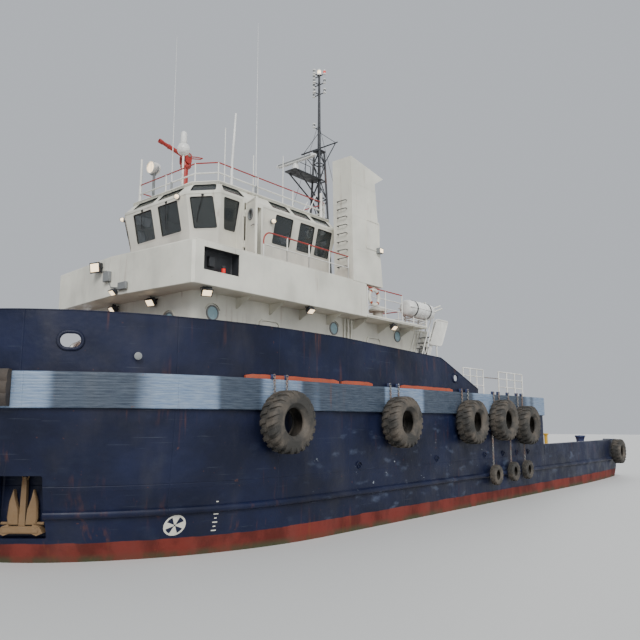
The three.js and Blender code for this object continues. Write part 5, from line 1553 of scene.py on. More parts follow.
def make_bridge_block():
    """Bridge wings and front, with its sidelight recesses, kept as one form."""
    corner = BRIDGE_AFT_X + 8.7
    radius = 0.07
    half = BRIDGE_HALF
    side = [(BRIDGE_AFT_X, HOUSE_HALF), (RECESS_X, HOUSE_HALF), (RECESS_X, half), (corner - radius, half),
            (corner, half - radius)]
    outline = [(x, -y) for x, y in side] + [(BRIDGE_FRONT_X, 0)] + side[::-1]
    shape = Shape()
    low, top = HOUSE_TOP_Z + SEAT, BRIDGE_TOP_Z
    rows = []
    for z, inset in ((low, 0.015), (low + 0.015, 0), (top - 0.02, 0), (top, 0.02)):
        rows.append([(x - inset * (1 if x > 10 else -1), y - inset * ((y > 0) - (y < 0)), z)
                     for x, y in outline])
    shape.grid(rows)
    block = shape.build("bridge_wings", [WHITE, DECK, DARK], "white_paint", replaces=("bridge_block",))
    cutters = Shape()
    (x0, z0), (x1, z1) = (12.2, 7.26), (13.5, 7.91)
    for sign in (1, -1):
        cutters.block((x0, (half - 0.35) * sign, z0), (x1, (half + 0.1) * sign, z1), 0.03)
    carve(block, [cutters])
    for face in block.data.polygons:
        c = face.center
        deep = z0 - 0.01 < c.z < z1 + 0.01 and x0 - 0.1 < c.x < x1 + 0.1
        deep = deep and half - 0.4 < abs(c.y) < half - 0.01
        face.material_index = 2 if deep else 1 if face.normal.z > 0.9 and c.z > top - 0.01 else 0
    smooth_over(block, CARVED_SMOOTH)

    trim = Shape()
    for sign in (1, -1):
        y = half * sign

        def place(u, v, out, y=y, sign=sign):
            return (12.85 - u * sign, y + out * sign, 7.585 + v)

        band(trim, place, rounded(0.64, 0.318, 0.02), 0.022, -0.02, 0.004, 0)
        lamp = shifted(12.62, (half - 0.2) * sign, z0 + SEAT)
        body = [(0, 0), (0.07, 0), (0.07, 0.05), (0.055, 0.06), (0.055, 0.2), (0.07, 0.21), (0.07, 0.25),
                (0.02, 0.29), (0, 0.29)]
        trim.lathe(body, lamp, 20, 3)
        trim.lathe([(0.02, 0.065), (0.058, 0.065), (0.058, 0.195), (0.02, 0.195)], lamp, 20,
                   4 if sign > 0 else 5)
        trim.block((12.9, (half - 0.345) * sign, 7.45), (13.1, (half - 0.24) * sign, 7.75), 0.015, 3)

    def front(y):
        """Where the bridge's front plate stands, at a place across it."""
        return BRIDGE_FRONT_X - 0.3 * abs(y) / half

    # Front plate: a floodlight, a junction box, a small fitting and the cable between them
    add_floodlight(trim, (front(-0.6) + 0.14, -0.6, 7.8), (1, 0.25, 0), 1.3, 0.15, 3, 2)
    trim.block((front(0), -0.2, 7.3), (front(0) + 0.1, 0.12, 7.6), 0.012, 1)
    trim.block((front(0.7), 0.5, 6.98), (front(0.7) + 0.09, 0.9, 7.2), 0.012, 1)
    cable = [
        (front(at_y) + out, y, z)
        for at_y, out, y, z in (
            (-0.45, 0.02, -0.45, 7.68),
            (-0.1, 0.03, -0.1, 7.64),
            (0, 0.02, 0.02, 7.3),
            (0.1, 0.02, 0.12, 7.12),
            (0.5, 0.02, 0.5, 7.06),
        )
    ]
    trim.tube(cable, 0.012, 8, 1)
    add_floodlight(trim, (front(0.35) + 0.1, 0.35, 6.93), (1, 0, 0), 0.8, 1.0, 3, 2)
    # Coaming along the deck's edge
    edge = [(BRIDGE_AFT_X + 1.8, half - 0.03), (corner - 0.06, half - 0.03), (14.1, 0),
            (corner - 0.06, 0.03 - half), (BRIDGE_AFT_X + 1.8, 0.03 - half)]
    trim.tube([(x, y, top + 0.012) for x, y in edge], 0.02, 8, 0)
    trim.build("bridge_trim", [WHITE, GREY, LAMP_GLASS, DARK, PORT_RED, STARBOARD_GREEN], "white_paint")


# Rails
def railing(shape, path, bars, pitch, closed=False, post=0.024, posts_finish=0):
    """Round posts on a path at deck level and pipes along it. bars: (height, radius, finish)."""
    path = [Vector(p) for p in path]
    top = max(bar[0] for bar in bars)
    legs = list(zip(path, path[1:] + path[:1])) if closed else list(zip(path, path[1:]))
    for i, (a, b) in enumerate(legs):
        count = max(1, round((b - a).length / pitch))
        last = count if closed else count + 1
        for k in range(0 if i == 0 or closed else 1, last):
            p = a + (b - a) * (k / count)
            shape.rod(p, p + Vector((0, 0, top)), post, 10, posts_finish)
            shape.lathe([(0, 0), (0.055, 0), (0.055, 0.012), (0.03, 0.02), (0, 0.02)], shifted(*p), 12,
                        posts_finish)
    for height, radius, finish in bars:
        shape.tube([p + Vector((0, 0, height)) for p in path], radius, 10, finish, closed=closed)


ROOF_RAIL = (0.31, 0.64)
WHIP_SPOTS = ((12.26, 0.3, 5.5), (10.25, 2.11, 6.2))
# Lamps on the band round the wheelhouse: place and outward direction
WALL_LAMPS = (
    ((12.47, -2.02, 10.02), (0.83, -0.55, 0)),
    ((12.7, 1.26, 10.02), (1, 0, 0)),
    ((9.86, 2.52, 9.66), (0, 1, 0)),
    ((9.86, -2.52, 9.66), (0, -1, 0)),
)


def add_whip(shape, x, y, high):
    """A whip aerial: mounting, white lower tube and thin upper part."""
    foot = ROOF_FOOT
    shape.lathe([(0, 0), (0.06, 0), (0.06, 0.03), (0.034, 0.06), (0.034, 0.3), (0.022, 0.34), (0, 0.34)],
                shifted(x, y, foot), 14, 2)
    shape.rod((x, y, foot + 0.3), (x, y, foot + 0.42 * high), 0.017, 8, 3, 0.013)
    shape.rod((x, y, foot + 0.42 * high), (x, y, foot + high - 0.05), 0.01, 6, 3, 0.004)
    for z in ROOF_RAIL:
        shape.block((x - 0.03, y - 0.03, foot + z - 0.02), (x + 0.03, y + 0.03, foot + z + 0.02), 0.006, 2)


def make_roof_rails():
    ring = plan_ring(-0.19, ROOF_FOOT)
    shape = Shape()
    railing(shape, ring, [(ROOF_RAIL[0], 0.027, 0), (ROOF_RAIL[1], 0.021, 1)], 1.45, closed=True)
    for x, y, high in WHIP_SPOTS:
        add_whip(shape, x, y, high)
    # Taller posts at the corners, and a slanting brace on the port side
    for x, y, top, radius in ((12.25, -1.45, 12.1, 0.045), (6.95, 2.11, 11.5, 0.06), (11.6, 2.11, 12.4, 0.02),
                              (10.34, 2.08, 11.9, 0.022), (8.97, 2.11, 12.3, 0.018)):
        shape.rod((x, y, ROOF_FOOT), (x, y, top), radius, 10, 0, radius * 0.8)
        plate = [(0, 0), (radius * 1.7, 0), (radius * 1.7, 0.02), (0, 0.03)]
        shape.lathe(plate, shifted(x, y, ROOF_FOOT), 12, 0)
    shape.tube([(11.3, 2.1, ROOF_FOOT), (11.29, 2.1, 11.3), (11.17, 2.1, 13.05)], [0.05, 0.045, 0.03], 12, 3)
    for low_x, top_x, top_z in ((7.7, 7.2, 11.4), (7.95, 7.7, 10.98)):
        shape.rod((low_x, 2.11, ROOF_TOP_Z + 0.001), (top_x, 2.11, top_z), 0.018, 8, 0)
    # Domed aerial on a post at the fore rail
    x, y, z = 12.1, 0.65, 11.75
    shape.rod((x, y, ROOF_FOOT), (x, y, z + 0.05), 0.035, 12, 0)
    rail_z = ROOF_TOP_Z + ROOF_RAIL[0]
    shape.rod((12.26, y, rail_z), (x, y, rail_z), 0.02, 10, 0)
    shape.lathe([(0, 0), (0.1, 0), (0.17, 0.05), (0.205, 0.14), (0.2, 0.24), (0.15, 0.34), (0.085, 0.385),
                 (0.085, 0.41), (0, 0.41)],
                shifted(x, y, z), 24, 4)
    shape.lathe([(0, 0), (0.095, 0), (0.1, 0.02), (0.1, 0.3), (0.085, 0.36), (0.04, 0.4), (0, 0.41)],
                shifted(x, y, z + 0.39), 24, 4)
    shape.build("roof_rails", [CREAM_RAIL, RED_RAIL, GREY, PLASTIC, PLASTIC], "white_paint",
                replaces=("roof_rail",))

    trim = Shape()
    edge = [p - Vector((0, 0, 0.03)) for p in plan_ring(-0.03, ROOF_TOP_Z)]
    trim.tube(edge, 0.028, 10, 0, closed=True)
    # Roof hatch, deck lights and a horn
    trim.block((8.6, -0.45, ROOF_TOP_Z), (9.4, 0.35, ROOF_TOP_Z + 0.12), 0.03, 0)
    trim.block((8.64, -0.41, ROOF_TOP_Z + 0.11), (9.36, 0.31, ROOF_TOP_Z + 0.16), 0.02, 0)
    for y in (0.18, -0.28):
        trim.block((9.36, y - 0.04, ROOF_TOP_Z + 0.1), (9.44, y + 0.04, ROOF_TOP_Z + 0.15), 0.008, 1)
    horn = [(0.0, 0), (0.05, 0), (0.035, 0.06), (0.03, 0.3), (0.05, 0.45), (0.1, 0.55), (0.13, 0.6),
            (0.12, 0.6), (0.03, 0.44), (0, 0.3)]
    trim.lathe(horn, aligned((7.6, -1.2, ROOF_TOP_Z + 0.3), (1, 0, 0.05)), 24, 1)
    trim.rod((7.75, -1.2, ROOF_TOP_Z), (7.75, -1.2, ROOF_TOP_Z + 0.3), 0.03, 10, 1)
    for at, out in WALL_LAMPS:
        add_bulkhead_lamp(trim, Vector(at), out)
    trim.build("roof_trim", [WHITE, GREY, GREY, DARK, LAMP_GLASS], "white_paint")


def add_bulkhead_lamp(shape, at, out):
    """A caged bulkhead lamp on a short arm."""
    m = aligned(at, out)
    shape.lathe([(0, -0.06), (0.07, -0.06), (0.085, -0.03), (0.085, 0.02), (0.06, 0.03), (0, 0.03)], m, 20, 1)
    shape.lathe([(0, 0.02), (0.062, 0.02), (0.066, 0.06), (0.05, 0.11), (0.02, 0.13), (0, 0.13)], m, 20, 4)
    bar = ((0.08, 0.02), (0.08, 0.08), (0.06, 0.13), (0.0, 0.155))
    for turn in around(4):
        shape.tube([m @ Vector((*polar(r, pi / 4 + turn), h)) for r, h in bar], 0.005, 6, 1)


def make_side_rails():
    for side, sign in SIDES:
        shape = Shape()
        z, y = BRIDGE_TOP_Z + SEAT, 3.49 * sign
        fore, aft, pitch, high = 11.2, 7.12, 1.02, 0.8
        railing(shape, [(fore, y, z), (aft, y, z)], [(0.4, 0.018, 0)], pitch)
        for k in range(1, 5):
            x = fore - pitch * k
            shape.rod((x, y, z), (x, y, z + high), 0.024, 10, 0)
        # The top rail bends down to the deck at its front end
        bend = 0.3
        curve = [(fore, y, z)]
        for k in range(7):
            turn = pi / 2 * k / 6
            curve.append((fore - bend * (1 - cos(turn)), y, z + high - bend * (1 - sin(turn))))
        curve.append((aft, y, z + high))
        shape.tube(curve, 0.023, 10, 1)
        shape.build("wing_rail_" + side, [CREAM_RAIL, RED_RAIL], "white_paint",
                    replaces=("bridge_rail_" + side,))

        guard = Shape()
        z = FORECASTLE_Z + SEAT
        bars = [(0.35, 0.022, 0), (0.7, 0.022, 0), (1.0, 0.026, 0)]
        y0, y1 = 4.54 * sign, 4.6 * sign
        railing(guard, [(1.15, y0, z), (-0.55, y0, z)], bars, 0.55, post=0.026)
        railing(guard, [(-1.85, y1, z), (-4.25, y1, z)], bars, 0.8, post=0.03)
        add_chain(guard, (-0.55, y0, z + 0.7), (-1.85, y1, z + 0.7), 0.07, 2)
        finishes = [CREAM_RAIL, RED_RAIL, STEEL]
        guard.build("guard_rail_" + side, finishes, "white_paint", replaces=("guard_frame_" + side,))


def make_boat_deck():
    """Steel deck over the house, with pipe rails, lifebuoys, poles, a locker and ventilators."""
    half = [
        (HOUSE_AFT_X, HOUSE_HALF),
        (2.2, HOUSE_HALF),
        (2.2, 3.6),
        (RECESS_X - SEAT, 3.6),
        (RECESS_X - SEAT, HOUSE_HALF + SEAT),
        (BRIDGE_AFT_X - SEAT, HOUSE_HALF + SEAT),
    ]
    outline = [(x, -y) for x, y in half] + half[::-1]
    shape = Shape()
    shape.prism(outline, HOUSE_TOP_Z + SEAT, BOAT_DECK_Z, 0)
    bars = [(0.35, 0.018, 1), (0.68, 0.018, 1), (1.0, 0.023, 2)]
    z = BOAT_DECK_Z
    for sign in (1, -1):
        railing(shape, [(RECESS_X - 0.06, 3.54 * sign, z), (3.9, 3.54 * sign, z)], bars, 1.05, posts_finish=1)
        railing(shape, [(2.1, 2.69 * sign, z), (0.86, 2.69 * sign, z)], bars, 1.2, posts_finish=1)
        shape.tube([(2.25, 3.57 * sign, z), (2.25, 3.57 * sign, z + 0.95), (2.12, 2.75 * sign, z + 0.95)],
                   0.018, 8, 1)
        # Lifebuoy on the rail
        buoy = aligned((5.76, 3.59 * sign, z + 0.65), (0, sign, 0))
        ring = [(0.27 + 0.062 * cos(t), 0.05 * sin(t)) for t in around(14)]
        shape.lathe(ring, buoy, 36, 3, ring=True)
        # Its orange bands, and the line round it
        for turn in around(4):
            arc = []
            for j in range(4):
                a = pi / 4 + turn + (j - 1.5) * 0.09
                arc.append([
                    buoy @ Vector((*polar(0.27 + 0.067 * cos(t), a), 0.055 * sin(t)))
                    for t in around(12)
                ])
            shape.grid(arc, 4)
        line = [buoy @ Vector((*polar(0.35 * (1.0 + 0.03 * cos(8 * t)), t), 0.02)) for t in around(40)]
        shape.tube(line, 0.007, 6, 3, closed=True)
        # Two poles lashed along the rail's aft end
        for y, low in ((3.42, 0.66), (3.5, 0.54)):
            shape.rod((1.95, y * sign, z + low), (0.85, y * sign, z + low + 0.36), 0.03, 10, 3)
    railing(shape, [(0.86, -2.69, z), (0.86, 2.69, z)], bars, 1.35, posts_finish=1)
    shape.block((1.4, -0.9, z), (2.5, 0.9, z + 0.75), 0.03, 3)
    shape.block((1.37, -0.93, z + 0.72), (2.53, 0.93, z + 0.8), 0.02, 3)
    # Mushroom ventilators
    mushroom = [(0, 0), (0.2, 0), (0.2, 0.55), (0.36, 0.55), (0.37, 0.62), (0.3, 0.72), (0.12, 0.78),
                (0, 0.79)]
    for y in (-2.2, 2.2):
        shape.lathe(mushroom, shifted(3.6, y, z), 28, 3)
    shape.tube([(x, y, HOUSE_TOP_Z + 0.05) for x, y in outline], 0.02, 8, 3, closed=True)
    finishes = [DECK, CREAM_RAIL, RED_RAIL, WHITE, ORANGE]
    deck = shape.build("boat_deck_fine", finishes, "deck_paint", replaces=("boat_deck",))
    for face in deck.data.polygons:
        if face.material_index == 0 and face.normal.z < 0.5:
            face.material_index = 3


def make_rafts():
    """Liferaft canisters in their cradles, with straps."""
    for side, sign in SIDES:
        shape = Shape()
        at = shifted(2.65, 3.45 * sign, BOAT_DECK_Z)
        on_x = at @ shifted(0, 0, 0.6) @ turned(pi / 2, "Y")
        half = [(0.0, 0.9), (0.2, 0.892), (0.275, 0.86), (0.31, 0.8), (0.318, 0.65), (0.318, 0.26),
                (0.328, 0.25), (0.328, 0.22), (0.318, 0.21), (0.318, 0.03), (0.33, 0.025)]
        profile = half + [(r, -h) for r, h in half[::-1]]
        shape.lathe(profile, on_x, 40, 0)
        # The seam flange between its two halves
        shape.block((-0.89, -0.335, 0.585), (0.89, 0.335, 0.615), 0.012, 0, at)
        for x in (-0.48, 0.48):
            ring = [(0.331, x - 0.03), (0.337, x - 0.03), (0.337, x + 0.03), (0.331, x + 0.03)]
            shape.lathe(ring, on_x, 40, 1, ring=True)
            for y in (-0.28, 0.1):
                shape.rod((x, y * sign, SEAT), (x, y * sign, 0.42), 0.028, 10, 2, matrix=at)
            cradle = [
                (x, sign * (-0.09 + 0.36 * cos(t)), 0.6 + 0.36 * sin(t))
                for t in np.linspace(radians(205), radians(335), 12)
            ]
            shape.tube(cradle, 0.026, 8, 2, matrix=at)
        for y in (-0.28, 0.1):
            shape.rod((-0.55, y * sign, 0.2), (0.55, y * sign, 0.2), 0.022, 10, 2, matrix=at)
        finishes = [PLASTIC, BLACK, CREAM_RAIL]
        shape.build("raft_canister_" + side, finishes, "white_plastic", replaces=("liferaft_" + side,))


STACK_FORE_X = 6.9
STACK_AFT_Z = 11.9
STACK_TOP_Z = 12.56


def make_stacks():
    """The stacks, with their rungs, framed panels, seams and lamps."""
    for side, sign in SIDES:
        shape = Shape()
        foot = BRIDGE_TOP_Z + SEAT
        outline = [(BRIDGE_AFT_X, foot), (STACK_FORE_X, foot), (7.0, STACK_TOP_Z), (5.04, 12.24),
                   (5.58, STACK_AFT_Z)]
        shape.prism(outline, 2.7 * sign, BRIDGE_HALF * sign, 0, ON_Y)
        for k in range(9):
            z = 8.5675 + 0.3 * k
            x = STACK_FORE_X + 0.1 * (z - BRIDGE_TOP_Z) / (STACK_TOP_Z - BRIDGE_TOP_Z)
            rung = [(x - 0.01, 2.93), (7.03, 2.93), (7.045, 2.945), (7.045, 3.305), (7.03, 3.32),
                    (x - 0.01, 3.32)]
            shape.tube([(at_x, y * sign, z) for at_x, y in rung], 0.015, 8, 3)

        def outboard(out, sign=sign):
            return (BRIDGE_HALF + out) * sign

        def place(u, v, out, sign=sign):
            return (5.75 - u * sign, outboard(out), 9.9 + v)

        # A framed panel and a lamp on the outboard face, and its plates' seams
        band(shape, place, rounded(0.36, 0.5, 0.02), 0.05, -0.004, 0.02, 0)
        shape.block((5.3, outboard(-0.004), 9.27), (5.54, outboard(0.16), 9.47), 0.015, 1)
        shape.block((5.33, outboard(0.155), 9.3), (5.51, outboard(0.165), 9.44), 0.004, 4)
        for z in (9.2, 10.4, 11.6):
            x0 = BRIDGE_AFT_X + (z - BRIDGE_TOP_Z) / (STACK_AFT_Z - BRIDGE_TOP_Z) * 0.43
            x1 = STACK_FORE_X + 0.1 * (z - BRIDGE_TOP_Z) / 4.5
            shape.block((x0, outboard(-0.002), z - 0.005), (x1, outboard(0.004), z + 0.005), 0.001, 0)
        finishes = [WHITE, GREY, GREY, DARK, LAMP_GLASS]
        shape.build("stack_body_" + side, finishes, "white_paint", replaces=("stack_" + side,))


def make_mast():
    """Lattice mast of angle bars on the boat deck, with yards, lamps, brackets and stays."""
    base_x, low, high, top = 4.6, BOAT_DECK_Z + SEAT, 14.5, 18.3
    shape = Shape()

    def corner(sx, sy, z):
        half = 0.42 + (0.15 - 0.42) * (z - low) / (high - low)
        return Vector((base_x + sx * half, sy * half, z))

    quarters = ((1, 1), (-1, 1), (-1, -1), (1, -1))
    bays = 9
    levels = [low + 0.05]
    levels += [low + (high - low) * (1 - (1 - k / bays) ** 1.15) for k in range(1, bays)] + [high]
    for sx, sy in quarters:
        foot = corner(sx, sy, low)
        shape.rod(foot, corner(sx, sy, high), 0.045, 10, 0)
        shape.block((foot.x - 0.1, foot.y - 0.1, low), (foot.x + 0.1, foot.y + 0.1, low + 0.025), 0.006, 0)
    for i, z in enumerate(levels):
        for k, (sx, sy) in enumerate(quarters):
            tx, ty = quarters[(k + 1) % 4]
            shape.rod(corner(sx, sy, z), corner(tx, ty, z), 0.024, 8, 0)
            if i + 1 < len(levels):
                a, b = ((sx, sy), (tx, ty)) if (i + k) % 2 else ((tx, ty), (sx, sy))
                shape.rod(corner(*a, z), corner(*b, levels[i + 1]), 0.02, 8, 0)
    shape.block((base_x - 0.2, -0.2, high - 0.06), (base_x + 0.2, 0.2, high), 0.01, 0)
    shape.rod((base_x, 0, high - 0.2), (base_x, 0, top - 0.35), 0.075, 14, 0, 0.045)
    shape.rod((base_x, -1.0, 14.62), (base_x, 1.0, 14.62), 0.035, 10, 0, 0.025)
    for y in (-0.9, 0.9):
        shape.rod((base_x, y, 14.62), (base_x, 0.06 * (1 if y > 0 else -1), 15.3), 0.012, 6, 0)
        shape.rod((base_x, y, 14.62), corner(0, 0.9 if y > 0 else -0.9, 13.7), 0.02, 8, 0)
    lamps = [(reach, aside, z) for z in (17.05, 17.5, 17.9)
             for reach, aside in ((0.33, 0), (0, 0.3), (0, -0.3))]
    for reach, aside, z in lamps + [(0.33, 0, 15.45)]:
        arm = Vector((base_x + reach, aside, z))
        shape.rod((base_x, 0, z), arm, 0.022, 8, 0)
        add_mast_lamp(shape, arm - Vector((0, 0, 0.02)), 3 if aside > 0 and z > 17.8 else 6)
    add_mast_lamp(shape, Vector((base_x, 0, top - 0.36)), 2, 1.35)
    # Ladder up the aft face
    rungs = 20
    for k in range(rungs):
        z = low + 0.35 + k * (high - low - 0.6) / rungs
        shape.rod(corner(-1, 0.45, z), corner(-1, -0.45, z), 0.012, 8, 0)
    # Platform and pedestal of the radar
    x, z = base_x + 1.45, 13.45
    shape.block((base_x + 0.1, -0.3, z - 0.35), (x + 0.34, 0.3, z - 0.29), 0.012, 0)
    for y in (-0.26, 0.26):
        shape.rod((base_x + 0.18, y * 0.6, z - 1.25), (x + 0.1, y, z - 0.34), 0.03, 8, 0)
        fore, aft = x - 0.3, base_x + 0.25
        guard = [(aft, y, z - 0.3), (aft, y, z + 0.35), (fore, y, z + 0.35), (fore, y, z - 0.3)]
        shape.tube(guard, 0.014, 8, 0)
    pedestal = [(0, 0), (0.19, 0), (0.19, 0.04), (0.15, 0.07), (0.14, 0.27), (0.1, 0.3), (0, 0.3)]
    shape.lathe(pedestal, shifted(x, 0, z - 0.3), 24, 5)
    # Stays to the bridge deck
    for y in (1, -1):
        shape.rod((base_x + 0.05, 0.05 * y, 15.6), (5.3, 2.6 * y, BRIDGE_TOP_Z), 0.008, 6, 0)
    finishes = [DARK, PLASTIC, LAMP_GLASS, PORT_RED, STARBOARD_GREEN, PLASTIC, GLASS]
    shape.build("mast_fine", finishes, "dark_paint", replaces=("lattice_mast",))

    radar = Shape()
    at = shifted(x, 0, z)
    half = 1.05
    section = [(0.1, 0.09), (0.11, 0.13), (0.095, 0.21), (0.04, 0.24), (-0.07, 0.235), (-0.105, 0.2),
               (-0.105, 0.12), (-0.06, 0.09)]
    middle, tip, steps = 0.165, 0.06, 16
    rows = []
    for k in range(steps + 1):
        y = -half + 2 * half * k / steps
        end = 0.5 + 0.5 * sqrt(max(0, 1 - max(0, (abs(y) - half + tip) / tip) ** 2))
        rows.append([(u * end, y, middle + (v - middle) * end) for u, v in section])
    radar.grid(rows, 0, at)
    radar.lathe([(0, SEAT), (0.09, SEAT), (0.09, 0.05), (0.065, 0.07), (0.065, 0.1), (0, 0.1)], at, 24, 0)
    radar.block((0.104, -0.9, 0.12), (0.113, 0.9, 0.19), 0.003, 1, at)
    radar.build("radar_fine", [PLASTIC, GREY], "white_plastic", "radar_scanner", replaces=("radar_scanner",))


def add_mast_lamp(shape, at, lens_finish, scale=1.0):
    """A ship's lantern: base, lens between guards, and cap."""
    m = Matrix.Translation(at) @ Matrix.Scale(scale, 4)
    shape.lathe([(0, 0), (0.07, 0), (0.07, 0.03), (0.05, 0.05), (0, 0.05)], m, 16, 1)
    shape.lathe([(0, 0.045), (0.052, 0.045), (0.058, 0.1), (0.052, 0.155), (0, 0.155)], m, 16, lens_finish)
    shape.lathe([(0, 0.15), (0.06, 0.15), (0.065, 0.175), (0.03, 0.21), (0, 0.22)], m, 16, 1)


# How the monitor points at rest: its turn to port and its rise
HEADING = -0.05
RISE = 0.24


def make_monitor():
    """A fire monitor: flanged riser, turning fork with its gear, and a barrel with its nozzle."""
    stand_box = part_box("monitor_stand")
    x = (stand_box[0][0] + stand_box[1][0]) / 2
    y = (stand_box[0][1] + stand_box[1][1]) / 2
    z = 12.1
    stand = Shape()
    foot, flange, valve = ROOF_FOOT, 11.2, 10.95
    profile = [(0, foot), (0.24, foot), (0.24, foot + 0.03), (0.14, foot + 0.05), (0.1, foot + 0.09),
               (0.1, flange), (0.15, flange), (0.15, flange + 0.06), (0.1, flange + 0.06), (0.1, z - 0.1),
               (0.17, z - 0.06), (0.18, z - 0.04), (0.18, z), (0, z)]
    stand.lathe(profile, shifted(x, y, 0), 28, 0)
    for turn in around(8):
        c, s = cos(turn), sin(turn)
        bolt = shifted(x + 0.2 * c, y + 0.2 * s, foot + 0.03)
        stand.lathe([(0, 0), (0.018, 0), (0.018, 0.014), (0, 0.018)], bolt, 6, 1)
        at_x, at_y = x + 0.128 * c, y + 0.128 * s
        stand.rod((at_x, at_y, flange - 0.02), (at_x, at_y, flange + 0.08), 0.012, 6, 1)
    # Its valve, with a hand wheel
    stand.rod((x, y, valve), (x + 0.25, y, valve), 0.04, 10, 0)
    wheel = aligned((x + 0.26, y, valve), (1, 0, 0))
    stand.lathe(hoop(0.13, 0.014), wheel, 24, 0, ring=True)
    for k in range(3):
        a = Vector((*polar(0.13, pi / 3 * k), 0))
        stand.rod(wheel @ a, wheel @ -a, 0.009, 6, 0)
    stand.build("monitor_riser", [RED_LEAD, STEEL], "red_lead", replaces=("monitor_stand",))

    head_at = shifted(x, y, z) @ turned(HEADING, "Z")
    head = Shape()
    head.lathe([(0, FOOT), (0.15, FOOT), (0.15, 0.1), (0.13, 0.14), (0, 0.14)], head_at, 28, 0)
    for s in (1, -1):
        cheek_at = head_at @ (shifted(0, 0, 0.25) @ ON_Y)
        head.prism(rounded(0.12, 0.19, 0.1), 0.152 * s, 0.208 * s, 0, cheek_at)
        cap_at = head_at @ shifted(0, 0.207 * s, 0.34) @ turned(-pi / 2 * s, "X")
        head.lathe([(0, 0), (0.06, 0), (0.05, 0.03), (0, 0.035)], cap_at, 16, 1)
    head.block((-0.085, -0.2, 0.08), (0.085, 0.2, 0.135), 0.02, 0, head_at)
    gear = [(0, 0), (0.07, 0), (0.07, 0.22), (0.04, 0.25), (0, 0.25)]
    head.lathe(gear, head_at @ shifted(-0.16, 0, 0.02), 16, 0)
    head.build("monitor_fork", [RED_LEAD, STEEL], "red_lead", "monitor_head", replaces=("monitor_head",))

    barrel_at = head_at @ shifted(0, 0, 0.34) @ turned(-RISE, "Y") @ turned(pi / 2, "Y")
    barrel = Shape()
    profile = [(0, -0.15), (0.06, -0.15), (0.085, -0.12), (0.085, 0.12), (0.075, 0.16), (0.072, 0.7),
               (0.085, 0.7), (0.085, 0.74), (0.07, 0.74), (0.06, 0.96), (0.078, 0.99), (0.078, 1.13),
               (0.05, 1.13), (0.042, 1.0), (0, 1.0)]
    barrel.lathe(profile, barrel_at, 28, 0)
    barrel.rod((0, -0.1495, 0), (0, 0.1495, 0), 0.07, 20, 0, matrix=barrel_at)
    tiller = [(-0.05, 0.1, -0.1), (-0.2, 0.1, -0.4), (-0.3, 0.06, -0.62)]
    tiller += [(x, -y, z) for x, y, z in tiller[::-1]]
    barrel.tube(tiller, 0.02, 8, 0, matrix=barrel_at)
    barrel.build("monitor_tube", [RED_LEAD, STEEL], "red_lead", "monitor_barrel",
                 replaces=("monitor_barrel",))


def make_searchlight():
    x, y = 12.15, -0.85
    shape = Shape()
    foot = ROOF_FOOT
    shape.lathe([(0, 0), (0.13, 0), (0.13, 0.025), (0.06, 0.05), (0.045, 0.08), (0.045, 0.86), (0.075, 0.9),
                 (0.075, 0.94), (0, 0.94)],
                shifted(x, y, foot), 20, 1)
    centre = Vector((x, y, foot + 1.13))
    yoke = [(0, 0.235 * s, h)
            for s, h in ((1, 0), (1, -0.13), (0.55, -0.2), (-0.55, -0.2), (-1, -0.13), (-1, 0))]
    shape.tube([centre + Vector(p) for p in yoke], 0.022, 8, 1)
    drum = aligned(centre, (1, 0.05, -0.05))
    shape.lathe([(0, -0.17), (0.1, -0.165), (0.17, -0.14), (0.2, -0.08), (0.205, 0.1), (0.21, 0.11),
                 (0.21, 0.17), (0.19, 0.17), (0.185, 0.13), (0, 0.1)], drum, 32, 0)
    shape.lathe([(0, 0.12), (0.188, 0.12), (0.188, 0.14), (0, 0.15)], drum, 32, 2)
    for k in range(5):
        x = -0.15 + 0.075 * k
        shape.rod(drum @ Vector((x, -0.18, 0.172)), drum @ Vector((x, 0.18, 0.172)), 0.005, 6, 1)
    shape.rod(drum @ Vector((0, -0.24, 0)), drum @ Vector((0, 0.24, 0)), 0.018, 8, 1)
    shape.build("searchlight_fine", [PLASTIC, GREY, LAMP_GLASS], "white_plastic", replaces=("searchlight",))


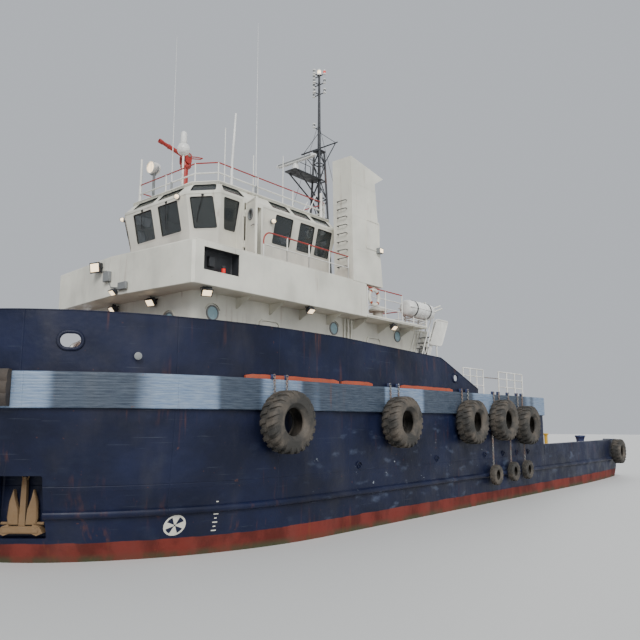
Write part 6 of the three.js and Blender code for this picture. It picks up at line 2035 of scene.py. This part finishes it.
def make_helm():
    """Console, wheel and chair seen through the wheelhouse windows."""
    shape = Shape()
    outline = [(11.25, 8.0505), (11.9, 8.0505), (11.95, 8.12), (11.95, 8.84), (11.9, 8.87), (11.7, 8.95),
               (11.3, 8.83), (11.25, 8.78)]
    shape.prism(outline, -1.25, 1.25, 0, ON_Y)
    for y in (-0.85, 0.0, 0.85):
        shape.block((11.4, y - 0.36, 8.85), (11.75, y + 0.36, 8.95), 0.01, 1)
    for y, wide in ((-0.75, 0.28), (0.75, 0.28), (0.0, 0.2)):
        shape.block((11.55, y - wide, 8.95), (11.8, y + wide, 9.24), 0.025, 1)
        shape.block((11.54, y - wide + 0.03, 8.98), (11.556, y + wide - 0.03, 9.2), 0.004, 2)
    for k in range(7):
        y = -0.9 + 0.3 * k
        shape.rod((11.32, y, 8.82), (11.32, y, 8.9), 0.014, 8, 2)
    wheel = aligned((11.12, 0, 8.72), (-1, 0, 0.35))
    shape.lathe(hoop(0.2, 0.016), wheel, 28, 1, ring=True)
    for turn in around(3):
        shape.rod(wheel @ Vector((*polar(0.2, turn), 0)), wheel @ Vector((0, 0, -0.02)), 0.012, 6, 1)
    shape.rod((11.13, 0, 8.71), (11.28, 0, 8.66), 0.03, 10, 1)
    for y in (0.45, -0.45):
        shape.rod((11.35, y, 8.85), (11.28, y, 9.0), 0.014, 8, 2)
    shape.build("helm_desk", [DARK, GREY, BLACK], "dark_paint", replaces=("helm_console",))

    chair = Shape()
    at = shifted(10.5, 0, BRIDGE_TOP_Z)
    chair.lathe([(0, SEAT), (0.26, SEAT), (0.26, 0.03), (0.1, 0.06), (0.05, 0.1), (0.05, 0.3), (0.035, 0.32),
                 (0.035, 0.55), (0, 0.55)], at, 24, 0)
    chair.block((-0.2, -0.2, 0.54), (0.2, 0.2, 0.57), 0.01, 0, at)
    for s in (1, -1):
        chair.tube([(-0.2, 0.24 * s, 0.6), (-0.2, 0.27 * s, 0.8), (0.1, 0.27 * s, 0.82)], 0.02, 8, 0,
                   matrix=at)
    chair.build("chair_base", [GREY], "worn_steel")
    seat = cushion("chair_seat", (0.24, 0.25, 0.055), at @ shifted(0.02, 0, 0.625))
    back = cushion("chair_back", (0.34, 0.24, 0.045),
                   at @ shifted(-0.285, 0, 0.95) @ turned(radians(97), "Y"))
    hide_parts("helm_chair")
    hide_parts("helm_chair")


def cushion(name, half, matrix):
    """A crowned pad with drawn-in sides, a piped seam and two sewn channels."""
    shape = Shape()
    columns, count = 22, 15
    drawn_in, seam, seam_wide, seam_deep = 0.045, 0.36, 0.045, 0.16
    shell = []
    for i in range(columns + 1):
        u = 2 * i / columns - 1
        upper, lower = [], []
        for j in range(count + 1):
            v = 2 * j / count - 1
            pinch = 1 - drawn_in * (1 - abs(v) ** 2) * abs(u) ** 6
            pinch_v = 1 - drawn_in * (1 - abs(u) ** 2) * abs(v) ** 6
            dome = (1 - u ** 6) * (1 - v ** 6)
            seams = exp(-((v - seam) / seam_wide) ** 2) + exp(-((v + seam) / seam_wide) ** 2)
            channel = seam_deep * seams * (abs(u) < 0.8)
            height = half[2] * (max(0.0, dome) ** 0.4) * (1 - channel)
            x, y = half[0] * u * pinch, half[1] * v * pinch_v
            upper.append((x, y, height))
            lower.append((x, y, -height))
        shell.append(upper + lower[::-1])
    shape.grid(shell, 0, matrix)
    piece = shape.build(name, [LEATHER], "leather", smooth=60)
    face_out(piece.data, weld=1e-5)
    return piece


# Under water
PROP = Vector((-14.65, 2.15, -2.29))
PROP_RADIUS = 1.1
RUDDER_X = -16.9


def side_at(table, x, z):
    """The half breadth of the hull at a place along it and a height, 0 beyond its ends."""
    path = half_ring(table, z, 0.0, 60)[::-1]
    return float(np.interp(x, [p[0] for p in path], [p[1] for p in path], 0.0, 0.0))


def make_underwater():
    """Skeg, rudder pads, tunnel bars and anodes."""
    shape = Shape()
    outline = [(-2.0, -3.5997), (1.5, -3.54), (-9.0, -0.7), (-15.6, -0.7), (-15.2, -3.5997)]
    shape.prism(outline, -0.11, 0.11, 0, ON_Y)
    for sign in (1, -1):
        shape.rod((RUDDER_X, PROP.y * sign, -0.9), (RUDDER_X, PROP.y * sign, -0.5), 0.26, 32)
        for aside in (-0.26, 0, 0.26):
            x = TUNNEL["x"] + aside
            ends = [(x, (side_at(LOWER, x, z) - 0.04) * sign, z)
                    for z in (TUNNEL["z"] - 0.5, TUNNEL["z"] + 0.5)]
            shape.rod(*ends, 0.018, 8)
        for x in (-14.3, -13.2, -12.1):
            shape.block((x, 0.105 * sign, -1.9), (x + 0.3, 0.16 * sign, -1.78), 0.02, 1)
    shape.build("skeg_and_pads", [RED_BOTTOM, STEEL], "red_paint", replaces=("hull",))


def blade(sign):
    """One propeller blade along Z, on the shaft line +X: a thin hooked section, twisted outward."""
    shape = Shape()
    rows = []
    steps, root, tip = 14, 0.12, 0.86
    for k in range(steps + 1):
        s = k / steps
        radius = root + (PROP_RADIUS - root) * s
        round_off = 1 if s < tip else sqrt(max(0.04, 1 - ((s - tip) / 0.145) ** 2))
        chord = 0.62 * sin(pi * (0.22 + 0.6 * s)) * round_off
        thick = 0.09 * (1 - 0.82 * s)
        pitch = atan2(0.52, radius)
        row = []
        for turn in around(16):
            c = 0.5 * chord * cos(turn)
            t = 0.5 * thick * sin(turn) * (1 - 0.25 * cos(turn)) - 0.03 * (c / 0.31) ** 2 * chord
            aside = c * cos(pitch) - t * sin(pitch)
            fore = c * sin(pitch) + t * cos(pitch)
            row.append((fore, -aside * sign, sqrt(max(0.0, radius ** 2 - aside ** 2))))
        rows.append(row)
    shape.grid(rows)
    return shape


def make_drive(side, sign):
    """Propeller, nozzle and rudder of one side."""
    y = PROP.y * sign
    on_x = aligned((PROP.x, y, PROP.z), (1, 0, 0))
    wheel = Shape()
    wheel.lathe([(0, -0.33), (0.06, -0.325), (0.12, -0.29), (0.15, -0.25), (0.2, -0.1), (0.21, 0),
                 (0.205, 0.12), (0.19, 0.24), (0.18, 0.2595), (0, 0.2595)], on_x, 40)
    for turn in around(4):
        wheel.place(blade(sign), shifted(PROP.x, y, PROP.z) @ turned(turn, "X"))
    wheel.build("screw_" + side, [BRONZE], "bronze", "propeller_" + side, replaces=("propeller_" + side,),
                smooth=50)

    inner, outer, half = PROP_RADIUS + 0.025, PROP_RADIUS + 0.19, 0.575
    profile = [(inner + 0.06, half - 0.01), (inner + 0.1, half), (outer - 0.03, half - 0.015),
               (outer, half - 0.06), (outer - 0.02, 0.1), (outer - 0.06, -half + 0.01),
               (outer - 0.075, -half), (inner + 0.05, -half), (inner + 0.02, -0.35), (inner, -0.2),
               (inner, half / 2), (inner + 0.02, 0.42)]
    ring = Shape()
    ring.lathe(profile, on_x, 96, ring=True)
    half_long, half_wide = 0.42, 0.17
    head = []
    for z in (PROP.z + outer - 0.05, underside(PROP.x, PROP.y) + 0.12):
        row = []
        for k in range(24):
            c, s = cos(2 * pi * k / 24), sin(2 * pi * k / 24)
            row.append((
                PROP.x + half_long * copysign(abs(c) ** 0.8, c),
                y + half_wide * copysign(abs(s) ** 0.8, s),
                z,
            ))
        head.append(row)
    ring.grid(head)
    ring.build("kort_ring_" + side, [RED_BOTTOM], "red_paint", replaces=("nozzle_" + side,))

    fin = Shape()
    low, high = -3.4495, -0.9605
    long, half_thick = 1.5, 0.119
    nose = 0.35 * long
    section = []
    for k in range(40):
        turn = 2 * pi * k / 40
        share = 0.5 * (1 - cos(turn))
        thick = min(half_thick * 2.6 * (sqrt(share) * (1 - share)), half_thick)
        thick = max(thick, 0.008 if share > 0.02 else 0.0)
        section.append((nose - long * share, thick * (1 if turn < pi else -1)))
    rows = []
    for z, grow in ((low, 0.97), (low + 0.02, 1), (high - 0.02, 1), (high, 0.97)):
        rows.append([(RUDDER_X + (u - nose / 2) * grow + nose / 2, y + v * grow, z) for u, v in section])
    fin.grid(rows)
    for z in (low + 0.012, high - 0.045):
        fin.block((RUDDER_X - 0.95, y - half_thick, z), (RUDDER_X + 0.45, y + half_thick, z + 0.03), 0.012)
    fin.rod((RUDDER_X, y, high - 0.2), (RUDDER_X, y, -0.901), 0.11, 24)
    for k in range(2):
        fin.block((RUDDER_X - 0.3, y - 0.15, -1.7 - 0.8 * k), (RUDDER_X - 0.05, y + 0.15, -1.6 - 0.8 * k),
                  0.02, 1)
    fin.build("rudder_blade_" + side, [RED_BOTTOM, STEEL], "red_paint", "rudder_" + side,
              replaces=("rudder_" + side,))


def underside(x, y):
    """The height of the hull's bottom over a point of its plan, from the table's levels."""
    low, high = LOWER[0, 0], LOWER[-1, 0]
    for _ in range(20):
        middle = (low + high) / 2
        if side_at(LOWER, x, middle) > y:
            high = middle
        else:
            low = middle
    return high


# Deck gear
def make_foredeck():
    """Bitts, vents, fairleads, the hatch with its lid, and the fixed halves of the bay door's hinges."""
    shape = Shape()
    z = FORECASTLE_Z
    for sign in (1, -1):
        y = 3.95 * sign
        shape.block((7.5, y - 0.22, z - 0.02), (8.9, y + 0.22, z + 0.06), 0.015, 0)
        post = [(0, z), (0.155, z), (0.155, z + 0.075), (0.13, z + 0.1), (0.13, z + 0.58), (0.15, z + 0.595),
                (0.165, z + 0.6), (0.165, z + 0.632), (0.155, z + 0.64), (0, z + 0.64)]
        for x in (7.8, 8.6):
            shape.lathe(post, shifted(x, y, 0), 32, 0)
        shape.rod((7.55, y, z + 0.36), (8.85, y, z + 0.36), 0.035, 12, 0)
    x, y, half, inner = 14.25, -2.6, 0.4, 0.34
    for s in (1, -1):
        shape.block((x - half, y + s * inner, z - 0.02), (x + half, y + s * half, z + 0.4995), 0.006, 0)
        shape.block((x + s * inner, y - inner, z - 0.02), (x + s * half, y + inner, z + 0.4995), 0.006, 0)
        for u in (-0.2, 0.2):
            shape.block((x + u - 0.015, y + s * 0.4, z + 0.3), (x + u + 0.015, y + s * 0.43, z + 0.46), 0.005,
                        1)
            shape.block((x + u - 0.04, y + s * 0.395, z), (x + u + 0.04, y + s * 0.47, z + 0.05), 0.01, 0)
    shape.block((x - inner, y - inner, z - 0.02), (x + inner, y + inner, z + 0.1), 0.005, 2)
    for k in range(2):
        shape.rod((x - 0.15, y - inner, z + 0.2 + 0.17 * k), (x + 0.15, y - inner, z + 0.2 + 0.17 * k), 0.012,
                  8, 1)
    at_x, at_y = BAY_DOOR["x"], BAY_DOOR["y"]
    for share in HINGE_SHARES:
        low = BAY_DOOR["z"] + share * BAY_DOOR["height"]
        top = low + HINGE_HIGH
        shape.rod((at_x, at_y, low), (at_x, at_y, top), 0.018, 14, 1)
        shape.block((at_x - 0.007, at_y, low), (at_x + 0.03, at_y + 0.06, top), 0.003, 1)
    # Mushroom vents and two pairs of roller fairleads by the bow
    for sign in (1, -1):
        mushroom = [(0, 0), (0.12, 0), (0.12, 0.4), (0.22, 0.4), (0.225, 0.45), (0.18, 0.52), (0.05, 0.56),
                    (0, 0.56)]
        shape.lathe(mushroom, shifted(13.9, 1.5 * sign, z), 28, 0)
        at_y = 0.75 * sign
        shape.block((16.9, at_y - 0.2, z), (17.4, at_y + 0.2, z + 0.05), 0.01, 0)
        roller = [(0, 0.05), (0.1, 0.05), (0.07, 0.12), (0.07, 0.28), (0.1, 0.34), (0.04, 0.37), (0, 0.37)]
        for at_x in (17.02, 17.28):
            shape.lathe(roller, shifted(at_x, at_y, z), 24, 1)
    shape.build("foredeck_fittings", [NAVY_GEAR, STEEL, DARK], "hull_paint", replaces=("forecastle_hull",))

    lid = Shape()
    at = shifted(x, y, z + 0.5)
    lid.block((-0.4, -0.4, FOOT), (0.42, 0.4, 0.059), 0.012, 0, at)
    for s in (1, -1):
        lid.block((-0.435, 0.22 * s - 0.04, 0.012), (-0.3, 0.22 * s + 0.04, 0.062), 0.01, 1, at)
    lid.tube([(0.25, -0.12, 0.05), (0.25, -0.12, 0.11), (0.25, 0.12, 0.11), (0.25, 0.12, 0.05)], 0.012, 8, 1,
             matrix=at)
    lid.lathe([(0, 0.055), (0.02, 0.055), (0.02, 0.09), (0, 0.09)], at, 12, 1)
    lid.lathe(hoop(0.1, 0.01, 8, 0.095), at, 24, 1, ring=True)
    for k in range(3):
        u, v = polar(0.1, pi / 3 * k)
        lid.rod((u, v, 0.095), (-u, -v, 0.095), 0.008, 6, 1, matrix=at)
    lid.build("hatch_cover", [NAVY_GEAR, STEEL], "hull_paint", "hatch_lid", replaces=("hatch_lid",))


def bolts(shape, spots, up, size=0.018, finish=1):
    """Hexagonal bolt heads at the spots."""
    for spot in spots:
        shape.lathe([(0, 0), (size, 0), (size, size * 0.8), (0, size * 0.8)], aligned(spot, up), 6, finish)


def add_brake_band(shape, section, sweep, axle, side, matrix):
    """A steel band round a drum. section: (radius, y) points, sweep: first and last degree and rows."""
    first, last, count = sweep
    rows = []
    for t in np.linspace(radians(first), radians(last), count):
        rows.append([(r * cos(t), y * side, axle + r * sin(t)) for r, y in section])
    shape.grid(rows, 1, matrix)


def make_windlass():
    at = shifted(15.3, 0, FORECASTLE_Z)
    axle = 0.7
    bed = Shape()
    bed.block((-0.45, -1.25, FOOT), (0.45, 1.25, 0.03), 0.006, 0, at)
    bed.block((-0.44, -1.24, 0.025), (0.44, 1.24, 0.16), 0.02, 0, at)
    for s in (1, -1):
        outline = [(-0.33, 0.1), (0.33, 0.1), (0.33, 0.3)]
        outline += [(0.26 * cos(t), axle + 0.26 * sin(t)) for t in np.linspace(-0.2, pi + 0.2, 20)]
        outline += [(-0.33, 0.3)]
        low, high = sorted((1.0505 * s, 1.1695 * s))
        cheek = Shape()
        cheek.prism(outline, low, high, 0, ON_Y)
        bed.place(cheek, at)
        ring = [(0.118, -0.004), (0.17, -0.004), (0.17, 0.03), (0.118, 0.03)]
        bed.lathe(ring, at @ aligned((0, 1.168 * s, axle), (0, s, 0)), 32, 0, ring=True)
        bolts(bed, [at @ Vector((u, 1.2 * s, 0.16)) for u in (-0.38, -0.2, 0.2, 0.38)], (0, 0, 1))
        # Band brake over the chain wheel, with its spindle
        section = ((0.36, 0.88), (0.375, 0.88), (0.375, 0.96), (0.36, 0.96))
        add_brake_band(bed, section, (-50, 230, 30), axle, s, at)
        x, y, top, reach = -0.37, 0.92 * s, 0.98, 0.1
        bed.rod((x, y, 0.1), (x, y, 0.62), 0.02, 8, 1, matrix=at)
        rim = [(x + reach * cos(t), y + reach * sin(t), top) for t in around(20)]
        bed.tube(rim, 0.01, 6, 1, closed=True, matrix=at)
        bed.rod((x, y, 0.6), (x, y, top), 0.014, 8, 1, matrix=at)
        bed.rod((x - reach, y, top), (x + reach, y, top), 0.008, 6, 1, matrix=at)
    bed.block((-0.26, -0.25, 0.1), (0.26, 0.25, 0.4), 0.03, 0, at)
    bed.rod((-0.255, 0, 0.28), (-0.45, 0, 0.28), 0.11, 24, 0, matrix=at)
    bed.build("windlass_frame", [NAVY_GEAR, STEEL], "hull_paint", replaces=("windlass_bed",))

    drums = Shape()
    half = [(0.11, 0.0), (0.11, 0.5), (0.2, 0.5), (0.2, 0.56), (0.32, 0.56), (0.33, 0.57), (0.33, 0.63),
            (0.32, 0.64), (0.2, 0.7), (0.2, 0.82), (0.32, 0.88), (0.33, 0.89), (0.33, 0.95), (0.32, 0.96),
            (0.2, 0.96), (0.2, 1.0495), (0.11, 1.0495), (0.11, 1.36), (0.2, 1.39), (0.21, 1.42), (0.185, 1.5),
            (0.18, 1.56), (0.2, 1.64), (0.23, 1.68), (0.22, 1.6995), (0, 1.6995)]
    profile = [(r, -y) for r, y in half[:0:-1]] + half
    drums.lathe(profile, at @ aligned((0, 0, axle), (0, 1, 0)), 48, 0)
    for s in (1, -1):
        for turn in around(10):
            m = at @ shifted(0, 0.76 * s, axle) @ turned(turn, "Y")
            drums.block((0.17, -0.075, -0.03), (0.26, 0.075, 0.03), 0.02, 0, m)
    drums.build("windlass_wheels", [STEEL], "worn_steel", "windlass_drums", replaces=("windlass_drums",))


def make_winch():
    at = shifted(-2.6, 0, MAIN_DECK_Z)
    axle = 1.25
    bed = Shape()
    for s in (1, -1):
        bed.block((-1.1, 1.45 * s, FOOT), (1.1, 1.1 * s, 0.18), 0.012, 0, at)
        bed.block((1.1 * s, -1.12, FOOT), (0.8 * s, 1.12, 0.18), 0.012, 0, at)
    bed.block((-0.82, -1.12, FOOT), (0.82, 1.12, 0.06), 0.004, 0, at)
    for s in (1, -1):
        low, high = sorted((1.2505 * s, 1.3895 * s))
        outline = [(-0.95, 0.1), (0.95, 0.1), (0.93, 0.25)]
        outline += [(0.42 * cos(t), axle + 0.42 * sin(t)) for t in np.linspace(0, pi, 24)]
        outline += [(-0.93, 0.25)]
        cheek = Shape()
        cheek.prism(outline, low, high, 0, ON_Y)
        bed.place(cheek, at)
        bearing = [(0, 0), (0.34, 0), (0.34, 0.04), (0.26, 0.07), (0, 0.07)]
        bed.lathe(bearing, at @ aligned((0, 1.385 * s, axle), (0, s, 0)), 36, 0)
        if s < 0:
            spots = [at @ Vector((0.3 * cos(t), 1.425 * s, axle + 0.3 * sin(t))) for t in around(12)]
            bolts(bed, spots, (0, s, 0))
        bolts(bed, [at @ Vector((u, 1.42 * s, 0.18)) for u in np.linspace(-1.0, 1.0, 9)], (0, 0, 1))
        # Band brake round the flange
        section = ((0.965, 1.085), (0.985, 1.085), (0.985, 1.155), (0.965, 1.155))
        add_brake_band(bed, section, (-62, 196, 40), axle, s, at)
        for u, v in ((0.46, 0.38), (-0.93, 0.96)):
            bed.block((u - 0.04, 1.08 * s, v - 0.1), (u + 0.04, 1.26 * s, v + 0.06), 0.01, 0, at)
    # Gear case with ribs, cover and two motors
    low, high = 1.385, 2.5
    bed.block((-0.6, low, 0.1), (0.6, high, 1.5), 0.05, 0, at)
    bed.block((-0.63, low + 0.01, 0.76), (0.63, high, 0.82), 0.01, 0, at)
    for k in range(4):
        y = low + 0.16 + 0.27 * k
        bed.block((-0.62, y, 0.12), (0.62, y + 0.03, 1.48), 0.008, 0, at)
    spots = [at @ Vector((x, y, 0.82)) for x in (-0.61, 0.61)
             for y in np.linspace(low + 0.06, high - 0.06, 9)]
    bolts(bed, spots, (0, 0, 1), 0.014)
    y = 1.95
    for x, z in ((0.98, 1.1), (-0.98, 0.5)):
        root = copysign(0.595, x)
        bed.rod((root, y, z), (x, y, z), 0.17, 28, 0, matrix=at)
    for x, z in ((0.98, 1.1), (-0.98, 0.5)):
        flange = at @ aligned((copysign(0.6, x), y, z), (x, 0, 0))
        bed.lathe([(0, 0), (0.21, 0), (0.21, 0.03), (0, 0.03)], flange, 28, 0)
        bed.tube([(x * 0.95, y, z), (x * 1.12, y, z), (x * 1.12, 2.1, 0.1)], 0.03, 8, 2, matrix=at)
    bed.block((0.82, -1.3, 0.15), (0.9, 1.3, 0.33), 0.01, 0, at)
    # Spooling guide ahead of the cheeks on the aft side, with two upright rollers
    for s in (1, -1):
        bed.block((-1.08, 1.24 * s - 0.05, 0.15), (-0.98, 1.24 * s + 0.05, 0.95), 0.01, 0, at)
    for z in (0.52, 0.88):
        bed.rod((-1.03, -1.24, z), (-1.03, 1.24, z), 0.04, 14, 1, matrix=at)
    bed.block((-1.09, -0.16, 0.46), (-0.97, 0.16, 0.94), 0.02, 0, at)
    bed.build("winch_bed", [NAVY_GEAR, STEEL, BLACK], "hull_paint", replaces=("winch_frame",))

    drum = Shape()
    turns, wire, sides = 46, 0.046, 28
    half = [(0.0, -1.2495), (0.22, -1.2495), (0.22, -1.16), (0.93, -1.16), (0.95, -1.15), (0.95, -1.09),
            (0.93, -1.08), (0.44, -1.08)]
    drum.lathe(half + [(r, -y) for r, y in half[::-1]], at @ aligned((0, 0, axle), (0, 1, 0)), 64, 0)
    steps = sides * turns
    path = []
    for k in range(steps + 1):
        turn = 2 * pi * k / sides
        path.append((0.46 * cos(turn), -1.05 + 2.1 * k / steps, axle + 0.46 * sin(turn)))
    drum.tube(path, wire / 2, 5, 1, matrix=at)
    for s in (1, -1):
        for turn in around(8):
            m = at @ shifted(0, 1.16 * s, axle) @ turned(turn, "Y")
            drum.block((0.24, -0.002, -0.012), (0.9, 0.05 * s, 0.012), 0.004, 0, m)
    drum.build("winch_spool", [STEEL, DARK], "worn_steel", "winch_drum", replaces=("winch_drum",))


def make_aft_gear():
    """Stern roller, tow pins and capstans."""
    roller = Shape()
    half = [(0, 1.6995), (0.14, 1.6995), (0.15, 1.69), (0.15, 1.5), (0.36, 1.5), (0.38, 1.48), (0.38, 1.2),
            (0.374, 1.19), (0.374, 1.17), (0.38, 1.16), (0.38, 0.4), (0.374, 0.39)]
    roller.lathe(half + [(r, -y) for r, y in half[::-1]], aligned(ROLLER, (0, 1, 0)), 72, 0)
    roller.build("roller_barrel", [STEEL], "worn_steel", "stern_roller", replaces=("stern_roller",))

    pins = Shape()
    at = shifted(-17.35, 0, MAIN_DECK_Z)
    pins.block((-0.25, -0.62, FOOT), (0.25, 0.62, 0.11), 0.02, 0, at)
    pin = [(0, 0.06), (0.14, 0.06), (0.14, 0.125), (0.105, 0.15), (0.105, 0.72), (0.12, 0.735), (0.16, 0.74),
           (0.165, 0.75), (0.165, 0.815), (0.15, 0.83), (0, 0.83)]
    for y in (-0.33, 0.33):
        pins.lathe(pin, at @ shifted(0, y, 0), 40, 0)
        inward = -0.07 if y > 0 else 0.07
        pins.block((-0.05, y, 0.745), (0.05, y + inward * 2.4, 0.825), 0.015, 0, at)
    bolts(pins, [at @ Vector((x, y, 0.11)) for x in (-0.2, 0.2) for y in np.linspace(-0.56, 0.56, 7)],
          (0, 0, 1))
    pins.build("tow_pin_pair", [YELLOW, STEEL], "yellow_paint", replaces=("tow_pins",))

    for side, sign in SIDES:
        shape = Shape()
        at = shifted(-15.6, 3.1 * sign, MAIN_DECK_Z)
        profile = [(0, FOOT), (0.35, FOOT), (0.36, 0.01), (0.36, 0.07), (0.35, 0.08), (0.26, 0.11),
                   (0.235, 0.16), (0.215, 0.3), (0.2, 0.45), (0.205, 0.55), (0.24, 0.62), (0.28, 0.67),
                   (0.29, 0.69), (0.29, 0.745), (0.28, 0.76), (0.1, 0.775), (0, 0.78)]
        shape.lathe(profile, at, 48, 0)
        whelp = [(0.222, 0, 0.17), (0.203, 0, 0.32), (0.192, 0, 0.45), (0.2, 0, 0.55), (0.235, 0, 0.625)]
        for turn in around(6):
            shape.tube(whelp, 0.026, 8, 0, matrix=at @ turned(turn, "Z"))
        bolts(shape, [at @ Vector((*polar(0.32, t), 0.08)) for t in around(12)], (0, 0, 1), 0.014)
        shape.build("capstan_head_" + side, [NAVY_GEAR, STEEL], "hull_paint", replaces=("capstan_" + side,))


def make_marks(side, sign):
    """Painted marks and small welded things on the side: thruster mark, draught ticks and scuppers."""
    shape = Shape()
    sunk, lift = -0.004, 0.0035

    def on_side(x, z, out):
        return (x, (side_at(LOWER, x, z) + out) * sign, z)

    def patch(points, high):
        shape.grid([[on_side(x, z, out) for x, z in points] for out in (sunk, high)])

    # Thruster mark: a ring and a cross whose arms widen outward
    centre = Vector((14.45, 0, 0.76))
    inner, outer, steps = 0.205, 0.245, 32
    section = ((inner, sunk), (inner, lift), (outer, lift), (outer, sunk))
    rows = []
    for k in range(steps):
        c, s = polar(1, 2 * pi * k / steps)
        rows.append([on_side(centre.x + r * c, centre.z + r * s, out) for r, out in section])
    shape.grid(rows, 0, ring=True)
    arm = [(0.02, -0.014), (0.02, 0.014)] + [polar(0.21, a) for a in np.linspace(0.42, -0.42, 7)]
    for turn in around(4):
        c, s = cos(turn), sin(turn)
        patch([(centre.x + (u * c - v * s), centre.z + (u * s + v * c)) for u, v in arm], 0.003)
    # Draught ticks
    for k in range(8):
        x, z, half = 13.5, 0.55 + 0.1 * k, 0.03 if k % 2 else 0.06
        patch([(x - half, z), (x + half, z), (x + half, z + 0.025), (x - half, z + 0.025)], lift)
    # Scuppers: a short pipe end under an eyebrow
    for x in (-0.1, -1.75, -3.1, -4.3, 3.6, 8.2):
        y, z = (HALF_BEAM - 0.01) * sign, 1.86
        eyebrow = [
            (x + 0.14 * cos(t), y + 0.03 * sign, z + 0.14 * sin(t))
            for t in np.linspace(radians(15), radians(165), 10)
        ]
        shape.tube(eyebrow, 0.018, 8, 1)
        at = aligned((x, y, z), (0, sign, 0))
        shape.lathe([(0.055, -0.02), (0.075, -0.02), (0.075, 0.035), (0.055, 0.035)], at, 20, 1, ring=True)
        shape.lathe([(0, -0.01), (0.06, -0.01), (0.06, 0), (0, 0)], at, 20, 2)
    # A grey fitting on the bulwark by the stem
    fitting = [(0, -0.02), (0.09, -0.02), (0.09, 0.02), (0.06, 0.035), (0, 0.035)]
    shape.lathe(fitting, aligned((15.65, 3.9 * sign, 4.73), (0.5, sign, 0)), 24, 3)
    shape.build("side_marks_" + side, [WHITE, HULL, BLACK, GREY], "white_paint")


make_camera()
make_light()
make_hull()
make_forecastle()
make_bulwark()
for side, sign in SIDES:
    make_fenders(side, sign)
    make_quarter_tyre(side, sign)
    make_anchor(side, sign)
    make_aft_bulwark(side, sign)
make_bow_fender()
make_planks()
make_wheelhouse()
make_doors()
make_deckhouse()
make_stairs()
make_bridge_block()
make_roof_rails()
make_side_rails()
make_boat_deck()
make_rafts()
make_stacks()
make_mast()
make_monitor()
make_searchlight()
make_helm()
make_underwater()
make_foredeck()
make_windlass()
make_winch()
make_aft_gear()
for side, sign in SIDES:
    make_drive(side, sign)
    make_marks(side, sign)


def make_floor():
    """A pale studio floor at the waterline, with the hull's part of it left open."""
    edge = [Vector((p.x, p.y, 0)) for p in full_ring(LOWER, 0.0, 0.004)]
    count, far = len(edge), 160
    outer = [Vector((*polar(far, a), 0)) for a in around(count)]
    faces = []
    for i in range(count):
        j = (i + 1) % count
        faces.append([i, count + i, count + j, j])
    mesh = bpy.data.meshes.new("floor")
    mesh.from_pydata([tuple(p) for p in edge + outer], [], faces)
    finish = Finish("floor", Base_Color=(0.62, 0.62, 0.6), Roughness=0.6)
    mesh.materials.append(finish.made)
    add_object("floor", mesh)


make_floor()

NODE_FINISH = {
    WHITE: ("wheelhouse_roof", "wheelhouse_door_port", "wheelhouse_door_starboard", "bay_door"),
    RED_BOTTOM: ("shaft_tube_port", "shaft_tube_starboard", "thruster_pod"),
    BRONZE: ("thruster_rotor",),
}


def finish_nodes():
    """Gives each node that stays its finish, and softens its flat faces' edges."""
    for made, names in NODE_FINISH.items():
        for name in names:
            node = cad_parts[name]
            node.data.materials.clear()
            node.data.materials.append(made)
            smooth_over(node, 30)


finish_nodes()
